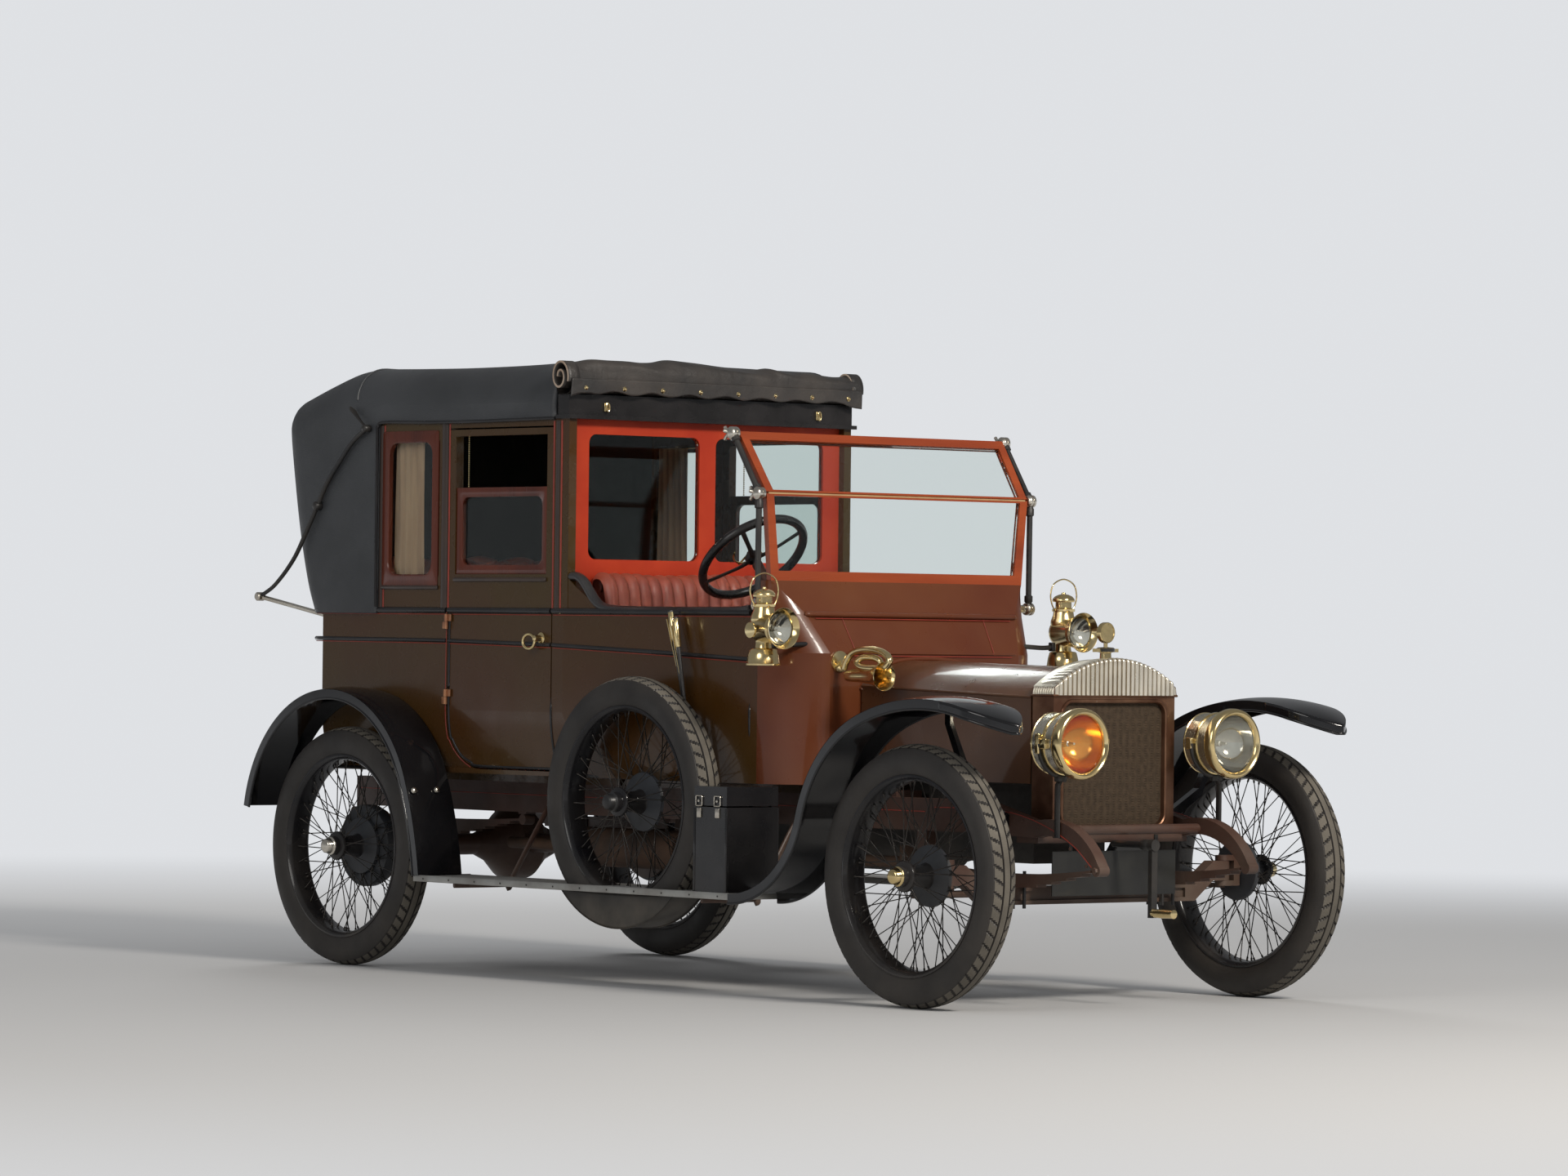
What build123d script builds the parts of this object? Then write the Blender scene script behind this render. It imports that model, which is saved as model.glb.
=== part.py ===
from build123d import *

import os
from math import asin, cos, hypot, radians, sin

os.makedirs("parts", exist_ok=True)

# Millimetres. Forward is +X, the car's left is +Y, and the ground is Z = 0.
front_reach = 3640          # rear axle to the tips of the front mudguards
rear_reach = 705            # rear axle back to the hood irons' rear joints
rear_axle_x = (rear_reach - front_reach) / 2
wheelbase = 3170
front_axle_x = rear_axle_x + wheelbase
body_half = 665             # half the body's width; wheels, guards and spare stand off it
wheel_stand = 99
wheel_y = body_half + wheel_stand   # half the track
fit_gap = 0.3               # between seated pieces that are curved
door_gap = 6                # round every door and bonnet leaf
run_gap = 0.05              # radial, round a shaft or a pin

# Wheels: 880 x 120 beaded-edge tyres on wire wheels
tyre_radius = 440
tyre_half = 58
wall_radius = 390
shoulder_radius = 426
tread_half = 18
rim_flange_radius = 338
rim_bed_radius = 326
rim_wall = 6
rim_half = 49
rim_bed_half = 34
bore_radius = 26
hub_inner = 60              # from the wheel's middle plane inboard
hub_outer = 122             # and outboard, to the end of the cap
hub_cap_radius = 30
hub_barrel_radius = 40
inner_flange_radius = 72
outer_flange_radius = 52
spindle_reach = 84
spokes_per_row = 20
spoke_size = 4.5
drum_radius = 150
drum_width = 42

# Frame and axles
rail_y = 345
rail_width = 45
rail_bottom = 575
rail_top = 685
rail_rear_x = rear_axle_x - 500
rail_bend_x = front_axle_x - 120
front_spring_half = 436
rear_spring_half = 520
front_eye_z = 467
rear_eye_z = 548
spring_width = 44
leaf = 9
eye_radius = 20
tube_x = front_axle_x + 200
tube_z = 594
tube_radius = 17
member_height = 60
member_width = 50
kingpin_y = wheel_y - 124
kingpin_radius = 14
steer_arm = 150
steer_arm_z = 372
track_rod_radius = 11

# Body: stations and heights
floor_thick = 20
body_bottom = 720
belt_z = 1313
turn_under = 45
turn_z = 950
wall = 34
body_rear_x = rear_axle_x - 445
corner_radius = 120
division_x = rear_axle_x + 1090
division_thick = 35
door_rear_x = rear_axle_x + 450
door_front_x = rear_axle_x + 1056
door_bottom = 742
door_corner = 150
eave_z = 1972
nose_in = 65                # how far each side draws in from the division to the scuttle
front_half = body_half - nose_in
across = body_half + 40     # past the body's sides, for cuts right across it
scuttle_x = rear_axle_x + 2130
front_door_x = rear_axle_x + 1685
front_door_end = scuttle_x - 30
front_door_corner = 70
dash_x = rear_axle_x + 2330
dash_half = 440
dash_top = 1175
cowl_x = rear_axle_x + 2252
cowl_half = 487
cowl_z = 1310
screen_x = rear_axle_x + 2180
screen_base = 1425
screen_base_half = 585
hood_top = 2222
hood_half = body_half + 11
hood_thick = 24
hood_rear_x = rear_axle_x - 612
hood_side_x = rear_axle_x + 20

# Bonnet and radiator
bonnet_rear_x = dash_x + door_gap
radiator_x = rear_axle_x + 3297
radiator_depth = 105
radiator_bottom = 578
bonnet_front_x = radiator_x - radiator_depth - door_gap
bonnet_rear_half = 300
bonnet_front_half = 282
bonnet_rear_edge = 1067
bonnet_front_edge = 1041
bonnet_rear_crown = 1150
bonnet_front_crown = 1132
bonnet_bottom = 745
sheet = 4
barrel_radius = 5

# Running boards and mudguards
board_inner = front_half
guard_reach = 200
guard_outer = body_half + guard_reach
guard_lap = 5
board_outer = guard_outer - guard_lap
board_top = 350
board_thick = 22
board_rear_x = rear_axle_x + 512
board_front_x = rear_axle_x + 2300
front_guard_inner = body_half - 27
guard_sheet = 5
guard_flange = 34

# Spare wheel, toolbox and lamps
spare_x = rear_axle_x + 1650
spare_stand = 95            # from the body's side to the middle of the spare
spare_y = -body_half - spare_stand
spare_z = 646
box_rear_x = rear_axle_x + 2099
box_front_x = rear_axle_x + 2273
box_inner = front_half + 20
box_outer = board_outer - 10
box_seam = 643
box_top = 714
lamp_x = rear_axle_x + 3528
lamp_y = 352
lamp_z = 885
lamp_rim_radius = 118
lamp_drum_radius = 101
lamp_bowl_radius = 96
lamp_depth = 190

# Steering: the wheel's centre, its radius and the slope of its column
helm_x = rear_axle_x + 1693
helm_y = -260
helm_z = 1512
helm_radius = 197
helm_grip = 13
column_slope = 47
column_radius = 19


def side_plane(y):
    # Looking from the car's right: local X runs forward and local Y up. Extruding goes towards -Y.
    return Plane(origin=(0, y, 0), x_dir=(1, 0, 0), z_dir=(0, -1, 0))


def slab(x_range, y_range, z_range, mode=Mode.ADD):
    # A box between three pairs of limits
    sizes = [high - low for low, high in (x_range, y_range, z_range)]
    middle = [(low + high) / 2 for low, high in (x_range, y_range, z_range)]
    with Locations(tuple(middle)):
        Box(*sizes, mode=mode)


def bar(start, end, radius, mode=Mode.ADD):
    # A round bar between two points
    start = Vector(*start)
    end = Vector(*end)
    with BuildSketch(Plane(origin=start, z_dir=end - start)) as section:
        Circle(radius)
    extrude(section.sketch, amount=(end - start).length, mode=mode)


# Wheels

def wire_wheel(has_drum):
    # Built about the origin, outboard towards +Y
    with BuildPart() as wheel:
        with BuildSketch(Plane.XY):
            with BuildLine():
                Polyline(
                    (rim_bed_radius - rim_wall, -rim_bed_half),
                    (rim_bed_radius - rim_wall, rim_bed_half),
                    (rim_flange_radius - rim_wall, rim_half),
                    (rim_flange_radius, rim_half),
                    (rim_bed_radius, rim_bed_half),
                    (rim_bed_radius, -rim_bed_half),
                    (rim_flange_radius, -rim_half),
                    (rim_flange_radius - rim_wall, -rim_half),
                    close=True,
                )
            make_face()
            with BuildLine():
                Polyline(
                    (bore_radius, -hub_inner),
                    (inner_flange_radius, -hub_inner),
                    (inner_flange_radius, 10 - hub_inner),
                    (hub_barrel_radius, 30 - hub_inner),
                    (hub_barrel_radius, 50),
                    (outer_flange_radius, 58),
                    (outer_flange_radius, 66),
                    (hub_cap_radius, 72),
                    (hub_cap_radius, hub_outer - 10),
                    (hub_cap_radius - 10, hub_outer),
                    (0, hub_outer),
                    (0, spindle_reach + door_gap),
                    (bore_radius, spindle_reach + door_gap),
                    close=True,
                )
            make_face()
            if has_drum:
                with Locations((drum_radius / 2 + inner_flange_radius / 2 - 10, 5 - hub_inner)):
                    Rectangle(drum_radius - inner_flange_radius + 20, 10)
                with Locations((drum_radius - 4, 10 - hub_inner - drum_width / 2)):
                    Rectangle(8, drum_width)
        revolve(axis=Axis.Y)
        # hub radius, place along the hub, place across the rim, lead in degrees
        rows = [
            (outer_flange_radius - 3, 62, 12, 9),
            (inner_flange_radius - 3, 5 - hub_inner, -12, -9),
        ]
        rim_reach = rim_bed_radius - rim_wall / 2
        for hub_r, hub_y, rim_y, lead in rows:
            planes = []
            for k in range(spokes_per_row):
                turn = 360 * k / spokes_per_row
                to = turn + lead * (1 if k % 2 else -1)
                start = Vector(hub_r * cos(radians(turn)), hub_y, hub_r * sin(radians(turn)))
                end = Vector(rim_reach * cos(radians(to)), rim_y, rim_reach * sin(radians(to)))
                planes.append(Plane(origin=start, z_dir=end - start))
            with BuildSketch(*planes):
                Rectangle(spoke_size, spoke_size)
            extrude(amount=(end - start).length)
    return wheel.part


def tyre():
    with BuildPart() as cover:
        with BuildSketch(Plane.XY):
            # radius and half width of each corner from the bead out to the tread
            profile = [
                (rim_bed_radius + fit_gap, rim_bed_half - 2),
                ((rim_flange_radius + wall_radius) / 2, tyre_half - 2),
                (wall_radius, tyre_half),
                (shoulder_radius, (tyre_half + tread_half) / 2 + 6),
                (tyre_radius, tread_half),
            ]
            with BuildLine():
                Polyline(*profile, *[(r, -half) for r, half in reversed(profile)], close=True)
            make_face()
        revolve(axis=Axis.Y)
    return cover.part


plain_wheel = wire_wheel(False)
drum_wheel = wire_wheel(True)
cover = tyre()

# name, axle's X, side (+1 left), whether it has a brake drum
corners = [
    ("front_left", front_axle_x, 1, False),
    ("front_right", front_axle_x, -1, False),
    ("rear_left", rear_axle_x, 1, True),
    ("rear_right", rear_axle_x, -1, True),
]
for corner, axle_x, side, has_drum in corners:
    place = Location((axle_x, side * wheel_y, tyre_radius), (0, 0, 0 if side > 0 else 180))
    with BuildPart() as wheel:
        add((drum_wheel if has_drum else plain_wheel).moved(place))
    wheel.part.label = f"wheel_{corner}"
    export_step(wheel.part, f"parts/wheel_{corner}.step")
    with BuildPart() as wheel_tyre:
        add(cover.moved(place))
    wheel_tyre.part.label = f"tyre_{corner}"
    export_step(wheel_tyre.part, f"parts/tyre_{corner}.step")

spare_place = Location((spare_x, spare_y, spare_z), (0, 0, 180))
with BuildPart() as spare_wheel:
    add(plain_wheel.moved(spare_place))
spare_wheel.part.label = "spare_wheel"
export_step(spare_wheel.part, "parts/spare_wheel.step")
with BuildPart() as spare_tyre:
    add(cover.moved(spare_place))
spare_tyre.part.label = "spare_tyre"
export_step(spare_tyre.part, "parts/spare_tyre.step")

# Frame: two side rails with dumb irons in front, joined by cross members and the front tube

iron_tip_x = front_axle_x + front_spring_half
with BuildPart() as frame:
    with BuildSketch(side_plane(rail_y + rail_width / 2)):
        with BuildLine():
            Polyline(
                (rail_bend_x + 250, rail_top - 62),
                (rail_bend_x, rail_top),
                (rail_rear_x, rail_top),
                (rail_rear_x, rail_bottom),
                (rail_bend_x, rail_bottom),
                (rail_bend_x + 250, rail_bottom - 8),
            )
            ThreePointArc(
                (rail_bend_x + 250, rail_bottom - 8),
                (iron_tip_x - 95, front_eye_z + 68),
                (iron_tip_x - eye_radius, front_eye_z),
            )
            Line((iron_tip_x - eye_radius, front_eye_z), (iron_tip_x + eye_radius, front_eye_z))
            ThreePointArc(
                (iron_tip_x + eye_radius, front_eye_z),
                (iron_tip_x - 75, front_eye_z + 112),
                (rail_bend_x + 250, rail_top - 62),
            )
        make_face()
        with Locations((iron_tip_x, front_eye_z)):
            Circle(eye_radius)
    extrude(amount=rail_width)
    mirror(about=Plane.XZ)
    # Front spring's rear hanger, then the rear spring's two hangers: X, bottom, width along the rail
    hangers = [
        (front_axle_x - front_spring_half, front_eye_z + eye_radius, 46),
        (rear_axle_x + rear_spring_half, rear_eye_z + eye_radius, 46),
        (rail_rear_x + 23, rear_eye_z + eye_radius, 46),
    ]
    for side in (1, -1):
        for hanger_x, low, width in hangers:
            y_range = sorted((side * (rail_y - rail_width / 2), side * (rail_y + rail_width / 2)))
            slab((hanger_x - width / 2, hanger_x + width / 2), y_range, (low, rail_bottom + 1))
    member_z = (rail_bottom + 30, rail_bottom + 30 + member_height)
    members = [rail_rear_x + 45, rear_axle_x + 640, rear_axle_x + 1240, rear_axle_x + 1950]
    for member_x in members:
        slab((member_x - member_width / 2, member_x + member_width / 2), (-rail_y, rail_y), member_z)
    slab((radiator_x - radiator_depth, radiator_x), (-rail_y, rail_y),
         (radiator_bottom - 30, radiator_bottom))
    bar((tube_x, -rail_y, tube_z), (tube_x, rail_y, tube_z), tube_radius)
frame.part.label = "frame"
export_step(frame.part, "parts/frame.step")


# Leaf springs: concentric leaves, each shorter than the one above it

def leaf_spring(eye_half, eye_z, seat_z, leaves):
    # Local X along the car from the axle, local Y up. The main leaf's top runs eye to eye.
    rise = eye_z + leaf / 2 - seat_z - leaves * leaf
    radius = (eye_half ** 2 + rise ** 2) / (2 * rise)
    middle_z = eye_z + leaf / 2 - rise + radius
    with BuildSketch() as stack:
        for k in range(leaves):
            turn = asin(eye_half * (1 - k / (leaves + 1)) / radius)
            top = radius + k * leaf
            low = top + leaf
            ends = [(r * sin(a), middle_z - r * cos(a)) for r, a in
                    ((top, -turn), (top, turn), (low, turn), (low, -turn))]
            with BuildLine():
                ThreePointArc(ends[0], (0, middle_z - top), ends[1])
                Line(ends[1], ends[2])
                ThreePointArc(ends[2], (0, middle_z - low), ends[3])
                Line(ends[3], ends[0])
            make_face()
        with Locations((-eye_half, eye_z), (eye_half, eye_z)):
            Circle(eye_radius - fit_gap)
    return stack.sketch


beam_top = 398
beam_bottom = 338
rear_pad_z = tyre_radius + 44
with BuildPart() as springs:
    # axle's X, eye half spread, eye height, height of the seat under the leaves, number of leaves
    sets = [
        (front_axle_x, front_spring_half, front_eye_z, beam_top, 5),
        (rear_axle_x, rear_spring_half, rear_eye_z, rear_pad_z, 6),
    ]
    for side in (1, -1):
        for axle_x, eye_half, eye_z, seat_z, leaves in sets:
            with BuildSketch(side_plane(side * rail_y + spring_width / 2)):
                with Locations((axle_x, 0)):
                    add(leaf_spring(eye_half, eye_z, seat_z, leaves))
            extrude(amount=spring_width)
    # The front eyes are the dumb irons' own, so the main leaves stop at them
    for side in (1, -1):
        with BuildSketch(side_plane(side * rail_y + rail_width)):
            with Locations((iron_tip_x, front_eye_z)):
                Circle(eye_radius + 6)
        extrude(amount=2 * rail_width, mode=Mode.SUBTRACT)
springs.part.label = "springs"
export_step(springs.part, "parts/springs.step")

# Front axle: a dropped beam with a boss for each kingpin
boss_radius = 22
boss_low = 406
boss_high = 474
with BuildPart() as front_axle:
    with BuildSketch(Plane.YZ.offset(front_axle_x - 24)):
        with BuildLine():
            Polyline(
                (0, beam_bottom),
                (485, beam_bottom),
                (572, boss_low),
                (kingpin_y, boss_low),
                (kingpin_y, boss_high),
                (575, boss_high),
                (470, beam_top),
                (0, beam_top),
                close=True,
            )
        make_face()
        mirror(about=Plane.YZ)
    extrude(amount=48)
    # The beam's web is recessed front and back
    for face_x in (front_axle_x - 24, front_axle_x + 12):
        slab((face_x, face_x + 12), (-440, 440), (beam_bottom + 14, beam_top - 14), Mode.SUBTRACT)
    for side in (1, -1):
        with BuildSketch(Plane.XY.offset(boss_low)):
            with Locations((front_axle_x, side * kingpin_y)):
                Circle(boss_radius + 2)
        extrude(amount=boss_high - boss_low)
        with BuildSketch(Plane.XY.offset(boss_low)):
            with Locations((front_axle_x, side * kingpin_y)):
                Circle(kingpin_radius + run_gap)
        extrude(amount=boss_high - boss_low, mode=Mode.SUBTRACT)
        slab(
            (front_axle_x - 30, front_axle_x + 30),
            sorted((side * kingpin_y, side * (kingpin_y + 60))),
            (boss_low - 1, boss_high + 1),
            Mode.SUBTRACT,
        )
        with BuildSketch(Plane.XY.offset(boss_low)):
            with Locations((front_axle_x, side * kingpin_y)):
                Circle(boss_radius + 2)
                Circle(kingpin_radius + run_gap, mode=Mode.SUBTRACT)
        extrude(amount=boss_high - boss_low)
front_axle.part.label = "front_axle"
export_step(front_axle.part, "parts/front_axle.step")


# Steering knuckles: a fork and kingpin, a spindle, and an arm back to the track rod

fork_thick = 18
fork_gap = 0.6
arm_pin_radius = 9
for name, side in (("left", 1), ("right", -1)):
    with BuildPart() as knuckle:
        fork_low = boss_low - fork_gap - fork_thick
        fork_high = boss_high + fork_gap + fork_thick
        block = sorted((side * (kingpin_y + 30), side * (wheel_y - hub_inner - door_gap)))
        slab((front_axle_x - 26, front_axle_x + 26), block, (fork_low, fork_high))
        for low in (fork_low, boss_high + fork_gap):
            with BuildSketch(Plane.XY.offset(low)):
                with Locations((front_axle_x, side * kingpin_y)):
                    Circle(26)
                with Locations((front_axle_x, side * (kingpin_y + 18))):
                    Rectangle(52, 36)
            extrude(amount=fork_thick)
        with BuildSketch(Plane.XY.offset(fork_low)):
            with Locations((front_axle_x, side * kingpin_y)):
                Circle(kingpin_radius)
        extrude(amount=fork_high - fork_low)
        reach = side * (wheel_y + spindle_reach)
        bar((front_axle_x, side * (kingpin_y + 40), tyre_radius), (front_axle_x, reach, tyre_radius),
            bore_radius - run_gap)
        with BuildSketch(Plane.XY.offset(steer_arm_z + 8)):
            with Locations((front_axle_x - steer_arm / 2, side * kingpin_y)):
                Rectangle(steer_arm, 26)
            with Locations((front_axle_x - steer_arm, side * kingpin_y)):
                Circle(15)
        extrude(amount=fork_low - steer_arm_z)
        # The arm's ball pin stands down into the track rod's eye
        with BuildSketch(Plane.XY.offset(steer_arm_z - 14)):
            with Locations((front_axle_x - steer_arm, side * kingpin_y)):
                Circle(arm_pin_radius)
        extrude(amount=24)
    knuckle.part.label = f"knuckle_{name}"
    export_step(knuckle.part, f"parts/knuckle_{name}.step")

with BuildPart() as track_rod:
    rod_x = front_axle_x - steer_arm
    bar((rod_x, -kingpin_y, steer_arm_z - 4), (rod_x, kingpin_y, steer_arm_z - 4), track_rod_radius)
    for side in (1, -1):
        with BuildSketch(Plane.XY.offset(steer_arm_z - 14)):
            with Locations((rod_x, side * kingpin_y)):
                Circle(19)
        extrude(amount=20)
        # The left eye is a slack one: the linkage is open there
        slack = 1.5 if side > 0 else run_gap
        with BuildSketch(Plane.XY.offset(steer_arm_z - 20)):
            with Locations((rod_x, side * kingpin_y)):
                Circle(arm_pin_radius + slack)
        extrude(amount=40, mode=Mode.SUBTRACT)
track_rod.part.label = "track_rod"
export_step(track_rod.part, "parts/track_rod.step")

# Rear axle: casing, differential, brake backplates, and the torque tube to the gearbox
gearbox_rear_x = rear_axle_x + 1330
with BuildPart() as rear_axle:
    axle_plane = Plane(origin=(rear_axle_x, 0, tyre_radius))
    with BuildSketch(axle_plane):
        with BuildLine():
            Polyline(
                (0, 0),
                (132, 0),
                (132, 45),
                (70, 120),
                (40, 190),
                (40, 620),
                (52, 620),
                (52, wheel_y - hub_inner - door_gap),
                (bore_radius - run_gap, wheel_y - hub_inner - door_gap),
                (bore_radius - run_gap, wheel_y + spindle_reach),
                (0, wheel_y + spindle_reach),
                close=True,
            )
        make_face()
        with Locations((drum_radius / 2, 645)):
            Rectangle(drum_radius - 20, 8)
    revolve(axis=Axis((rear_axle_x, 0, tyre_radius), (0, 1, 0)))
    mirror(about=Plane.XZ)
    bar((rear_axle_x + 60, 0, tyre_radius), (gearbox_rear_x - 3, 0, tyre_radius + 70), 36)
    for side in (1, -1):
        y_range = sorted((side * (rail_y - 30), side * (rail_y + 30)))
        slab((rear_axle_x - 45, rear_axle_x + 45), y_range, (tyre_radius, rear_pad_z))
rear_axle.part.label = "rear_axle"
export_step(rear_axle.part, "parts/rear_axle.step")

# Engine as a plain block with its clutch case and gearbox, on bearers between the rails
crank_z = 560
engine_half = 165
engine_rear_x = rear_axle_x + 2450
with BuildPart() as engine:
    slab((engine_rear_x, rear_axle_x + 3080), (-engine_half, engine_half), (470, 960))
    bar((engine_rear_x - 450, 0, crank_z - 15), (engine_rear_x + 10, 0, crank_z - 15), 130)
    slab((gearbox_rear_x, gearbox_rear_x + 570), (-125, 125), (430, 600))
    bar((gearbox_rear_x + 560, 0, crank_z - 40), (engine_rear_x - 440, 0, crank_z - 40), 60)
    for bearer_x in (gearbox_rear_x + 170, engine_rear_x + 510):
        inner_y = rail_y - rail_width / 2
        slab((bearer_x, bearer_x + 50), (-inner_y, inner_y), (rail_bottom + 10, rail_bottom + 24))
engine.part.label = "engine"
export_step(engine.part, "parts/engine.step")

# Exhaust: pipe, silencer and tail pipe under the right side, hung from two cross members
pipe_y = -215
pipe_z = 455
with BuildPart() as exhaust:
    bar((rear_axle_x + 260, pipe_y, pipe_z), (engine_rear_x + 50, pipe_y, pipe_z), 21)
    bar((rear_axle_x + 700, pipe_y, pipe_z), (rear_axle_x + 1290, pipe_y, pipe_z), 72)
    for hanger_x in (members[2], members[3]):
        slab((hanger_x - 15, hanger_x + 15), (pipe_y - 4, pipe_y + 4), (pipe_z, member_z[0]))
    slab((engine_rear_x + 20, engine_rear_x + 50), (pipe_y - 18, -engine_half), (pipe_z - 10, pipe_z + 60))
exhaust.part.label = "exhaust"
export_step(exhaust.part, "parts/exhaust.step")

# Body shell: one hollow form from which the tub, the doors and the front sides are cut

cabin_front_x = division_x + division_thick


def plan_outline(inset):
    # Seen from above: square to the division, then tapering to the scuttle, round at the rear corners
    half = body_half - inset
    front = front_half - inset
    rear = body_rear_x + inset
    radius = corner_radius - inset
    with BuildSketch() as plan:
        with BuildLine():
            Polyline((rear + radius, -half), (cabin_front_x, -half), (scuttle_x, -front),
                     (scuttle_x, front), (cabin_front_x, half), (rear + radius, half))
            RadiusArc((rear + radius, half), (rear, half - radius), radius)
            Line((rear, half - radius), (rear, radius - half))
            RadiusArc((rear, radius - half), (rear + radius, -half), radius)
        make_face()
    return plan.sketch


def side_section(inset, low, high):
    # Seen from the front: upright above turn_z, curving in below it
    half = body_half - inset
    with BuildSketch(Plane.YZ.offset(body_rear_x - 50)) as section:
        with BuildLine():
            Line((-half, high), (half, high))
            Line((half, high), (half, turn_z))
            ThreePointArc((half, turn_z), (half - turn_under * 0.26, (turn_z + low) / 2),
                          (half - turn_under, low))
            Line((half - turn_under, low), (turn_under - half, low))
            ThreePointArc((turn_under - half, low), (turn_under * 0.26 - half, (turn_z + low) / 2),
                          (-half, turn_z))
            Line((-half, turn_z), (-half, high))
        make_face()
    return section.sketch


def body_form(inset, low, high):
    with BuildPart() as form:
        extrude(plan_outline(inset).moved(Location((0, 0, low))), amount=high - low)
        extrude(side_section(inset, low, high), amount=scuttle_x - body_rear_x + 100,
                mode=Mode.INTERSECT)
    return form.part


def door_outline(rear, front, low, high, grow, rear_corner, front_corner):
    # Seen from the side, with a rounded lower corner; grow widens it for the gap round a door
    with BuildSketch() as outline:
        with Locations(((rear + front) / 2, (low + high) / 2)):
            Rectangle(front - rear + 2 * grow, high - low + 2 * grow)
        foot = outline.vertices().group_by(Axis.Y)[0].sort_by(Axis.X)
        if rear_corner:
            fillet(foot[0], rear_corner + grow)
        if front_corner:
            fillet(outline.vertices().group_by(Axis.Y)[0].sort_by(Axis.X)[-1], front_corner + grow)
    return outline.sketch


outer_form = body_form(0, body_bottom, belt_z)
inner_form = body_form(wall, body_bottom, belt_z)
with BuildPart() as body_shell:
    add(outer_form)
    add(inner_form, mode=Mode.SUBTRACT)
shell = body_shell.part

# The door's upper posts stand on the shell's line up to the eave
door_post = 34
sill_z = 1445
sash_top = 1760
rear_door = door_outline(door_rear_x, door_front_x, door_bottom, eave_z, 0, door_corner, 0)
rear_door_hole = door_outline(door_rear_x, door_front_x, door_bottom, eave_z, door_gap, door_corner, 0)
front_door = door_outline(front_door_x, front_door_end, door_bottom, belt_z, 0, 0, front_door_corner)
front_door_hole = door_outline(front_door_x, front_door_end, door_bottom, belt_z, door_gap, 0,
                               front_door_corner)
quarter_rear_x = rear_axle_x + 34
quarter_front_x = rear_axle_x + 386
quarter_low = 1418
quarter_high = 1955
light_corner = 32            # at each corner of the fixed lights and the sashes
pane = 6
pillar_front_x = division_x + 58
cant_z = eave_z + door_gap
cant_top = 2002


def through(outline, side):
    # The outline as a prism through one side of the body
    plane = side_plane(side * (body_half + 60) if side > 0 else -front_half + 200)
    with BuildPart() as prism:
        with BuildSketch(plane):
            add(outline)
        extrude(amount=260 if side > 0 else body_half - front_half + 260)
    return prism.part


hinge_radius = 7
hinge_stand = 9
hinge_length = 56
hinge_leaf = 26
rear_hinge_x = door_rear_x - door_gap / 2
rear_hinge_zs = (1272, 997)
front_hinge_zs = (1200, 860)


def hinges(axis_x, axis_y, heights, toward, upper):
    # Half of each barrel with its leaf, which runs behind (-1) or ahead (+1) of the axis.
    # The body has the lower halves and the door the upper ones.
    low, high = (fit_gap, hinge_length / 2) if upper else (-hinge_length / 2, 0)
    outward = 1 if axis_y > 0 else -1
    for z in heights:
        bar((axis_x, axis_y, z + low), (axis_x, axis_y, z + high), hinge_radius)
        leaf_x = sorted((axis_x, axis_x + toward * hinge_leaf))
        leaf_y = sorted((axis_y - outward * (hinge_stand + 2), axis_y - outward * (hinge_stand - 5)))
        slab(leaf_x, leaf_y, (z + low, z + high))


with BuildPart() as rear_body:
    add(shell)
    # Forward of the division the sides belong to the front body
    slab((division_x + division_thick, scuttle_x + 1), (-across, across), (body_bottom - 1, belt_z + 1),
         Mode.SUBTRACT)
    slab((body_rear_x + wall, division_x + 1), (wall - body_half, body_half - wall),
         (body_bottom, body_bottom + floor_thick))
    slab((division_x, division_x + division_thick), (wall - body_half, body_half - wall),
         (body_bottom, belt_z))
    # Bearers from the floor down to the frame's rails
    for side in (1, -1):
        y_range = sorted((side * (rail_y - rail_width / 2), side * (rail_y + rail_width / 2)))
        slab((body_rear_x + 40, division_x), y_range, (rail_top, body_bottom + 1))
        with BuildSketch(side_plane(body_half if side > 0 else wall - body_half)):
            with BuildLine():
                Polyline((hood_side_x, belt_z), (pillar_front_x, belt_z), (pillar_front_x, cant_top),
                         (hood_side_x, cant_top), close=True)
            make_face()
            with Locations(((quarter_rear_x + quarter_front_x) / 2, (quarter_low + quarter_high) / 2)):
                RectangleRounded(quarter_front_x - quarter_rear_x, quarter_high - quarter_low, light_corner,
                                 mode=Mode.SUBTRACT)
        extrude(amount=wall)
        add(through(rear_door_hole, side), mode=Mode.SUBTRACT)
    for side in (1, -1):
        hinges(rear_hinge_x, side * (body_half + hinge_stand), rear_hinge_zs, -1, False)
rear_body.part.label = "rear_body"
export_step(rear_body.part, "parts/rear_body.step")

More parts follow.
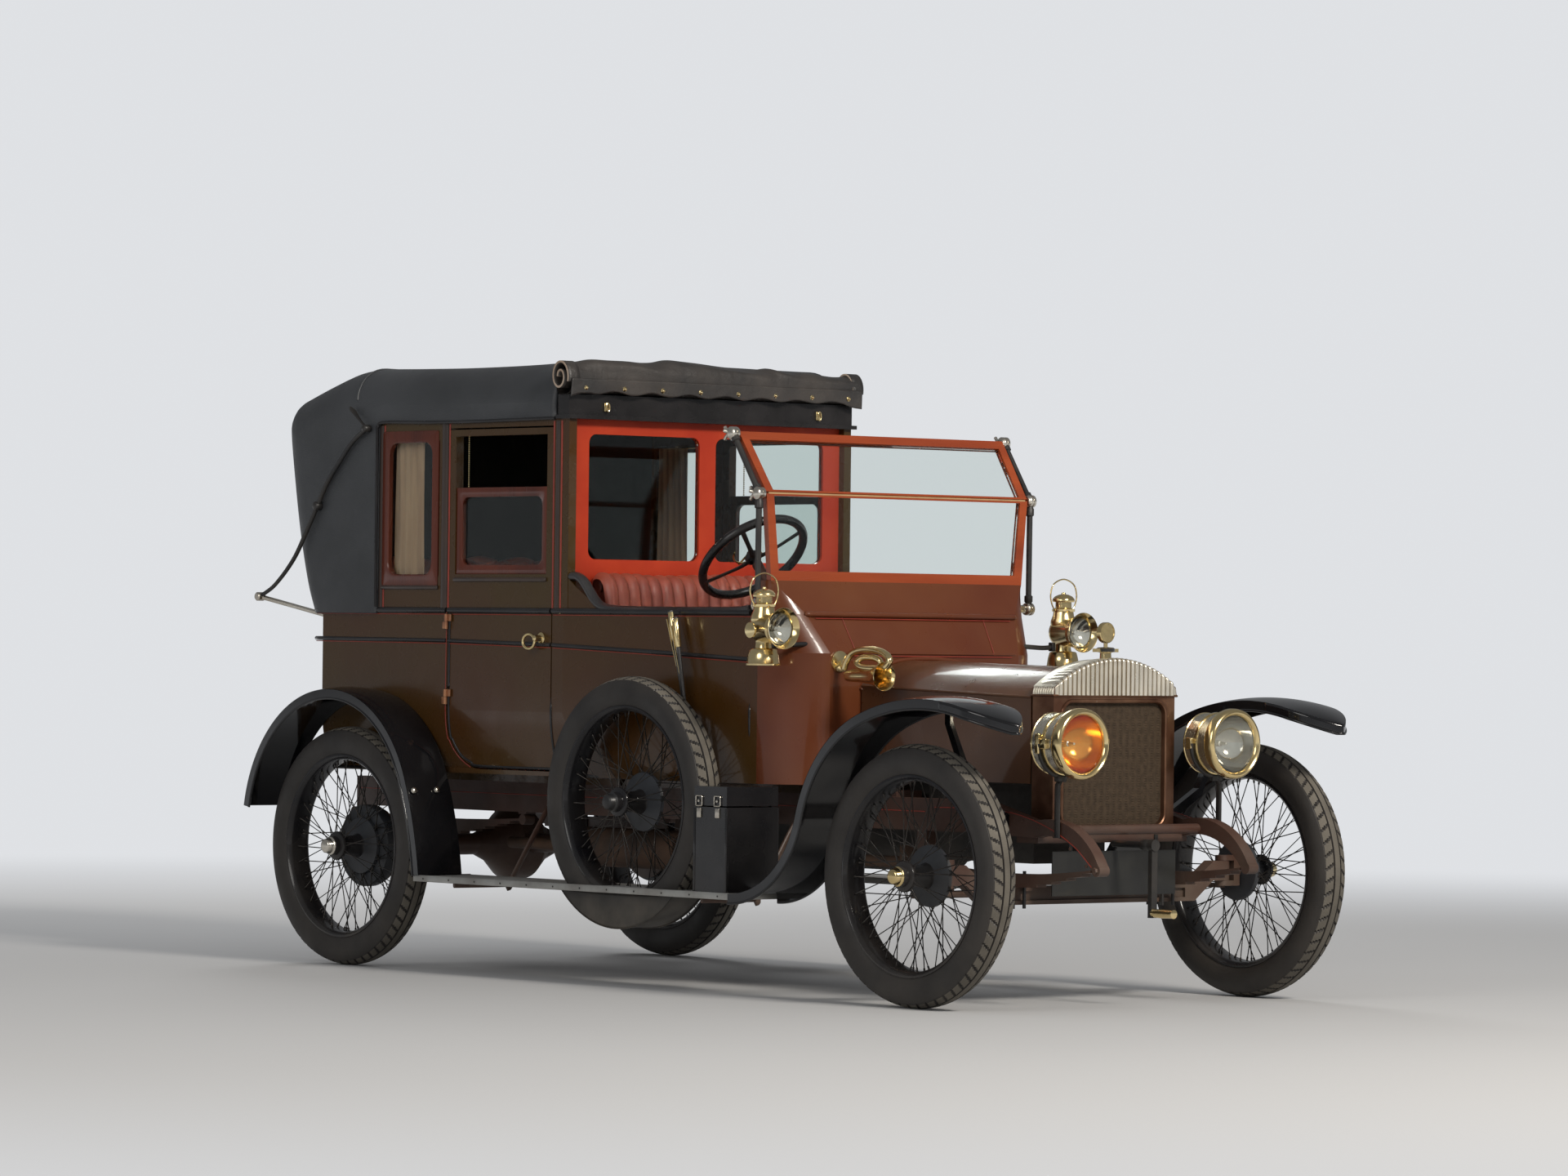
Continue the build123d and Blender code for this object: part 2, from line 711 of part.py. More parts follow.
# Rear doors: the shell inside the outline, posts up to the eave, and a half-dropped sash
window_rear = door_rear_x + door_post
window_front = door_front_x - door_post
window_top = eave_z - 24
sash_rail = 30
sash_gap = 0.5
for name, side in (("left", 1), ("right", -1)):
    with BuildPart() as rear_door_part:
        add(shell)
        add(through(rear_door, side), mode=Mode.INTERSECT)
        with BuildSketch(side_plane(body_half if side > 0 else wall - body_half)):
            with BuildLine():
                Polyline((door_rear_x, belt_z), (door_front_x, belt_z), (door_front_x, eave_z),
                         (door_rear_x, eave_z), close=True)
            make_face()
            with Locations(((window_rear + window_front) / 2, (sill_z + window_top) / 2)):
                Rectangle(window_front - window_rear, window_top - sill_z, mode=Mode.SUBTRACT)
        extrude(amount=wall)
        with BuildSketch(side_plane(body_half - 9 if side > 0 else 25 - body_half)):
            with Locations(((window_rear + window_front) / 2, (sill_z + sash_top) / 2)):
                Rectangle(window_front - window_rear, sash_top - sill_z)
                RectangleRounded(window_front - window_rear - 2 * sash_rail,
                                 sash_top - sill_z - 2 * sash_rail, light_corner, mode=Mode.SUBTRACT)
        extrude(amount=16)
        hinges(rear_hinge_x, side * (body_half + hinge_stand), rear_hinge_zs, 1, True)
    rear_door_part.part.label = f"door_rear_{name}"
    export_step(rear_door_part.part, f"parts/door_rear_{name}.step")
    with BuildPart() as door_glass:
        with BuildSketch(side_plane(body_half - 14 if side > 0 else 20 - body_half)):
            with Locations(((window_rear + window_front) / 2, (sill_z + sash_top) / 2)):
                RectangleRounded(window_front - window_rear - 2 * sash_rail - 2 * sash_gap,
                                 sash_top - sill_z - 2 * sash_rail - 2 * sash_gap,
                                 light_corner - sash_gap)
        extrude(amount=pane)
    door_glass.part.label = f"door_glass_{name}"
    export_step(door_glass.part, f"parts/door_glass_{name}.step")


# Scuttle: lofted from the front body's sides in to the bonnet, hollow and open behind

def cowl_outline(z, front_x, half, inset, back_x):
    # Seen from above at one height: back edge, curved cheeks and a straight front
    front = front_x - inset
    side = half - inset
    back = front_half - inset
    swell_x = scuttle_x + (front - scuttle_x) * 0.62
    swell_y = back - (back - side) * 0.3
    with BuildSketch(Plane.XY.offset(z)) as outline:
        with BuildLine():
            Polyline((scuttle_x, -back), (back_x, -back), (back_x, back), (scuttle_x, back))
            ThreePointArc((scuttle_x, back), (swell_x, swell_y), (front, side))
            Line((front, side), (front, -side))
            ThreePointArc((front, -side), (swell_x, -swell_y), (scuttle_x, -back))
        make_face()
    return outline.sketch


scuttle_wall = 25
# height, front's X, front's half width
stations = [
    (body_bottom, dash_x, dash_half),
    (dash_top, dash_x, dash_half),
    (cowl_z, cowl_x, cowl_half),
    (screen_base, screen_x, screen_base_half),
]
with BuildPart() as cowl:
    for z, front_x, half in stations:
        with BuildSketch(Plane.XY.offset(z)):
            add(cowl_outline(0, front_x, half, 0, scuttle_x - 2))
    loft(ruled=True)
    slab((scuttle_x - 10, scuttle_x), (-across, across), (body_bottom - 1, screen_base + 1), Mode.SUBTRACT)
scuttle_form = cowl.part
with BuildPart() as hollow:
    for z, front_x, half in stations:
        level = min(max(z, body_bottom), screen_base - scuttle_wall)
        with BuildSketch(Plane.XY.offset(level if z > body_bottom else body_bottom - 1)):
            add(cowl_outline(0, front_x, half, scuttle_wall, scuttle_x - 5))
    loft(ruled=True)
lean = radians(column_slope)
column_dir = Vector(cos(lean), 0, -sin(lean))
column_top = Vector(helm_x, helm_y, helm_z)
box_joint = column_top + column_dir * ((helm_z - 665) / sin(lean))
with BuildPart() as scuttle:
    add(scuttle_form)
    add(hollow.part, mode=Mode.SUBTRACT)
    bar(column_top, box_joint, column_radius + 7, Mode.SUBTRACT)
scuttle.part.label = "scuttle"
export_step(scuttle.part, "parts/scuttle.step")

front_hinge_x = front_door_end + door_gap / 2
lean_in = (body_half - front_half) / (scuttle_x - cabin_front_x)
front_hinge_y = front_half + (scuttle_x - front_hinge_x) * lean_in + hinge_stand

# Front body: sides with a rail that rises to the division, floor, toe board and seat box
seat_rail_z = 1431
rail_foot_x = rear_axle_x + 1345     # where the rail that falls from the division reaches the belt
seat_box_front = rear_axle_x + 1600
seat_box_top = 985
toe_foot_x = rear_axle_x + 2010
toe_top = 962
toe_half = 380
with BuildPart() as decks:
    add(inner_form)
    with BuildSketch(side_plane(body_half)):
        with BuildLine():
            deck_z = body_bottom + floor_thick
            Polyline((cabin_front_x, body_bottom), (scuttle_x, body_bottom), (scuttle_x, deck_z),
                     (seat_box_front, deck_z), (seat_box_front, seat_box_top),
                     (cabin_front_x, seat_box_top), close=True)
        make_face()
    extrude(amount=2 * body_half, mode=Mode.INTERSECT)
with BuildPart() as front_body:
    extrude(plan_outline(0).moved(Location((0, 0, belt_z))), amount=seat_rail_z - belt_z)
    extrude(plan_outline(wall).moved(Location((0, 0, belt_z))), amount=seat_rail_z - belt_z,
            mode=Mode.SUBTRACT)
    with BuildSketch(side_plane(body_half + 10)):
        with BuildLine():
            Polyline((pillar_front_x, belt_z), (pillar_front_x, seat_rail_z))
            ThreePointArc((pillar_front_x, seat_rail_z), (rail_foot_x - 120, belt_z + 65),
                          (rail_foot_x, belt_z + 6))
            Polyline((rail_foot_x, belt_z + 6), (rail_foot_x + 55, belt_z), (pillar_front_x, belt_z))
        make_face()
    extrude(amount=2 * body_half + 20, mode=Mode.INTERSECT)
    add(shell)
    slab((body_rear_x - 1, cabin_front_x), (-across, across), (body_bottom - 1, belt_z), Mode.SUBTRACT)
    add(decks.part)
    slab((cabin_front_x + 25, seat_box_front - 25), (25 + wall - front_half, front_half - wall - 25),
         (body_bottom + floor_thick, seat_box_top - 20), Mode.SUBTRACT)
    with BuildSketch(side_plane(toe_half)):
        with BuildLine():
            Polyline((toe_foot_x, body_bottom + 5), (toe_foot_x + 24, body_bottom + 5),
                     (dash_x - 40, toe_top - 32), (dash_x - 40, toe_top), close=True)
        make_face()
    extrude(amount=2 * toe_half)
    for side in (1, -1):
        y_range = sorted((side * (rail_y - rail_width / 2), side * (rail_y + rail_width / 2)))
        slab((cabin_front_x, scuttle_x), y_range, (rail_top, body_bottom + 1))
    add(through(front_door_hole, 1), mode=Mode.SUBTRACT)
    bar(column_top, box_joint, column_radius + 7, Mode.SUBTRACT)
    hinges(front_hinge_x, front_hinge_y, front_hinge_zs, 1, False)
front_body.part.label = "front_body"
export_step(front_body.part, "parts/front_body.step")

# Left front door, hinged at its front edge. The spare wheel stands against the right side.
with BuildPart() as front_door_part:
    add(shell)
    add(through(front_door, 1), mode=Mode.INTERSECT)
    slab((front_door_x - 5, scuttle_x), (400, 600), (body_bottom - 1, door_bottom - 1), Mode.SUBTRACT)
    hinges(front_hinge_x, front_hinge_y, front_hinge_zs, -1, True)
front_door_part.part.label = "door_front_left"
export_step(front_door_part.part, "parts/door_front_left.step")

# Division behind the driver: two glazed lights in one frame
division_half = body_half - wall
light_low = 1501
light_high = 1950
light_inner = 38
light_outer = 552
with BuildPart() as division:
    with BuildSketch(Plane.YZ.offset(division_x + 5)):
        with Locations((0, (belt_z + cant_top) / 2)):
            Rectangle(2 * division_half, cant_top - belt_z)
        for side in (1, -1):
            with Locations((side * (light_inner + light_outer) / 2, (light_low + light_high) / 2)):
                RectangleRounded(light_outer - light_inner, light_high - light_low, light_corner,
                                 mode=Mode.SUBTRACT)
    extrude(amount=25)
division.part.label = "division_frame"
export_step(division.part, "parts/division_frame.step")

# Windscreen: upright lower half and a raked upper half, hinged where the two meet
screen_rail = 34
screen_thick = 24
screen_hinge_half = 610
hinge_z = 1726
screen_top_half = 618
screen_top_z = 1936
screen_top_x = screen_x - 143
upper_length = hypot(screen_top_x - screen_x, screen_top_z - hinge_z)
upper_plane = Plane(
    origin=(screen_x - screen_thick / 2, 0, hinge_z),
    x_dir=(0, 1, 0),
    z_dir=Vector(0, 1, 0).cross(Vector(screen_top_x - screen_x, 0, screen_top_z - hinge_z)),
)
lower_opening = [
    (-screen_base_half + screen_rail, screen_base + screen_rail),
    (screen_base_half - screen_rail, screen_base + screen_rail),
    (screen_hinge_half - screen_rail, hinge_z - 8),
    (screen_rail - screen_hinge_half, hinge_z - 8),
]
upper_opening = [
    (screen_rail - screen_hinge_half, 8),
    (screen_hinge_half - screen_rail, 8),
    (screen_top_half - screen_rail, upper_length - screen_rail),
    (screen_rail - screen_top_half, upper_length - screen_rail),
]
with BuildPart() as windscreen:
    with BuildSketch(Plane.YZ.offset(screen_x - screen_thick)):
        with BuildLine():
            Polyline((-screen_base_half, screen_base), (screen_base_half, screen_base),
                     (screen_hinge_half, hinge_z), (-screen_hinge_half, hinge_z), close=True)
        make_face()
        with BuildLine():
            Polyline(*lower_opening, close=True)
        make_face(mode=Mode.SUBTRACT)
    extrude(amount=screen_thick)
    with BuildSketch(upper_plane):
        with BuildLine():
            Polyline((-screen_hinge_half, 0), (screen_hinge_half, 0), (screen_top_half, upper_length),
                     (-screen_top_half, upper_length), close=True)
        make_face()
        with BuildLine():
            Polyline(*upper_opening, close=True)
        make_face(mode=Mode.SUBTRACT)
    extrude(amount=screen_thick / 2, both=True)
windscreen.part.label = "windscreen_frame"
export_step(windscreen.part, "parts/windscreen_frame.step")

# Fixed glass: windscreen halves, division lights and quarter windows
with BuildPart() as glass:
    with BuildSketch(Plane.YZ.offset(screen_x - 15)):
        with BuildLine():
            Polyline(*lower_opening, close=True)
        make_face()
        offset(amount=-sash_gap)
    extrude(amount=pane)
    with BuildSketch(upper_plane):
        with BuildLine():
            Polyline(*upper_opening, close=True)
        make_face()
        offset(amount=-sash_gap)
    extrude(amount=pane / 2, both=True)
    with BuildSketch(Plane.YZ.offset(division_x + 14)):
        for side in (1, -1):
            with Locations((side * (light_inner + light_outer) / 2, (light_low + light_high) / 2)):
                RectangleRounded(light_outer - light_inner - 2 * sash_gap,
                                 light_high - light_low - 2 * sash_gap, light_corner - sash_gap)
    extrude(amount=pane)
    for side in (1, -1):
        with BuildSketch(side_plane(body_half - 14 if side > 0 else 20 - body_half)):
            with Locations(((quarter_rear_x + quarter_front_x) / 2, (quarter_low + quarter_high) / 2)):
                RectangleRounded(quarter_front_x - quarter_rear_x - 2 * sash_gap,
                                 quarter_high - quarter_low - 2 * sash_gap,
                                 light_corner - sash_gap)
        extrude(amount=pane)
glass.part.label = "fixed_glass"
export_step(glass.part, "parts/fixed_glass.step")


# Hood: leather over the rear quarter and the roof, hollow and open below and in front

hood_front_x = division_x - 15
hood_foot_x = body_rear_x + 12
hood_crest_x = rear_axle_x - 160
hood_back_corner = (hood_rear_x - 18, 2102)
hood_crest_radius = 400
hood_back_radius = 112
hood_edge_radius = 88


def hood_form(inset, low, front_x):
    # Side profile across the car, with its outer edges rounded; low lets the inside run out below
    top = hood_top - inset
    with BuildPart() as form:
        with BuildSketch(side_plane(hood_half - inset)):
            with BuildLine():
                FilletPolyline(
                    (front_x, top - 8),
                    (hood_crest_x, top),
                    (hood_back_corner[0] + inset, hood_back_corner[1] - inset),
                    (hood_foot_x + inset, belt_z - low),
                    radius=[hood_crest_radius, hood_back_radius - inset],
                )
                Polyline((hood_foot_x + inset, belt_z - low), (hood_side_x, belt_z - low),
                         (hood_side_x, cant_top - low), (front_x, cant_top - low), (front_x, top - 8))
            make_face()
        extrude(amount=2 * (hood_half - inset))
        ends = form.edges().filter_by(lambda e: e.bounding_box().size.Y < 1)
        roof = ends.filter_by(lambda e: e.center().Z > cant_top + 60 and e.center().X < front_x - 5)
        back = ends.filter_by(lambda e: e.center().X < hood_foot_x + inset - 20)
        fillet(list(set(roof) | set(back)), hood_edge_radius - inset)
    return form.part


with BuildPart() as hood:
    add(hood_form(0, 0, hood_front_x))
    add(hood_form(hood_thick, 1, hood_front_x + 1), mode=Mode.SUBTRACT)
hood.part.label = "hood"
export_step(hood.part, "parts/hood.step")

# Header board across the front of the roof, and the driver's canopy rolled on top of it
header_half = body_half + 3
header_rear_x = hood_front_x + 8
header_depth = pillar_front_x - header_rear_x
header_middle_x = header_rear_x + header_depth / 2
header_top = 2090
roll_top = 2200
with BuildPart() as header:
    slab((header_rear_x, pillar_front_x), (-header_half, header_half), (cant_top, header_top))
    with BuildSketch(Plane.XY.offset(cant_top)):
        with Locations((header_middle_x + 8, 0)):
            Rectangle(header_depth + 20, 2 * header_half + 20)
    extrude(amount=14)
header.part.label = "header_board"
export_step(header.part, "parts/header_board.step")
with BuildPart() as canopy:
    with BuildSketch(side_plane(header_half + 12)):
        with Locations((header_middle_x + 12, (header_top + roll_top) / 2)):
            RectangleRounded(header_depth + 28, roll_top - header_top - 2 * fit_gap, 44)
    extrude(amount=2 * header_half + 24)
canopy.part.label = "canopy_roll"
export_step(canopy.part, "parts/canopy_roll.step")

# Seats: cushion and back as one upholstered form each
seat_half = body_half - 105
with BuildPart() as front_seat:
    with BuildSketch(side_plane(seat_half - 2)):
        seat_x = cabin_front_x + 1
        with BuildLine():
            Polyline((seat_x, seat_box_top + fit_gap), (seat_box_front + 25, seat_box_top + fit_gap),
                     (seat_box_front + 25, seat_box_top + 130), (seat_x + 150, seat_box_top + 150),
                     (seat_x + 95, seat_rail_z + 1), (seat_x + 10, seat_rail_z + 1), close=True)
        make_face()
    extrude(amount=2 * seat_half - 4)
front_seat.part.label = "front_seat"
export_step(front_seat.part, "parts/front_seat.step")
rear_seat_x = body_rear_x + wall + 1
with BuildPart() as rear_seat:
    with BuildSketch(side_plane(seat_half - 20)):
        seat_low = body_bottom + floor_thick + fit_gap
        with BuildLine():
            Polyline((rear_seat_x, seat_low), (rear_seat_x + 520, seat_low), (rear_seat_x + 540, 1130),
                     (rear_seat_x + 170, 1150), (rear_seat_x + 110, 1500), (rear_seat_x + 30, 1500),
                     (rear_seat_x, belt_z - 20), close=True)
        make_face()
    extrude(amount=2 * seat_half - 40)
rear_seat.part.label = "rear_seat"
export_step(rear_seat.part, "parts/rear_seat.step")

# Bonnet: two halves, each a curved top leaf and a side leaf, which meet at hinge barrels

def bonnet_arch(x, crown, half, edge, y_start):
    # Half of the arch at one station, as a curved band
    swell = (half * 0.66, edge + (crown - edge) * 0.72)
    with BuildSketch(Plane.YZ.offset(x)) as band:
        with BuildLine():
            ThreePointArc((y_start, crown), swell, (half, edge))
            Line((half, edge), (half - sheet, edge))
            ThreePointArc((half - sheet, edge), (swell[0] - sheet * 0.5, swell[1] - sheet),
                          (y_start, crown - sheet))
            Line((y_start, crown - sheet), (y_start, crown))
        make_face()
    return band.sketch


arches = [
    (bonnet_rear_x, bonnet_rear_crown, bonnet_rear_half, bonnet_rear_edge),
    (bonnet_front_x, bonnet_front_crown, bonnet_front_half, bonnet_front_edge),
]
leaf_gap = barrel_radius + 0.6


def top_leaf():
    with BuildPart() as band:
        for x, crown, half, edge in arches:
            add(bonnet_arch(x, crown, half, edge, leaf_gap))
        loft()
    return band.part


def side_leaf(drop):
    # Its top stands below the top leaf's edge by the drop
    with BuildPart() as panel:
        for x, crown, half, edge in arches:
            with BuildSketch(Plane.YZ.offset(x)):
                with Locations((half - sheet / 2, (edge - drop + bonnet_bottom) / 2)):
                    Rectangle(sheet, edge - drop - bonnet_bottom)
        loft()
    return panel.part


barrel_drop = barrel_radius - 0.5
centre_line = [Vector(x, 0, crown - sheet / 2) for x, crown, half, edge in arches]
edge_line = [Vector(x, half - sheet / 2, edge - barrel_drop) for x, crown, half, edge in arches]
edge_span = edge_line[1] - edge_line[0]
# The left edge's barrel is in three knuckles: the outer two on the top leaf, the middle one on the side
knuckle_ends = (0.35, 0.65)
knuckle_gap = fit_gap / edge_span.length
with BuildPart() as bonnet_top:
    add(top_leaf())
    bar(edge_line[0], edge_line[0] + edge_span * (knuckle_ends[0] - knuckle_gap), barrel_radius)
    bar(edge_line[0] + edge_span * (knuckle_ends[1] + knuckle_gap), edge_line[1], barrel_radius)
bonnet_top.part.label = "bonnet_top_left"
export_step(bonnet_top.part, "parts/bonnet_top_left.step")
with BuildPart() as bonnet_side:
    add(side_leaf(leaf_gap + barrel_drop))
    with BuildPart(mode=Mode.PRIVATE) as tab:
        add(side_leaf(barrel_drop))
        slab((edge_line[0].X + edge_span.X * knuckle_ends[0], edge_line[0].X + edge_span.X * knuckle_ends[1]),
             (0, body_half), (bonnet_bottom + 50, dash_top), Mode.INTERSECT)
    add(tab.part)
    # Its barrel is a little slimmer, to turn under the top leaf's edge
    bar(edge_line[0] + edge_span * knuckle_ends[0], edge_line[0] + edge_span * knuckle_ends[1],
        barrel_radius - 0.8)
bonnet_side.part.label = "bonnet_side_left"
export_step(bonnet_side.part, "parts/bonnet_side_left.step")
with BuildPart() as bonnet_half:
    add(top_leaf())
    add(side_leaf(barrel_drop))
    bar(*edge_line, barrel_radius)
with BuildPart() as bonnet_right:
    add(mirror(bonnet_half.part, about=Plane.XZ, mode=Mode.PRIVATE))
    # The centre rod is held in the dash and in the radiator's shell
    rod_ends = [(dash_x, bonnet_rear_crown), (radiator_x - radiator_depth, bonnet_front_crown)]
    bar(*[(x, 0, crown - sheet / 2) for x, crown in rod_ends], barrel_radius)
    slab((bonnet_rear_x, bonnet_front_x), (-leaf_gap - 1, 0),
         (bonnet_front_crown - sheet, bonnet_front_crown))
    slab((dash_x - 5, dash_x), (-20, 20), (1100, 1180), Mode.SUBTRACT)
    slab((radiator_x - radiator_depth, radiator_x - 90), (-20, 20), (1100, 1180), Mode.SUBTRACT)
bonnet_right.part.label = "bonnet_right"
export_step(bonnet_right.part, "parts/bonnet_right.step")

# Radiator: surround with a round-cornered mouth, fluted top tank, core and filler cap
radiator_half = 280
mouth_half = 236
mouth_top = 1022
mouth_bottom = 604
mouth_corner = 42
tank_low = 1045
tank_edge = 1072
tank_crest = 1165
radiator_back = radiator_x - radiator_depth
flute_count = 26
flute_pitch = 20.6
flute_radius = 9.5


def tank_front(drop):
    # The top tank seen from the front, its arch lowered by the drop
    with BuildSketch(Plane.YZ.offset(radiator_back)) as front:
        with BuildLine():
            Polyline((radiator_half, tank_edge - drop), (radiator_half + 4, tank_low),
                     (-radiator_half - 4, tank_low), (-radiator_half, tank_edge - drop))
            ThreePointArc((-radiator_half, tank_edge - drop), (0, tank_crest - drop),
                          (radiator_half, tank_edge - drop))
        make_face()
    return front.sketch


with BuildPart() as flutes:
    with BuildSketch(Plane.XY.offset(tank_low + 4)):
        with Locations((radiator_x + 6, 0)):
            with GridLocations(0, flute_pitch, 1, flute_count):
                RegularPolygon(flute_radius, 8, rotation=22.5)
    extrude(amount=tank_crest - tank_low)
    extrude(tank_front(3), amount=2 * radiator_depth, mode=Mode.INTERSECT)
with BuildPart() as radiator:
    slab((radiator_back, radiator_x), (-radiator_half, radiator_half), (radiator_bottom, tank_low))
    with BuildSketch(Plane.YZ.offset(radiator_back - 1)):
        with Locations((0, (mouth_top + mouth_bottom) / 2)):
            RectangleRounded(2 * mouth_half, mouth_top - mouth_bottom, mouth_corner)
    extrude(amount=radiator_depth + 2, mode=Mode.SUBTRACT)
    extrude(tank_front(0), amount=radiator_depth + 6)
    add(flutes.part)
radiator.part.label = "radiator_shell"
export_step(radiator.part, "parts/radiator_shell.step")
with BuildPart() as core:
    with BuildSketch(Plane.YZ.offset(radiator_back + 6)):
        with Locations((0, (mouth_top + mouth_bottom) / 2)):
            RectangleRounded(2 * mouth_half - 2 * fit_gap, mouth_top - mouth_bottom - 2 * fit_gap,
                             mouth_corner - fit_gap)
    extrude(amount=radiator_depth - 20)
core.part.label = "radiator_core"
export_step(core.part, "parts/radiator_core.step")

cap_x = radiator_x - 48
with BuildPart() as cap:
    # radius, bottom and top of each turned step of the neck, cap and dial's stem
    steps = [(19, tank_crest - 2, tank_crest + 26), (30, tank_crest + 26, tank_crest + 40),
             (7, tank_crest + 40, tank_crest + 62)]
    for radius, low, high in steps:
        with BuildSketch(Plane.XY.offset(low)):
            with Locations((cap_x, 0)):
                Circle(radius)
        extrude(amount=high - low)
    slab((cap_x - 9, cap_x + 9), (-52, 52), (tank_crest + 26, tank_crest + 38))
    dial_z = tank_crest + 62 + 30
    bar((cap_x - 9, 0, dial_z), (cap_x + 9, 0, dial_z), 34)
    add(radiator.part, mode=Mode.SUBTRACT)
cap.part.label = "filler_cap"
export_step(cap.part, "parts/filler_cap.step")


# Mudguards: a curved strip with turned-down edges, its profile a chain of tangent arcs

def curved_band(chain, shallow, deep):
    # The strip between two depths below a chain of arcs that runs forward
    with BuildSketch() as band:
        for arc in chain:
            stops = []
            for depth in (shallow, deep):
                for t in (0, 0.5, 1):
                    along = arc % t
                    stops.append((arc @ t) + Vector(along.Y, -along.X) * depth)
            with BuildLine():
                ThreePointArc(*stops[:3])
                Line(stops[2], stops[5])
                ThreePointArc(stops[5], stops[4], stops[3])
                Line(stops[3], stops[0])
            make_face()
    return band.sketch


def guard_channel(chain, plan, inner_plan, reach):
    # A strip cut to its plan shape, hollowed below to leave the sheet and its flange
    solids = []
    for shallow, deep, shape in ((0, guard_flange, plan), (guard_sheet, guard_flange + 5, inner_plan)):
        with BuildPart() as block:
            with BuildSketch(side_plane(reach[1])):
                add(curved_band(chain, shallow, deep))
            extrude(amount=reach[1] - reach[0])
            extrude(shape, amount=tyre_radius * 3, mode=Mode.INTERSECT)
        solids.append(block.part)
    with BuildPart() as channel:
        add(solids[0])
        add(solids[1], mode=Mode.SUBTRACT)
    return channel.part


with BuildLine(mode=Mode.PRIVATE) as front_chain:
    foot = TangentArc((board_front_x, board_top), (rear_axle_x + 2650, 622), tangent=(1, 0))
    rise = TangentArc(foot @ 1, (rear_axle_x + 2961, 971), tangent=foot % 1)
    TangentArc(rise @ 1, (rear_axle_x + front_reach, 952), tangent=rise % 1)
with BuildLine(mode=Mode.PRIVATE) as rear_chain:
    crest = ThreePointArc((rear_axle_x - 540, 575), (rear_axle_x - 390, 862), (rear_axle_x + 45, 1014))
    fall = TangentArc(crest @ 1, (rear_axle_x + 455, 705), tangent=crest % 1)
    TangentArc(fall @ 1, (rear_axle_x + 548, board_top + fit_gap), tangent=fall % 1)


def leaf_plan(inset):
    # Front mudguard from above: parallel edges that close to a leaf-shaped tip
    low = front_guard_inner + inset
    high = guard_outer - inset
    tip = rear_axle_x + front_reach - inset
    shoulder = tip - 270
    middle = (low + high) / 2
    with BuildSketch() as plan:
        with BuildLine():
            Polyline((shoulder, high), (board_front_x - 40, high), (board_front_x - 40, low), (shoulder, low))
            ThreePointArc((shoulder, low), (tip - 70, middle - (middle - low) * 0.66), (tip, middle))
            ThreePointArc((tip, middle), (tip - 70, middle + (high - middle) * 0.66), (shoulder, high))
        make_face()
    return plan.sketch


stay_x = front_axle_x - 20
stay_foot_y = rail_y + rail_width / 2
with BuildPart() as front_guards:
    add(guard_channel(front_chain.edges(), leaf_plan(0), leaf_plan(guard_sheet),
                      (front_guard_inner, guard_outer)))
    # A forged stay from the rail to the inner flange
    with BuildSketch(Plane.YZ.offset(stay_x)):
        with BuildLine():
            Polyline((stay_foot_y, 600), (stay_foot_y, 640), (515, 725), (front_guard_inner - 12, 955),
                     (front_guard_inner - 12, 1010), (front_guard_inner, 1010),
                     (front_guard_inner, 945), (530, 700), close=True)
        make_face()
    extrude(amount=28)
    mirror(about=Plane.XZ)
front_guards.part.label = "mudguards_front"
export_step(front_guards.part, "parts/mudguards_front.step")

rear_guard_inner = body_half + fit_gap
with BuildPart() as rear_guards:
    plans = []
    for inset in (0, guard_sheet):
        with BuildSketch() as plan:
            with Locations((rear_axle_x, (rear_guard_inner + guard_outer) / 2)):
                Rectangle(1400, guard_outer - rear_guard_inner - 2 * inset)
        plans.append(plan.sketch)
    add(guard_channel(rear_chain.edges(), plans[0], plans[1], (rear_guard_inner, guard_outer)))
    slab((rear_axle_x, board_front_x), (board_inner, guard_outer + 1), (0, board_top), Mode.SUBTRACT)
    mirror(about=Plane.XZ)
rear_guards.part.label = "mudguards_rear"
export_step(rear_guards.part, "parts/mudguards_rear.step")

# Running boards on brackets from the rails; the right one has a curved pan for the spare wheel
board_low = board_top - board_thick
pan_half = tyre_half + 8
pan_sheet = 4
with BuildPart() as boards:
    slab((board_rear_x, board_front_x), (board_inner, board_outer), (board_low, board_top))
    for bracket_x in (rear_axle_x + 720, rear_axle_x + 2120):
        with BuildSketch(Plane.YZ.offset(bracket_x)):
            with BuildLine():
                Polyline((stay_foot_y, 650), (stay_foot_y, 612), (588, board_low - 13),
                         (board_outer - 20, board_low - 13), (board_outer - 20, board_low),
                         (604, board_low), close=True)
            make_face()
        extrude(amount=22)
    mirror(about=Plane.XZ)
    with BuildSketch(side_plane(spare_y + pan_half + pan_sheet)):
        with Locations((spare_x, spare_z)):
            Circle(tyre_radius + fit_gap + pan_sheet)
        with Locations((spare_x, spare_z + board_low)):
            Rectangle(1000, 2 * spare_z, mode=Mode.SUBTRACT)
    extrude(amount=2 * (pan_half + pan_sheet))
    with BuildSketch(side_plane(spare_y + pan_half)):
        with Locations((spare_x, spare_z)):
            Circle(tyre_radius + fit_gap)
    extrude(amount=2 * pan_half, mode=Mode.SUBTRACT)
boards.part.label = "running_boards"
export_step(boards.part, "parts/running_boards.step")

# Toolbox and its lid, hinged at the top of its inboard side
box_wall = 12
lid_axis_y = -box_inner + 7
lid_axis_z = box_top - 6
lid_barrel = 5
lid_low = box_seam + 5
lid_knuckle = 15
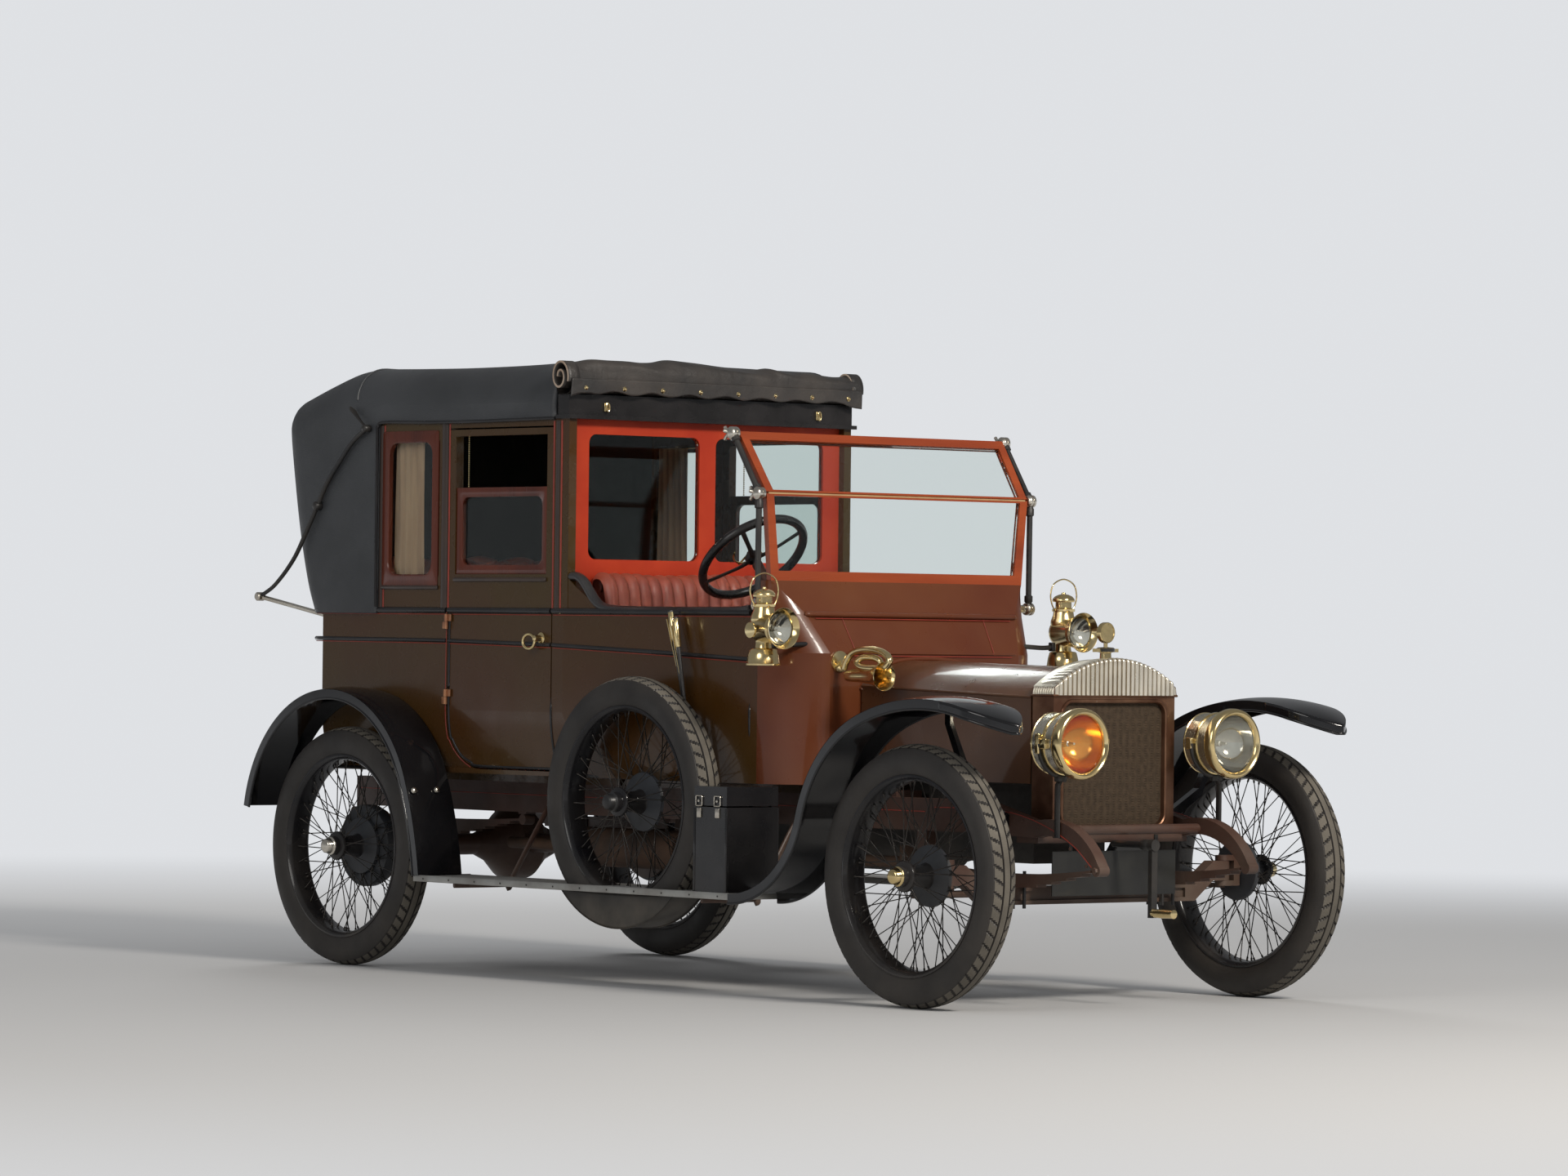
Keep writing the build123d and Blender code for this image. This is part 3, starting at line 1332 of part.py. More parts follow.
# Where each pair of knuckles starts: the box's own one, then the lid's
lid_hinge_xs = (box_rear_x + 20, box_front_x - 50)
with BuildPart() as toolbox:
    slab((box_rear_x, box_front_x), (-box_outer, -box_inner), (board_top, box_seam))
    slab((box_rear_x + box_wall, box_front_x - box_wall), (box_wall - box_outer, -box_inner - box_wall),
         (board_top + box_wall, box_seam + 1), Mode.SUBTRACT)
    for start_x in lid_hinge_xs:
        bar((start_x, lid_axis_y, lid_axis_z), (start_x + lid_knuckle, lid_axis_y, lid_axis_z), lid_barrel)
        slab((start_x, start_x + lid_knuckle), (-box_inner, -box_inner + 4),
             (box_seam - 30, lid_axis_z - 5))
        slab((start_x, start_x + lid_knuckle), (-box_inner + 1, lid_axis_y + 2),
             (lid_axis_z - 8, lid_axis_z))
toolbox.part.label = "toolbox"
export_step(toolbox.part, "parts/toolbox.step")
with BuildPart() as lid:
    slab((box_rear_x, box_front_x), (-box_outer, -box_inner), (lid_low, box_top))
    slab((box_rear_x + box_wall, box_front_x - box_wall), (box_wall - box_outer, -box_inner - box_wall),
         (lid_low - 1, box_top - box_wall), Mode.SUBTRACT)
    for start_x in lid_hinge_xs:
        edge = start_x + lid_knuckle + fit_gap
        # The lid's back is notched behind the box's own leaf
        slab((start_x - 2, start_x + lid_knuckle + 2), (-box_inner - 1, -box_inner + 1),
             (lid_low - 1, box_top - 3), Mode.SUBTRACT)
        bar((edge, lid_axis_y, lid_axis_z), (edge + lid_knuckle, lid_axis_y, lid_axis_z), lid_barrel)
        slab((edge, edge + lid_knuckle), (-box_inner - 1, lid_axis_y), (lid_axis_z, lid_axis_z + lid_barrel))
lid.part.label = "toolbox_lid"
export_step(lid.part, "parts/toolbox_lid.step")

# Headlamps: turned bodies with open bowls, each in a fork on a flat lamp iron
with BuildPart() as headlamps:
    back_x = lamp_x - lamp_depth
    with BuildSketch(side_plane(lamp_y)):
        with BuildLine():
            Polyline(
                (back_x, lamp_z), (back_x + 2, lamp_z + 40), (back_x + 34, lamp_z + lamp_drum_radius),
                (lamp_x - 38, lamp_z + lamp_drum_radius), (lamp_x - 34, lamp_z + lamp_rim_radius),
                (lamp_x - 8, lamp_z + lamp_rim_radius), (lamp_x, lamp_z + lamp_rim_radius - 8),
                (lamp_x, lamp_z + lamp_bowl_radius), (lamp_x - 28, lamp_z + lamp_bowl_radius),
                (lamp_x - 108, lamp_z + 22),
                (lamp_x - 108, lamp_z), close=True,
            )
        make_face()
    revolve(axis=Axis((0, lamp_y, lamp_z), (1, 0, 0)))
    fork_x = lamp_x - 118
    with BuildSketch(Plane.YZ.offset(fork_x)):
        with Locations((lamp_y, lamp_z)):
            Circle(lamp_drum_radius + 12)
            Circle(lamp_drum_radius + 3, mode=Mode.SUBTRACT)
        with Locations((lamp_y, lamp_z + 100)):
            Rectangle(400, 200, mode=Mode.SUBTRACT)
    extrude(amount=24)
    bar((fork_x + 12, lamp_y - lamp_drum_radius - 14, lamp_z),
        (fork_x + 12, lamp_y + lamp_drum_radius + 14, lamp_z), 9)
    slab((fork_x - 2, fork_x + 26), (lamp_y - 16, stay_foot_y + 12),
         (lamp_z - lamp_drum_radius - 26, lamp_z - lamp_drum_radius - 8))
    slab((fork_x - 2, fork_x + 26), (stay_foot_y, stay_foot_y + 12),
         (rail_bottom - 8, lamp_z - lamp_drum_radius - 8))
    mirror(about=Plane.XZ)
headlamps.part.label = "headlamps"
export_step(headlamps.part, "parts/headlamps.step")

# Side lamps: oil lamps with a stepped chimney, a lens drum in front, a bail and an arm to the cowl
oil_x = rear_axle_x + 2280
oil_y = 700
oil_steps = [
    (0, 1130), (44, 1130), (38, 1165), (20, 1172), (20, 1186), (52, 1196), (58, 1215), (58, 1290),
    (40, 1305), (34, 1312), (34, 1335), (28, 1345), (30, 1362), (22, 1385), (8, 1402), (0, 1402),
]
oil_lens_z = 1258
oil_lens_radius = 52
oil_lens_x = oil_x + 94
with BuildPart() as side_lamps:
    with BuildSketch(side_plane(oil_y)):
        with BuildLine():
            Polyline(*[(oil_x + r, z) for r, z in oil_steps], close=True)
        make_face()
    revolve(axis=Axis((oil_x, oil_y, 0), (0, 0, 1)))
    bar((oil_x, oil_y, oil_lens_z), (oil_lens_x - 18, oil_y, oil_lens_z), 54)
    bar((oil_lens_x - 20, oil_y, oil_lens_z), (oil_lens_x, oil_y, oil_lens_z), 66)
    bar((oil_lens_x - 16, oil_y, oil_lens_z), (oil_lens_x + 1, oil_y, oil_lens_z), oil_lens_radius,
        Mode.SUBTRACT)
    with BuildSketch(Plane.YZ.offset(oil_x - 2.5)):
        with Locations((oil_y, 1408)):
            Circle(41)
            Circle(36, mode=Mode.SUBTRACT)
        with Locations((oil_y, 1348)):
            Rectangle(100, 120, mode=Mode.SUBTRACT)
        with Locations((oil_y - 38.5, 1377), (oil_y + 38.5, 1377)):
            Rectangle(5, 64)
    extrude(amount=5)
    bar((oil_x, oil_y - 41, 1350), (oil_x, oil_y + 41, 1350), 3)
    bar((oil_x, 478, 1205), (oil_x, oil_y - 50, 1205), 8)
    add(scuttle_form, mode=Mode.SUBTRACT)
    mirror(about=Plane.XZ)
side_lamps.part.label = "side_lamps"
export_step(side_lamps.part, "parts/side_lamps.step")

with BuildPart() as lenses:
    bar((lamp_x - 20, lamp_y, lamp_z), (lamp_x - 14, lamp_y, lamp_z), lamp_bowl_radius - fit_gap)
    bar((oil_lens_x - 8, oil_y, oil_lens_z), (oil_lens_x - 4, oil_y, oil_lens_z), oil_lens_radius - fit_gap)
    mirror(about=Plane.XZ)
lenses.part.label = "lamp_glass"
export_step(lenses.part, "parts/lamp_glass.step")

# Bugle horn on a bracket at the dash's right corner
horn_y = -412
horn_z = 1102
horn_x = dash_x + 62
horn_mouth_x = dash_x + 318
with BuildPart() as horn:
    bar((dash_x, -400, 1147), (dash_x + 6, -400, 1147), 30)
    bar((dash_x + 6, -400, 1142), (horn_x + 12, horn_y, horn_z + 8), 9)
    slab((dash_x - 20, dash_x), (-450, -350), (1100, 1180), Mode.SUBTRACT)
    with BuildSketch(side_plane(horn_y)):
        with BuildLine():
            Line((horn_x, horn_z), (horn_x, horn_z + 12))
            Polyline((horn_x, horn_z + 12), (horn_mouth_x - 130, horn_z + 13),
                     (horn_mouth_x - 45, horn_z + 22), (horn_mouth_x - 14, horn_z + 33),
                     (horn_mouth_x, horn_z + 43), (horn_mouth_x, horn_z + 39),
                     (horn_mouth_x - 40, horn_z + 18), (horn_mouth_x - 100, horn_z + 10),
                     (horn_mouth_x - 100, horn_z), (horn_x, horn_z))
        make_face()
    revolve(axis=Axis((0, horn_y, horn_z), (1, 0, 0)))
    # The bugle's loop stands above its tube
    loop_x = horn_x + 62
    loop_z = horn_z + 38
    with BuildSketch(side_plane(horn_y)) as loop_section:
        with Locations((loop_x, loop_z + 36)):
            RegularPolygon(10, 6)
    revolve(loop_section.sketch, axis=Axis((loop_x, horn_y, loop_z), (0, 1, 0)))
horn.part.label = "horn"
export_step(horn.part, "parts/horn.step")

# Number plate, bare, and the starting handle, both at the member under the radiator
plate_half = 285
plate_low = 370
plate_high = 520
with BuildPart() as plate:
    slab((radiator_x + 4, radiator_x + 8), (-plate_half, plate_half), (plate_low, plate_high))
    for side in (1, -1):
        y_range = sorted((side * 190, side * 206))
        slab((radiator_x, radiator_x + 4), y_range, (plate_low + 20, radiator_bottom - 5))
plate.part.label = "number_plate"
export_step(plate.part, "parts/number_plate.step")
handle_z = 544
handle_x = radiator_x + 205
with BuildPart() as handle:
    bar((radiator_x + fit_gap, 0, handle_z), (handle_x, 0, handle_z), 11)
    slab((handle_x - 18, handle_x), (-13, 13), (300, handle_z + 14))
    bar((handle_x - 2, 0, 316), (handle_x + 96, 0, 316), 14)
handle.part.label = "starting_handle"
export_step(handle.part, "parts/starting_handle.step")

# Hand levers outside the body, on a cross shaft from the right rail
lever_foot = (rear_axle_x + 1905, 600)
lever_y = -front_half - 62
lever_spread = 18
with BuildPart() as levers:
    # y, top's X, top's height
    for y, top_x, top_z in ((lever_y, rear_axle_x + 1726, 1316),
                            (lever_y - lever_spread, rear_axle_x + 1776, 1294)):
        foot_point = Vector(lever_foot[0], y, lever_foot[1])
        tip = Vector(top_x, y, top_z)
        bar(foot_point, tip, 7)
        bar(tip + (foot_point - tip) * 0.14, tip, 10)
    bar((lever_foot[0], lever_y - lever_spread - 10, lever_foot[1]),
        (lever_foot[0], -stay_foot_y, lever_foot[1]), 14)
levers.part.label = "hand_levers"
export_step(levers.part, "parts/hand_levers.step")

# Steering column with its box on the right rail, and the steering wheel in its bore
spindle_radius = 10
spindle_length = 120
with BuildPart() as column:
    bar(column_top + column_dir * 34, box_joint, column_radius)
    slab((rear_axle_x + 2435, rear_axle_x + 2550), (-rail_y + rail_width / 2, -205), (598, 706))
    bar(column_top, column_top + column_dir * (spindle_length + 3), spindle_radius + run_gap,
        Mode.SUBTRACT)
column.part.label = "steering_column"
export_step(column.part, "parts/steering_column.step")
helm_plane = Plane(origin=column_top, x_dir=(0, 1, 0), z_dir=column_dir * -1)
with BuildPart() as flat_helm:
    with BuildSketch(Plane.XZ):
        with Locations((helm_radius, 0)):
            RegularPolygon(helm_grip, 8)
    revolve(axis=Axis.Z)
    for k in range(4):
        with Locations(Location((0, 0, 0), (0, 0, 45 + 90 * k))):
            with Locations((helm_radius / 2 + 5, 0, 0)):
                Box(helm_radius - 6, 17, 7)
    Cylinder(27, 26)
    with Locations((0, 0, -spindle_length / 2)):
        Cylinder(spindle_radius, spindle_length)
with BuildPart() as helm:
    add(flat_helm.part.moved(Location(helm_plane)))
helm.part.label = "steering_wheel"
export_step(helm.part, "parts/steering_wheel.step")

# Irons: the hood's side irons and the windscreen's stays, all round black bar
iron_y = hood_half + 18
iron_radius = 8
joint_x = rear_axle_x - rear_reach + 15
hood_pin = (rear_axle_x - 30, 1985)
hood_knee = (rear_axle_x - 330, 1700)
hood_foot = (joint_x, 1360)
with BuildPart() as irons:
    with BuildLine(side_plane(iron_y)) as path:
        Polyline(hood_pin, (rear_axle_x - 195, 1862), (rear_axle_x - 272, 1784), hood_knee,
                 (rear_axle_x - 388, 1618), (rear_axle_x - 476, 1502), (rear_axle_x - 592, 1406), hood_foot)
    with BuildSketch(Plane(origin=path.line @ 0, z_dir=path.line % 0)) as section:
        RegularPolygon(iron_radius, 8)
    sweep(section.sketch, path=path.line, transition=Transition.RIGHT)
    for (x, z), radius in ((hood_pin, 13), (hood_knee, 15), (hood_foot, 15)):
        bar((x, iron_y - 13, z), (x, iron_y + 13, z), radius)
    bar((hood_pin[0], hood_half + fit_gap, hood_pin[1]), (hood_pin[0], iron_y, hood_pin[1]), 11)
    bar((hood_pin[0], iron_y, hood_pin[1]), (hood_pin[0] - 100, iron_y, hood_pin[1] + 78), 5)
    bar((hood_foot[0], iron_y, hood_foot[1]), (rear_axle_x - 400, 560, 1284), 8)
    add(outer_form, mode=Mode.SUBTRACT)
    add(hood_form(0, 0, hood_front_x), mode=Mode.SUBTRACT)
    stay_y = 634
    joints = [(screen_x - 14, screen_base - 85), (screen_x - 12, hinge_z),
              (screen_top_x - 12, screen_top_z)]
    for low, high in zip(joints, joints[1:]):
        bar((low[0], stay_y, low[1]), (high[0], stay_y, high[1]), 9)
    for x, z in joints[1:]:
        bar((x, stay_y - 15, z), (x, stay_y + 15, z), 16)
    bar((joints[0][0], 540, joints[0][1]), (joints[0][0], stay_y + 6, joints[0][1]), 12)
    add(scuttle_form, mode=Mode.SUBTRACT)
    add(windscreen.part, mode=Mode.SUBTRACT)
    mirror(about=Plane.XZ)
irons.part.label = "body_irons"
export_step(irons.part, "parts/body_irons.step")
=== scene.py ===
from math import cos, pi, radians, sin

import bmesh
import bpy
import numpy as np
from mathutils import Matrix, Vector


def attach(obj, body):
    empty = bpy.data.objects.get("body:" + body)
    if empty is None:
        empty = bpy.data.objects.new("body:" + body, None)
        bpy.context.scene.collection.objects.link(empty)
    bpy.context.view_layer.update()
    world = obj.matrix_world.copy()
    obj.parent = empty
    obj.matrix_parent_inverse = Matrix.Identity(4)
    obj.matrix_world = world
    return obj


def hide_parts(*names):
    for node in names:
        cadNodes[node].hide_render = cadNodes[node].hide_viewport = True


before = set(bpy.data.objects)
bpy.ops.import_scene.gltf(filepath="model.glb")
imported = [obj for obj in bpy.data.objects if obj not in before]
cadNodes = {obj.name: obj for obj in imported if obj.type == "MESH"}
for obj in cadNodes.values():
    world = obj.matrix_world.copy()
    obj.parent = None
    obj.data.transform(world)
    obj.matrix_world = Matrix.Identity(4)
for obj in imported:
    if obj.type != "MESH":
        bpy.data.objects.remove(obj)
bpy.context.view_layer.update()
print("frame loaded,", len(cadNodes), "nodes")

# Places below are given ahead of the rear axle, in metres; the row frame's origin lies this far ahead of it
axleToOrigin = 1.4675
wheelbase = 3.17
wheelSide = 0.764
tyreRadius = 0.44
spareAt = (1.650, -0.760, 0.646)
xAxis, yAxis, zAxis = (1, 0, 0), (0, 1, 0), (0, 0, 1)
bothSides = ((1, "left"), (-1, "right"))


def ahead(x):
    return np.asarray(x, float) - axleToOrigin


def at(x, y, z):
    return np.array((float(ahead(x)), y, z))


def spread(x, y, z):
    # Corners from three coordinates that are stretched over each other
    return np.stack(np.broadcast_arrays(ahead(x), y, z), -1)


def feed(tree, socket, value):
    # Another node's output is linked, a number or a colour is set
    if hasattr(value, "is_output"):
        tree.links.new(value, socket)
    else:
        socket.default_value = value


def newNode(tree, kind, inputs=None, **settings):
    node = tree.nodes.new(kind)
    for key, value in settings.items():
        setattr(node, key, value)
    for key, value in (inputs or {}).items():
        feed(tree, node.inputs[key], value)
    return node


def newObject(name, data):
    obj = bpy.data.objects.new(name, data)
    bpy.context.scene.collection.objects.link(obj)
    return obj


# Scene: camera, floor and soft light
shot = {
    "place": (17.73653, -14.95858, 1.22039),
    "azimuth": 49.7104,
    "elevation": -0.4594,
    "roll": 0.6925,
    "lens": 147.9,
}


def buildCamera():
    az, el, roll = (radians(shot[key]) for key in ("azimuth", "elevation", "roll"))
    forward = Vector((-sin(az) * cos(el), cos(az) * cos(el), -sin(el)))
    level = forward.cross(Vector(zAxis)).normalized()
    upright = level.cross(forward)
    right = level * cos(roll) + upright * sin(roll)
    up = upright * cos(roll) - level * sin(roll)
    data = bpy.data.cameras.new("camera")
    data.lens = shot["lens"]
    data.sensor_width = 36.0
    data.sensor_fit = "HORIZONTAL"
    data.clip_end = 200.0
    camera = newObject("camera", data)
    camera.matrix_world = Matrix((right, up, -forward)).transposed().to_4x4()
    camera.matrix_world.translation = Vector(shot["place"])
    bpy.context.scene.camera = camera


studio = {
    "floorColour": (0.46, 0.46, 0.46),
    "skyColour": (0.74, 0.755, 0.78),
    "skyLight": 0.55,
    "skyInGloss": 0.26,
    # The floor's own colour holds this far from the car, and has turned into the sky's at the second distance
    "floorFade": (5.0, 13.0),
    "floorHalf": 70.0,
    # name, place, aims at, size, power, colour
    "lamps": [
        ("key", (11.0, -0.5, 8.0), (0.6, 0, 0.9), 2.6, 1250, (1.0, 0.94, 0.86)),
        ("fill", (4.0, -12.0, 6.0), (0, 0, 0.9), 6.0, 330, (1.0, 0.98, 0.94)),
        ("rear", (-8.5, 5.0, 6.5), (0, 0, 1.0), 4.0, 420, (1.0, 1.0, 1.0)),
    ],
}


def buildStudio():
    world = bpy.data.worlds.new("studio")
    bpy.context.scene.world = world
    world.use_nodes = True
    tree = world.node_tree
    tree.nodes.clear()
    sky = (*studio["skyColour"], 1)
    path = newNode(tree, "ShaderNodeLightPath").outputs
    seen = newNode(tree, "ShaderNodeBackground", {"Color": sky, "Strength": 1.0})
    gloss = newNode(tree, "ShaderNodeMapRange", {"Value": path["Is Glossy Ray"], "To Min": studio["skyLight"],
                                                 "To Max": studio["skyInGloss"]})
    light = newNode(tree, "ShaderNodeBackground", {"Color": sky, "Strength": gloss.outputs[0]})
    either = newNode(tree, "ShaderNodeMath", {0: path["Is Camera Ray"], 1: path["Is Transmission Ray"]},
                     operation="MAXIMUM")
    mix = newNode(tree, "ShaderNodeMixShader", {0: either.outputs[0], 1: light.outputs[0], 2: seen.outputs[0]})
    newNode(tree, "ShaderNodeOutputWorld", {0: mix.outputs[0]})
    for name, place, aim, size, power, colour in studio["lamps"]:
        data = bpy.data.lights.new(name, "AREA")
        data.shape = "DISK"
        data.size = size
        data.energy = power
        data.color = colour
        lamp = newObject(name, data)
        lamp.location = place
        lamp.visible_glossy = name != "rear"
        lamp.rotation_euler = (Vector(aim) - Vector(place)).to_track_quat("-Z", "Y").to_euler()
    half = studio["floorHalf"]
    mesh = bpy.data.meshes.new("floor")
    mesh.from_pydata([(-half, -half, 0), (half, -half, 0), (half, half, 0), (-half, half, 0)], [], [(0, 1, 2, 3)])
    pale = bpy.data.materials.new("floor")
    pale.use_nodes = True
    tree = pale.node_tree
    shader = tree.nodes["Principled BSDF"]
    shader.inputs["Base Color"].default_value = (*studio["floorColour"], 1)
    shader.inputs["Roughness"].default_value = 0.9
    glow = newNode(tree, "ShaderNodeEmission", {"Color": sky})
    place = newNode(tree, "ShaderNodeTexCoord").outputs["Object"]
    reach = newNode(tree, "ShaderNodeVectorMath", {0: place}, operation="LENGTH").outputs["Value"]
    near, far = studio["floorFade"]
    fade = newNode(tree, "ShaderNodeMapRange", {"Value": reach, "From Min": near, "From Max": far},
                   interpolation_type="SMOOTHSTEP")
    blend = newNode(tree, "ShaderNodeMixShader", {0: fade.outputs[0], 1: shader.outputs[0], 2: glow.outputs[0]})
    tree.links.new(blend.outputs[0], tree.nodes["Material Output"].inputs["Surface"])
    mesh.materials.append(pale)
    newObject("floor", mesh)


buildCamera()
buildStudio()
bpy.context.scene.view_settings.view_transform = "Standard"
print("camera and studio built")


# Shapes: every helper below gives (corners, faces) from whole arrays
def gridSurface(points, wrapRows=False, wrapCols=False):
    # Each point is joined to the next one along its row and along its column
    rows, cols = points.shape[:2]
    i = np.arange(rows if wrapRows else rows - 1)[:, None]
    j = np.arange(cols if wrapCols else cols - 1)[None, :]
    corners = [((i + a) % rows) * cols + (j + b) % cols for a, b in ((0, 0), (1, 0), (1, 1), (0, 1))]
    return points.reshape(-1, 3), np.stack(corners, -1).reshape(-1, 4)


def joined(parts):
    shift = np.cumsum([0] + [len(points) for points, faces in parts[:-1]])
    return (np.vstack([points for points, faces in parts]),
            np.vstack([faces + start for (points, faces), start in zip(parts, shift)]))


def unit(v):
    return v / np.maximum(np.linalg.norm(v, axis=-1, keepdims=True), 1e-12)


def curveThrough(points, count):
    # Catmull-Rom: p(t) = (2b + (c-a)t + (2a-5b+4c-d)t^2 + (3b-a-3c+d)t^3) / 2 between b and c
    p = np.asarray(points, float)
    p = np.vstack([2 * p[0] - p[1], p, 2 * p[-1] - p[-2]])
    t = np.linspace(0, len(p) - 3, count)
    k = np.minimum(t.astype(int), len(p) - 4)
    a, b, c, d = (p[k + n] for n in range(4))
    t = (t - k)[:, None]
    return (2 * b + (c - a) * t + (2 * a - 5 * b + 4 * c - d) * t ** 2 + (3 * b - a - 3 * c + d) * t ** 3) / 2


def alongPath(path, section, up=zAxis, closed=False, capped=True):
    # corner = path + s * side + h * lift, for each (s, h) of the section; side = tangent x up
    path = np.asarray(path, float)
    tangent = unit(np.roll(path, -1, 0) - np.roll(path, 1, 0) if closed else np.gradient(path, axis=0))
    side = unit(np.cross(tangent, up))
    lift = np.cross(side, tangent)
    section = np.asarray(section, float)
    if section.ndim == 2:
        section = np.repeat(section[None], len(path), 0)
    points = path[:, None] + section[..., :1] * side[:, None] + section[..., 1:] * lift[:, None]
    if capped and not closed:
        ends = points.mean(axis=1, keepdims=True)
        points = np.concatenate([np.repeat(ends[:1], points.shape[1], 1), points,
                                 np.repeat(ends[-1:], points.shape[1], 1)])
    return gridSurface(points, closed, True)


def ringSection(radius, sides=12, wide=1.0):
    turn = np.linspace(0, 2 * pi, sides, endpoint=False)
    return np.stack([wide * radius * np.cos(turn), radius * np.sin(turn)], -1)


def tube(path, radius, sides=12, up=zAxis, closed=False, wide=1.0):
    radius = np.broadcast_to(radius, len(path))
    section = ringSection(1.0, sides, wide)[None] * radius[:, None, None]
    return alongPath(path, section, up, closed)


def lathe(profile, centre, axis, sides=48):
    # corner = centre + h * axis + r * (cos a * e + sin a * f), for each (h, r) of the profile
    profile = np.asarray(profile, float)
    axis = unit(np.asarray(axis, float))
    e = unit(np.cross(axis, (0.31, 0.17, 0.93) if abs(axis[2]) < 0.9 else yAxis))
    f = np.cross(axis, e)
    turn = np.linspace(0, 2 * pi, sides, endpoint=False)
    around = np.cos(turn)[:, None] * e + np.sin(turn)[:, None] * f
    points = np.asarray(centre) + profile[:, None, :1] * axis + profile[:, None, 1:] * around[None]
    return gridSurface(points, False, True)


def roundedBlock(low, high, radius, rings=12):
    # corner = middle + clip(far * d, +-inner) + radius * d, for d all round a sphere
    low, high = np.minimum(low, high), np.maximum(low, high)
    lat = np.concatenate([[0.0], (np.arange(rings) + 0.5) / rings * pi, [pi]])
    lon = (np.arange(2 * rings) + 0.5) / rings * pi
    d = np.stack([np.sin(lat)[:, None] * np.cos(lon), np.sin(lat)[:, None] * np.sin(lon),
                  np.repeat(np.cos(lat)[:, None], 2 * rings, 1)], -1)
    inner = (high - low) / 2 - radius
    return gridSurface((low + high) / 2 + np.clip(1e3 * d, -inner, inner) + radius * d, False, True)


def softNoise(seed, *fields, waves=10, low=1.0, high=4.0):
    # sum of sin(k . p + phase) over a few random directions and scales, about -1 to 1
    rng = np.random.default_rng(seed)
    total = 0
    for _ in range(waves):
        k = rng.normal(size=len(fields))
        k *= rng.uniform(low, high) / np.linalg.norm(k)
        total = total + np.sin(sum(c * field for c, field in zip(k, fields)) + rng.uniform(0, 2 * pi))
    return total / waves ** 0.5 / 1.5


def piece(name, parts, mats, body="chassis", stands=(), faceMats=None, sharp=38.0):
    points, faces = joined(parts)
    mesh = bpy.data.meshes.new(name)
    mesh.from_pydata(points.tolist(), [], faces.tolist())
    for mat in mats if isinstance(mats, (list, tuple)) else [mats]:
        mesh.materials.append(paint[mat])
    if faceMats is not None:
        mesh.polygons.foreach_set("material_index", np.asarray(faceMats, np.int32))
    form = bmesh.new()
    form.from_mesh(mesh)
    bmesh.ops.remove_doubles(form, verts=form.verts, dist=2e-5)
    bmesh.ops.dissolve_degenerate(form, dist=1e-6, edges=form.edges)
    bmesh.ops.recalc_face_normals(form, faces=form.faces)
    form.to_mesh(mesh)
    form.free()
    mesh.polygons.foreach_set("use_smooth", np.ones(len(mesh.polygons), bool))
    mesh.set_sharp_from_angle(angle=radians(sharp))
    obj = newObject(name, mesh)
    if stands:
        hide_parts(*stands)
    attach(obj, body)
    return obj


def thicken(obj, thickness, **settings):
    wall = obj.modifiers.new("thickness", "SOLIDIFY")
    wall.thickness = thickness
    for key, value in settings.items():
        setattr(wall, key, value)


# Materials: a base and a second colour in blotches, worn or dusty patches, and bump, on Object coordinates
def ramped(tree, source, low, high):
    # The source's value stretched so that low gives 0 and high gives 1
    return newNode(tree, "ShaderNodeMapRange", {"Value": source, "From Min": low, "From Max": high}).outputs[0]


def noiseAt(tree, place, scale, detail=4.0, stretch=(1, 1, 1)):
    mapped = newNode(tree, "ShaderNodeMapping", {"Vector": place, "Scale": stretch})
    return newNode(tree, "ShaderNodeTexNoise",
                   {"Vector": mapped.outputs[0], "Scale": scale, "Detail": detail}).outputs["Fac"]


def mixColour(tree, factor, first, second):
    # The node has sockets of one name for every type, so they are found by both
    mix = newNode(tree, "ShaderNodeMix", data_type="RGBA")
    for key, kind, value in (("Factor", "VALUE", factor), ("A", "RGBA", first), ("B", "RGBA", second)):
        feed(tree, next(s for s in mix.inputs if (s.name, s.type) == (key, kind)), value)
    return next(s for s in mix.outputs if s.type == "RGBA")


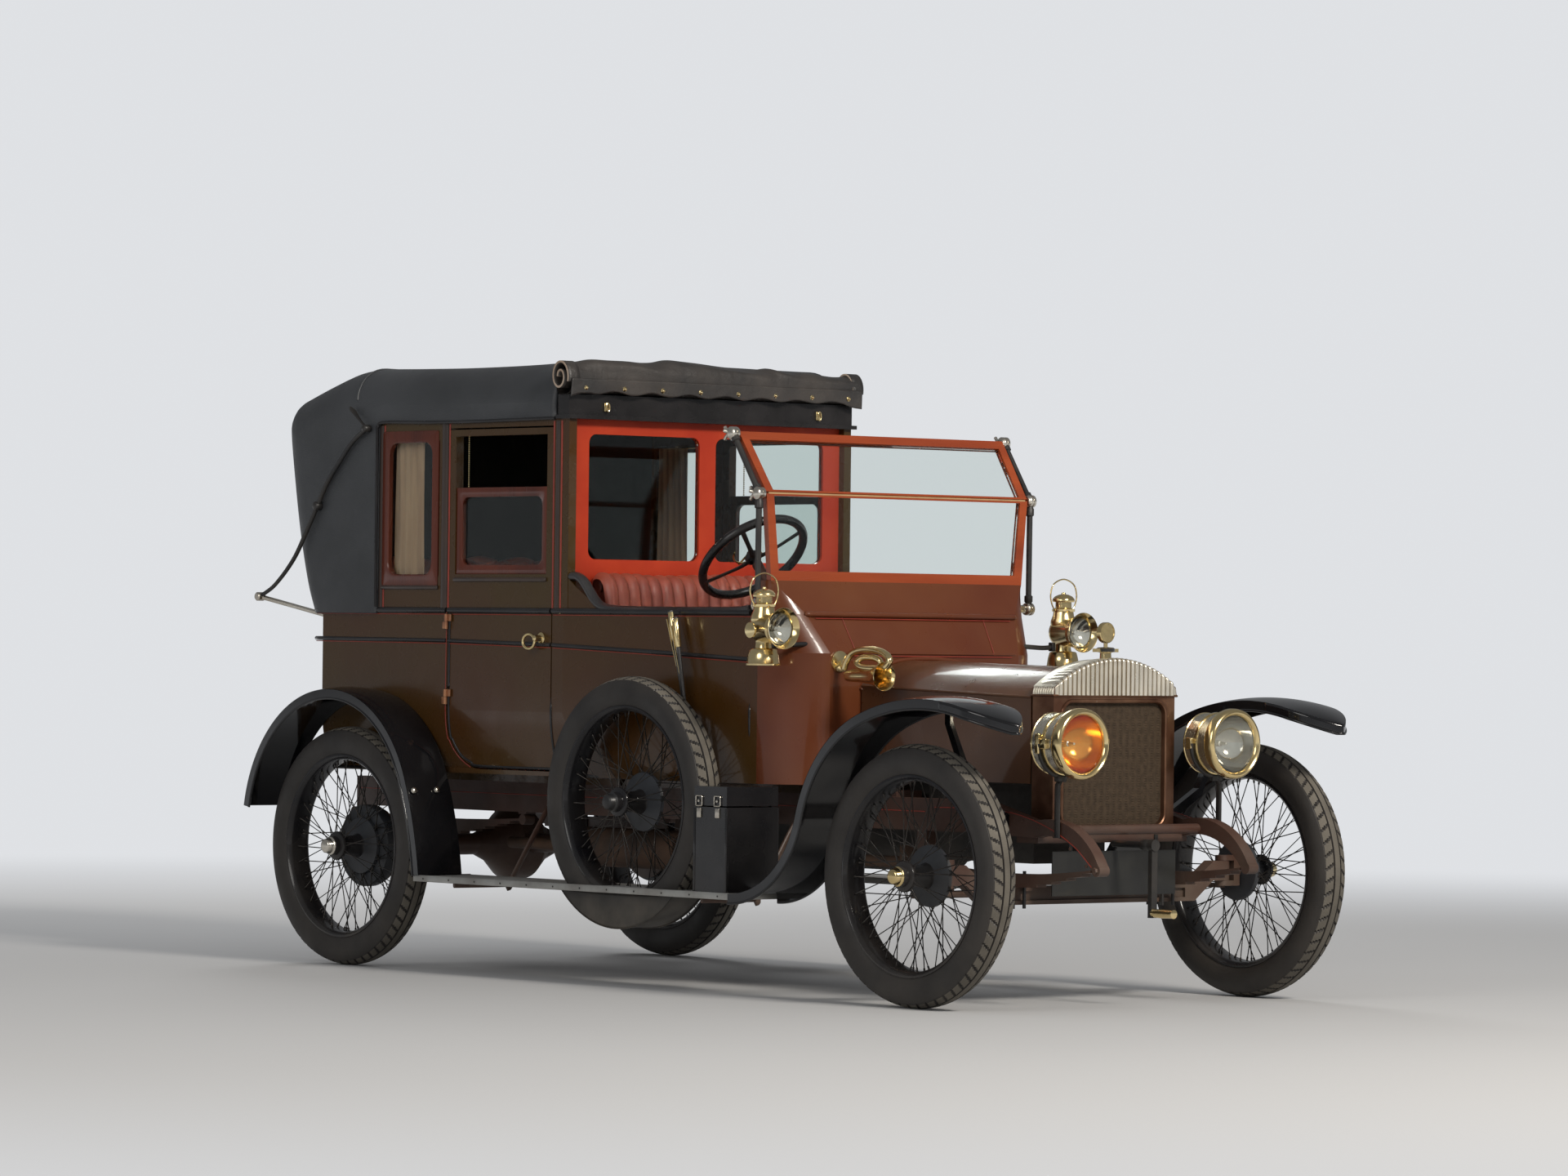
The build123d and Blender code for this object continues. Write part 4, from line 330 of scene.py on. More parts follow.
def finish(name, base, second, blotch=2.5, rough=(0.3, 0.45), roughScale=9.0, stretch=(1, 1, 1),
           soft=None, grain=None, pores=None, specks=None, dust=None, **shader):
    # soft, grain and pores are bumps: scale, height in metres. specks: colour, scale, share.
    # dust: colour, from z, to z, most.
    mat = bpy.data.materials.new(name)
    mat.use_nodes = True
    tree = mat.node_tree
    tree.nodes.clear()
    body = newNode(tree, "ShaderNodeBsdfPrincipled")
    newNode(tree, "ShaderNodeOutputMaterial", {0: body.outputs[0]})
    place = newNode(tree, "ShaderNodeTexCoord").outputs["Object"]
    blend = ramped(tree, noiseAt(tree, place, blotch, 5.0, stretch), 0.35, 0.65)
    colour = mixColour(tree, blend, (*base, 1), (*second, 1))
    if specks:
        tint, scale, share = specks
        spots = ramped(tree, noiseAt(tree, place, scale, 3.0), 0.78 - share, 0.8 - share)
        colour = mixColour(tree, spots, colour, (*tint, 1))
    if dust:
        tint, top, bottom, most = dust
        height = newNode(tree, "ShaderNodeSeparateXYZ", {0: place}).outputs["Z"]
        fall = newNode(tree, "ShaderNodeMapRange",
                       {"Value": height, "From Min": top, "From Max": bottom, "To Max": most}).outputs[0]
        patchy = newNode(tree, "ShaderNodeMath",
                         {0: fall, 1: ramped(tree, noiseAt(tree, place, 6.0), 0.25, 0.7)}, operation="MULTIPLY")
        colour = mixColour(tree, patchy.outputs[0], colour, (*tint, 1))
    tree.links.new(colour, body.inputs["Base Color"])
    gloss = newNode(tree, "ShaderNodeMapRange",
                    {"Value": noiseAt(tree, place, roughScale, 4.0, stretch), "From Min": 0.3, "From Max": 0.7,
                     "To Min": rough[0], "To Max": rough[1]}).outputs[0]
    tree.links.new(gloss, body.inputs["Roughness"])
    normal = None
    for kind, bump in (("soft", soft), ("grain", grain), ("pores", pores)):
        if not bump:
            continue
        scale, height = bump
        if kind == "pores":
            source = newNode(tree, "ShaderNodeTexVoronoi", {"Vector": place, "Scale": scale}).outputs["Distance"]
        else:
            source = noiseAt(tree, place, scale, 4.0, stretch if kind == "grain" else (1, 1, 1))
        inputs = {"Height": source, "Distance": height, "Strength": 1.0}
        if normal:
            inputs["Normal"] = normal
        normal = newNode(tree, "ShaderNodeBump", inputs).outputs[0]
    if normal:
        tree.links.new(normal, body.inputs["Normal"])
    for key, value in shader.items():
        body.inputs[key.replace("_", " ")].default_value = value
    return mat


roadDust = (0.24, 0.2, 0.15)
cleanCoat = {"Specular_IOR_Level": 0.25, "Coat_Weight": 0.3, "Coat_Roughness": 0.06}
paint = {
    "maroon": finish("coachMaroon", (0.098, 0.024, 0.009), (0.130, 0.042, 0.014), 1.6, (0.26, 0.42),
                     specks=((0.22, 0.12, 0.08), 160.0, 0.0), soft=(3.0, 0.0015), **cleanCoat),
    "panel": finish("coachPanel", (0.056, 0.020, 0.005), (0.054, 0.030, 0.005), 1.3, (0.2, 0.36),
                    specks=((0.16, 0.1, 0.06), 150.0, -0.01), dust=(roadDust, 0.95, 0.6, 0.08), soft=(3.0, 0.0015),
                    **cleanCoat),
    "bonnet": finish("bonnetMaroon", (0.062, 0.024, 0.010), (0.094, 0.042, 0.018), 2.4, (0.25, 0.42),
                     specks=((0.3, 0.22, 0.17), 140.0, 0.01), soft=(4.0, 0.001), **cleanCoat),
    "post": finish("postPaint", (0.04, 0.03, 0.026), (0.055, 0.036, 0.028), 4.0, (0.3, 0.45), **cleanCoat),
    "vermilion": finish("vermilion", (0.36, 0.024, 0.006), (0.44, 0.040, 0.010), 5.0, (0.45, 0.6),
                        Specular_IOR_Level=0.25),
    "black": finish("glossBlack", (0.008, 0.008, 0.009), (0.014, 0.014, 0.016), 3.0, (0.16, 0.34),
                    dust=(roadDust, 0.8, 0.35, 0.05), soft=(5.0, 0.001), **cleanCoat),
    "bead": finish("beading", (0.012, 0.011, 0.012), (0.02, 0.019, 0.02), 6.0, (0.22, 0.4), **cleanCoat),
    "redLine": finish("redLine", (0.30, 0.034, 0.018), (0.24, 0.026, 0.015), 9.0, (0.35, 0.5)),
    "chassis": finish("chassisBrown", (0.062, 0.023, 0.014), (0.042, 0.018, 0.012), 5.0, (0.35, 0.6),
                      specks=((0.2, 0.12, 0.08), 90.0, 0.02), dust=(roadDust, 0.75, 0.3, 0.35),
                      soft=(40.0, 0.0006)),
    "iron": finish("blackIron", (0.012, 0.012, 0.013), (0.03, 0.026, 0.022), 8.0, (0.3, 0.5),
                   specks=((0.16, 0.1, 0.07), 110.0, 0.0), soft=(60.0, 0.0004)),
    "engine": finish("engineIron", (0.06, 0.058, 0.055), (0.1, 0.09, 0.08), 7.0, (0.5, 0.75), soft=(70.0, 0.001),
                     Metallic=0.6),
    "exhaust": finish("sootedIron", (0.07, 0.05, 0.04), (0.14, 0.08, 0.05), 8.0, (0.6, 0.8), soft=(90.0, 0.0008),
                      Metallic=0.5),
    "mahogany": finish("mahogany", (0.34, 0.064, 0.016), (0.22, 0.036, 0.010), 7.0, (0.2, 0.34), 12.0, (1, 0.12, 1),
                       grain=(60.0, 0.0003), **cleanCoat),
    "uprightMahogany": finish("uprightMahogany", (0.33, 0.062, 0.018), (0.19, 0.032, 0.011), 7.0, (0.2, 0.34), 12.0,
                              (1, 1, 0.12), grain=(60.0, 0.0003), **cleanCoat),
    "darkWood": finish("darkMahogany", (0.115, 0.026, 0.013), (0.07, 0.017, 0.010), 7.0, (0.2, 0.34), 12.0,
                       (1, 1, 0.12), grain=(60.0, 0.0003), **cleanCoat),
    "ebony": finish("ebonised", (0.012, 0.011, 0.011), (0.022, 0.02, 0.02), 8.0, (0.2, 0.35), **cleanCoat),
    "boardTop": finish("boardTop", (0.3, 0.3, 0.29), (0.2, 0.19, 0.175), 5.0, (0.5, 0.7), 8.0, (0.15, 1, 1),
                       specks=((0.12, 0.09, 0.07), 60.0, 0.03), grain=(90.0, 0.0006)),
    "boardEdge": finish("boardEdge", (0.42, 0.42, 0.4), (0.3, 0.29, 0.27), 9.0, (0.35, 0.5), Metallic=0.8),
    "brass": finish("brass", (0.86, 0.70, 0.38), (0.74, 0.57, 0.28), 6.0, (0.12, 0.26), 14.0, soft=(18.0, 0.0004),
                    Metallic=1.0),
    "paleBrass": finish("paleBrass", (0.80, 0.77, 0.68), (0.68, 0.63, 0.50), 7.0, (0.2, 0.34), 14.0, Metallic=1.0),
    "gloss": finish("edgeBlack", (0.004, 0.004, 0.005), (0.008, 0.008, 0.009), 3.0, (0.07, 0.18),
                    Specular_IOR_Level=0.35, Coat_Weight=0.4, Coat_Roughness=0.05),
    "well": finish("wellPaint", (0.012, 0.012, 0.012), (0.03, 0.026, 0.022), 6.0, (0.4, 0.6),
                   dust=(roadDust, 0.35, 0.2, 0.4)),
    "tan": finish("tanStrip", (0.42, 0.26, 0.12), (0.32, 0.19, 0.09), 9.0, (0.4, 0.55)),
    "dial": finish("dialFace", (0.62, 0.58, 0.48), (0.5, 0.46, 0.38), 30.0, (0.2, 0.3)),
    "nickel": finish("nickel", (0.74, 0.7, 0.62), (0.6, 0.55, 0.47), 7.0, (0.18, 0.34), 14.0, Metallic=1.0),
    "tankNickel": finish("tankNickel", (0.82, 0.77, 0.66), (0.7, 0.64, 0.52), 6.0, (0.26, 0.4), 14.0,
                         soft=(26.0, 0.0004), Metallic=0.85),
    "copper": finish("copperyBrass", (0.13, 0.058, 0.034), (0.24, 0.13, 0.078), 9.0, (0.28, 0.5), 22.0,
                     specks=((0.62, 0.52, 0.4), 60.0, 0.05), soft=(30.0, 0.0006), Metallic=0.85),
    "core": finish("coreTubes", (0.042, 0.030, 0.020), (0.062, 0.043, 0.028), 60.0, (0.5, 0.7),
                   Specular_IOR_Level=0.12),
    # Near black for the gaps between the core's tube rows: painted shade
    "coreGapPaintedShade": finish("coreGapPaintedShade", (0.004, 0.003, 0.003), (0.007, 0.005, 0.005), 30.0, (0.6, 0.8),
                      Specular_IOR_Level=0.03),
    # Darker metal for the tank's flute grooves: painted shade
    "groove": finish("tankGroovePaintedShade", (0.34, 0.28, 0.19), (0.22, 0.17, 0.11), 12.0, (0.35, 0.5), Metallic=0.7),
    "hood": finish("hoodLeather", (0.029, 0.031, 0.034), (0.043, 0.046, 0.050), 2.0, (0.42, 0.6), 6.0,
                   soft=(7.0, 0.004), pores=(420.0, 0.0006), Coat_Weight=0.12, Coat_Roughness=0.3),
    "roll": finish("rollLeather", (0.022, 0.02, 0.019), (0.05, 0.042, 0.036), 5.0, (0.38, 0.6), 8.0,
                   soft=(22.0, 0.004), pores=(380.0, 0.0006), Coat_Weight=0.15, Coat_Roughness=0.3),
    "seat": finish("seatLeather", (0.40, 0.085, 0.045), (0.30, 0.060, 0.034), 6.0, (0.3, 0.48), 10.0,
                   specks=((0.46, 0.2, 0.13), 70.0, 0.01), soft=(30.0, 0.0015), pores=(500.0, 0.0004),
                   Coat_Weight=0.25, Coat_Roughness=0.2),
    "seatRoll": finish("seatRoll", (0.014, 0.013, 0.014), (0.03, 0.028, 0.028), 8.0, (0.28, 0.45),
                       pores=(450.0, 0.0004), Coat_Weight=0.3, Coat_Roughness=0.2),
    "blind": finish("blindSilk", (0.55, 0.34, 0.2), (0.42, 0.24, 0.14), 4.0, (0.6, 0.8), 9.0, (8, 1, 0.6),
                    grain=(60.0, 0.001)),
    "rubber": finish("rubber", (0.015, 0.013, 0.012), (0.026, 0.022, 0.019), 5.0, (0.5, 0.7),
                     dust=(roadDust, 0.9, 0.0, 0.07), soft=(120.0, 0.0004)),
    "tread": finish("treadRubber", (0.13, 0.115, 0.092), (0.085, 0.075, 0.06), 7.0, (0.75, 0.92),
                    soft=(150.0, 0.0008)),
    "enamel": finish("wheelEnamel", (0.009, 0.009, 0.011), (0.016, 0.015, 0.016), 6.0, (0.2, 0.38),
                     dust=(roadDust, 0.75, 0.1, 0.12), **cleanCoat),
    "drum": finish("drumPaint", (0.014, 0.017, 0.022), (0.026, 0.03, 0.037), 7.0, (0.35, 0.5),
                   dust=(roadDust, 0.8, 0.2, 0.12)),
    "amber": finish("amberBowl", (0.75, 0.3, 0.06), (0.9, 0.45, 0.1), 8.0, (0.12, 0.22), Metallic=1.0),
    "bowl": finish("lampBowl", (0.62, 0.6, 0.55), (0.4, 0.38, 0.34), 8.0, (0.08, 0.18), Metallic=1.0),
    "plate": finish("plateBlack", (0.012, 0.012, 0.012), (0.02, 0.02, 0.018), 9.0, (0.3, 0.45)),
    "spoke": finish("spokeSteel", (0.03, 0.028, 0.027), (0.06, 0.052, 0.045), 40.0, (0.25, 0.4), Metallic=0.7),
    "lining": finish("hoodLining", (0.012, 0.011, 0.01), (0.02, 0.018, 0.016), 6.0, (0.8, 0.95)),
    "cream": finish("creamLining", (0.45, 0.36, 0.28), (0.3, 0.22, 0.16), 9.0, (0.7, 0.9)),
    "hingeBrass": finish("hingeBrass", (0.30, 0.13, 0.07), (0.42, 0.2, 0.1), 30.0, (0.3, 0.5), Metallic=0.6),
    "carpet": finish("carpet", (0.05, 0.03, 0.022), (0.07, 0.045, 0.03), 12.0, (0.85, 0.95), pores=(300.0, 0.002)),
}


def glassFinish(name, tint):
    mat = bpy.data.materials.new(name)
    mat.use_nodes = True
    tree = mat.node_tree
    body = tree.nodes["Principled BSDF"]
    place = newNode(tree, "ShaderNodeTexCoord").outputs["Object"]
    film = noiseAt(tree, place, 5.0)
    smear = newNode(tree, "ShaderNodeMapRange", {"Value": film, "From Min": 0.4, "From Max": 0.8,
                                                 "To Min": 0.01, "To Max": 0.05})
    tree.links.new(smear.outputs[0], body.inputs["Roughness"])
    body.inputs["Base Color"].default_value = (*tint, 1)
    body.inputs["Transmission Weight"].default_value = 1.0
    body.inputs["IOR"].default_value = 1.25
    return mat


paint["glass"] = glassFinish("windowGlass", (0.80, 0.86, 0.84))
paint["lens"] = glassFinish("lampGlass", (0.95, 0.96, 0.93))

# The record's slot that each paint belongs to
usualSlot = {
    "coach_maroon": "maroon post bead", "vermilion": "redLine", "mahogany": "darkWood tan",
    "hood_leather": "hood roll", "seat_leather": "seat seatRoll blind", "tyre_rubber": "rubber",
    "wheel_enamel": "enamel spoke drum",
    "lamp_brass": "brass paleBrass hingeBrass amber bowl dial", "radiator_brass": "tankNickel copper",
    "radiator_tubes": "core", "black_iron": "iron nickel gloss black well ebony", "board_wood": "boardTop boardEdge",
    "chassis_paint": "chassis",
}
usualSlot = {kind: slot for slot, kinds in usualSlot.items() for kind in kinds.split()}

nodePaint = {
    "maroon": ["scuttle"],
    "ebony": ["header_board", "steering_wheel"],
    "panel": ["rear_body", "door_rear_left", "door_rear_right", "front_body", "door_front_left"],
    "bonnet": ["bonnet_top_left", "bonnet_side_left", "bonnet_right"],
    "vermilion": ["division_frame"],
    "mahogany": ["windscreen_frame"],
    "glass": ["fixed_glass", "door_glass_left", "door_glass_right"],
    "lens": ["lamp_glass"],
    "gloss": ["mudguards_front", "mudguards_rear"],
    "black": ["toolbox", "toolbox_lid"],
    "iron": ["body_irons", "hand_levers", "starting_handle"],
    "chassis": ["frame", "springs", "front_axle", "knuckle_left", "knuckle_right", "track_rod", "rear_axle",
                "steering_column"],
    "engine": ["engine"],
    "exhaust": ["exhaust"],
    "brass": ["headlamps", "side_lamps", "horn", "filler_cap"],
    "copper": ["radiator_shell"],
    "core": ["radiator_core"],
    "hood": ["hood"],
    "roll": ["canopy_roll"],
    "seat": ["front_seat", "rear_seat"],
    "rubber": ["tyre_front_left", "tyre_front_right", "tyre_rear_left", "tyre_rear_right", "spare_tyre"],
    "enamel": ["wheel_front_left", "wheel_front_right", "wheel_rear_left", "wheel_rear_right", "spare_wheel"],
    "boardTop": ["running_boards"],
    "plate": ["number_plate"],
}
for kind, names in nodePaint.items():
    for name in names:
        for slot in cadNodes[name].material_slots:
            slot.material = paint[kind]
        if not cadNodes[name].material_slots:
            cadNodes[name].data.materials.append(paint[kind])
print("materials set on", sum(len(names) for names in nodePaint.values()), "nodes")


# Body line: where the coachwork's outer face lies, for beads, lines and fittings
body = {"half": 0.665, "nose": 0.600, "divisionX": 1.125, "scuttleX": 2.130, "rearX": -0.445, "corner": 0.12,
        "turnZ": 0.950, "lowZ": 0.720, "turnUnder": 0.045}


def bodySide(x, z):
    # straight to the division, drawn in to the scuttle, rounded behind: R - sqrt(R^2 - d^2), and turned under below
    x, z = np.broadcast_arrays(np.asarray(x, float), np.asarray(z, float))
    share = np.clip((x - body["divisionX"]) / (body["scuttleX"] - body["divisionX"]), 0, 1)
    half = body["half"] + (body["nose"] - body["half"]) * share
    back = np.clip(body["rearX"] + body["corner"] - x, 0, body["corner"])
    half = half - body["corner"] + np.sqrt(body["corner"] ** 2 - back ** 2)
    below = np.clip((body["turnZ"] - z) / (body["turnZ"] - body["lowZ"]), 0, 1)
    return half - body["turnUnder"] * below ** 1.94


def onBody(flat, side, out):
    # Points given as x, z, put on the body's face or a little out from it
    x, z = flat.T
    return spread(x, side * (bodySide(x, z) + out), z)


def onSide(points, side, out=0.0, count=40):
    return onBody(curveThrough(points, count), side, out)


def straightOnSide(points, side, out=0.0, step=0.03):
    # The same, with straight runs and sharp corners
    points = np.asarray(points, float)
    runs = [a + (b - a) * np.linspace(0, 1, max(2, int(np.hypot(*(b - a)) / step)))[:, None]
            for a, b in zip(points, points[1:])]
    return onBody(np.vstack([runs[0]] + [run[1:] for run in runs[1:]]), side, out)


# Wheels: rim, hub, laced spokes and caps, all about the origin with the outer side at +Y
wheel = {
    "spokeRadius": 0.0019,
    # radius and place of the hub's holes, place across the rim, lead in degrees, number of spokes
    "rows": [(0.047, 0.064, 0.010, 13.0, 24), (0.096, -0.047, -0.010, 24.0, 24), (0.098, -0.054, -0.016, 33.0, 24)],
    "rimReach": 0.322,
    "rim": [(-0.049, 0.331), (-0.0475, 0.338), (-0.043, 0.3375), (-0.037, 0.3275), (0.037, 0.3275), (0.043, 0.3375),
            (0.0475, 0.338), (0.049, 0.331), (0.041, 0.3215), (0.031, 0.3175), (0.0, 0.3155), (-0.031, 0.3175),
            (-0.041, 0.3215), (-0.049, 0.331)],
    "cone": [(-0.060, 0.027), (-0.060, 0.100), (-0.055, 0.105), (-0.044, 0.103), (-0.034, 0.066), (-0.030, 0.044)],
    "barrel": [(-0.031, 0.045), (-0.02, 0.038), (0.046, 0.035), (0.054, 0.050), (0.058, 0.053), (0.066, 0.053),
               (0.070, 0.050), (0.073, 0.036), (0.090, 0.034), (0.094, 0.030)],
    "cap": [(0.090, 0.033), (0.094, 0.0335), (0.097, 0.029), (0.1, 0.0275), (0.116, 0.0255), (0.120, 0.022),
            (0.122, 0.017), (0.1225, 0.0)],
    "drum": [(-0.102, 0.136), (-0.102, 0.150), (-0.098, 0.1515), (-0.064, 0.1515), (-0.059, 0.148), (-0.0575, 0.1),
             (-0.057, 0.05)],
}
tread = {"blocks": 60, "samples": 8, "ribs": (0.0150, 0.0050), "ribDepth": 0.006, "cutShare": 0.14,
         "cutDepth": 0.0055, "slant": 16.0, "half": 0.0455}


def spokes():
    parts = []
    for hubRadius, hubY, rimY, lead, count in wheel["rows"]:
        k = np.arange(count)
        start = 2 * pi * k / count
        end = start + radians(lead) * np.where(k % 2, 1, -1)
        a = np.stack([hubRadius * np.cos(start), np.full(count, hubY), hubRadius * np.sin(start)], -1)
        b = np.stack([wheel["rimReach"] * np.cos(end), np.full(count, rimY), wheel["rimReach"] * np.sin(end)], -1)
        along = unit(b - a)
        side = unit(np.cross(along, yAxis))
        lift = np.cross(side, along)
        turn = np.linspace(0, 2 * pi, 6, endpoint=False)
        ring = (np.cos(turn)[:, None] * side[:, None] + np.sin(turn)[:, None] * lift[:, None])
        # A spoke's four rings: hub end, start of the nipple twice, and the rim
        stops = ((a, 1.0), (a + (b - a) * 0.93, 1.0), (a + (b - a) * 0.932, 1.9), (b, 1.9))
        points = np.stack([stop[:, None] + ring * wheel["spokeRadius"] * swell for stop, swell in stops], 1)
        parts += [gridSurface(one, False, True) for one in points]
    return joined(parts)


def tyreSkin():
    # r(y) = 0.440 - 0.0135 (y / 0.047)^2 on the tread, less the ribs' and the slanted cuts' depth
    wall = np.array([(0.326, 0.031), (0.334, 0.043), (0.350, 0.0525), (0.371, 0.0585), (0.392, 0.0588),
                     (0.408, 0.0553), (0.419, 0.0505), (0.4238, 0.0482), (0.4243, 0.0470)])
    across = np.linspace(-tread["half"], tread["half"], 41)
    steps = tread["blocks"] * tread["samples"]
    turn = np.linspace(0, 2 * pi, steps, endpoint=False)
    top = tyreRadius - 0.0135 * (across / 0.047) ** 2
    rib, ribWide = tread["ribs"]
    ribs = tread["ribDepth"] * (np.abs(np.abs(across) - rib) < ribWide / 2)
    phase = (turn[:, None] * tread["blocks"] / (2 * pi) + tread["slant"] * np.abs(across)[None]
             + 0.5 * (across[None] > 0)) % 1.0
    outer = (np.abs(across) > rib + 0.002)[None]
    cuts = tread["cutDepth"] * ((phase < tread["cutShare"]) & outer)
    depth = np.maximum(ribs[None], cuts)
    radius = np.concatenate([np.repeat(wall[None, :, 0], steps, 0), top[None] - depth,
                             np.repeat(wall[None, ::-1, 0], steps, 0)], 1)
    y = np.concatenate([-wall[:, 1], across, wall[::-1, 1]])
    points = np.stack([radius * np.cos(turn)[:, None], np.repeat(y[None], steps, 0),
                       radius * np.sin(turn)[:, None]], -1)
    corners, faces = gridSurface(points, True, False)
    column = faces[:, 0] % points.shape[1]
    # Dust lies on the blocks and not in the grooves between them
    clear = np.pad(depth, ((0, 0), (len(wall), len(wall)))).ravel()[faces].max(1) < 0.001
    dusty = (column >= len(wall)) & (column < len(wall) + len(across) - 1) & clear
    return corners, faces, dusty.astype(int)


def placed(part, x, y, z, side):
    points, faces = part
    return points * (side, side, 1) + at(x, y, z), faces


wheelPlaces = [
    # name, ahead of the rear axle, y, z, side, body, has a drum, cap's finish
    ("front_left", wheelbase, wheelSide, tyreRadius, 1, "wheel_front_left", False, "brass"),
    ("front_right", wheelbase, -wheelSide, tyreRadius, -1, "wheel_front_right", False, "brass"),
    ("rear_left", 0.0, wheelSide, tyreRadius, 1, "wheel_rear_left", True, "nickel"),
    ("rear_right", 0.0, -wheelSide, tyreRadius, -1, "wheel_rear_right", True, "nickel"),
    ("spare", *spareAt, -1, "chassis", False, "iron"),
]
lacing = spokes()
skinPoints, skinFaces, skinMats = tyreSkin()
turned = [lathe(wheel[kind], (0, 0, 0), yAxis, sides)
          for kind, sides in (("rim", 120), ("barrel", 40), ("cap", 24), ("cone", 56), ("drum", 72))]
for name, x, y, z, side, bodyName, hasDrum, capFinish in wheelPlaces:
    node, tyreNode = ("spare_wheel", "spare_tyre") if name == "spare" else ("wheel_" + name, "tyre_" + name)
    rim, barrel, cap, cone, drum, laces, cover = (placed(part, x, y, z, side)
                                                  for part in (*turned, lacing, (skinPoints, skinFaces)))
    piece("rim_" + name, [rim, barrel], "enamel", bodyName, (node,))
    piece("spokes_" + name, [laces], "spoke", bodyName, sharp=80)
    piece("hubcone_" + name, [cone, drum] if hasDrum else [cone], "drum", bodyName)
    piece("cap_" + name, [cap], capFinish, bodyName)
    piece("cover_" + name, [cover], ["rubber", "tread"], bodyName, (tyreNode,), faceMats=skinMats)
print("wheels and tyres built")


# Hood: a leather skin over the rear quarter and the roof, slack between its bows
hood = {
    # a side panel's cut is at most this wide
    "sideCut": 0.62,
    "half": 0.676, "edge": 0.150, "sideX": 0.020, "beltZ": 1.300, "cantZ": 2.002,
    # x, z along the middle of the roof from the front, over the two bows and down the back
    "line": [(1.075, 2.212), (0.80, 2.210), (0.45, 2.214), (0.10, 2.221), (-0.10, 2.222), (-0.22, 2.208),
             (-0.36, 2.170), (-0.50, 2.128), (-0.585, 2.098), (-0.622, 2.058), (-0.627, 2.010), (-0.603, 1.85),
             (-0.560, 1.62), (-0.505, 1.42), (-0.452, 1.300)],
    # the same stations on the sides, where the leather has turned over the edge
    "inner": [(1.075, 2.066), (0.80, 2.063), (0.45, 2.066), (0.12, 2.071), (-0.08, 2.070), (-0.18, 2.062),
              (-0.30, 2.032), (-0.40, 1.998), (-0.445, 1.978), (-0.466, 1.955), (-0.474, 1.922), (-0.456, 1.800),
              (-0.414, 1.590), (-0.364, 1.410), (-0.318, 1.300)],
    "sag": 0.012, "crease": 0.004, "thick": 0.02,
}


def hoodSkin():
    # corner = line(s) * (1 - w) + inner(s) * w, w = 1 - cos(bend): the line turned over the edge onto the inner line
    count, cols = 150, 61
    line = curveThrough(hood["line"], count)
    inner = curveThrough(hood["inner"], count)
    inward = unit(inner - line)
    s = np.linspace(0, 1, count)[:, None]
    half, radius = hood["half"], hood["edge"]
    flat = np.linspace(-(half - radius), half - radius, cols - 20)
    bend = np.linspace(0, pi / 2, 11)[1:]
    y = np.concatenate([-(half - radius) - radius * np.sin(bend[::-1]), flat, half - radius + radius * np.sin(bend)])
    over = np.concatenate([1 - np.cos(bend[::-1]), 0 * flat, 1 - np.cos(bend)])[None, :, None]
    roof = np.clip(1 - s / 0.55, 0, 1)
    sag = hood["sag"] * np.sin(pi * np.clip(s / 0.45, 0, 1)) ** 2 * (0.4 + 0.6 * np.cos(pi * y / half / 2)[None])
    dent = hood["crease"] * softNoise(5, 9 * s, 5 * y[None], waves=14, low=0.6, high=2.6) * (0.35 + roof)
    level = (sag - dent) * (1 - over[..., 0] * 0.9)
    flatPoints = line[:, None] * (1 - over) + inner[:, None] * over + inward[:, None] * level[..., None]
    return np.stack([flatPoints[..., 0], np.repeat(y[None], count, 0), flatPoints[..., 1]], -1)


def hoodSide(edge, side):
    # A ruled panel from the skin's lower edge in to the window's edge and the cant rail
    x = edge[:, 0]
    fan = np.cumsum(np.where(x < hood["sideX"], 1.0, 0.0))
    share = fan / fan[-1]
    inner = np.stack([np.maximum(x, hood["sideX"]), hood["cantZ"] + 0 * x], -1)
    inner[:, 1] = hood["cantZ"] - share * (hood["cantZ"] - hood["beltZ"])
    t = np.linspace(0, 1, 25)[None, :, None]
    flat = edge[:, None, [0, 2]] * (1 - t) + inner[:, None] * t
    bulge = 0.012 * np.sin(pi * t[..., 0]) * share[:, None]
    soft = 0.004 * softNoise(8 + (side > 0), 6 * flat[..., 0], 6 * flat[..., 1], waves=12, low=0.8, high=3.0)
    soft = soft * np.sin(pi * t[..., 0]) ** 0.7
    y = side * (hood["half"] + bulge * 0.6 + soft)
    return spread(flat[..., 0], y, flat[..., 1])


def gridSpans(grid):
    # A grid's mean length across and along, and its area
    down, over = np.diff(grid, axis=0), np.diff(grid, axis=1)
    area = np.linalg.norm(np.cross(down[:, :-1], over[:-1]), axis=-1).sum()
    return np.linalg.norm(over, axis=-1).sum(1).mean(), np.linalg.norm(down, axis=-1).sum(0).mean(), float(area)


skin = hoodSkin()
sides = [hoodSide(skin[:, -1], 1), hoodSide(skin[:, 0], -1)]
skin[..., 0] = ahead(skin[..., 0])
hoodPiece = piece("hoodSkin", [gridSurface(part) for part in (skin, *sides)], ["hood", "lining"], stands=("hood",),
                  sharp=60)
thicken(hoodPiece, hood["thick"], offset=-1, material_offset=1)
# The hide's cut: the roof and back in one length, and a side panel sewn to each edge
across, along, topArea = gridSpans(skin)
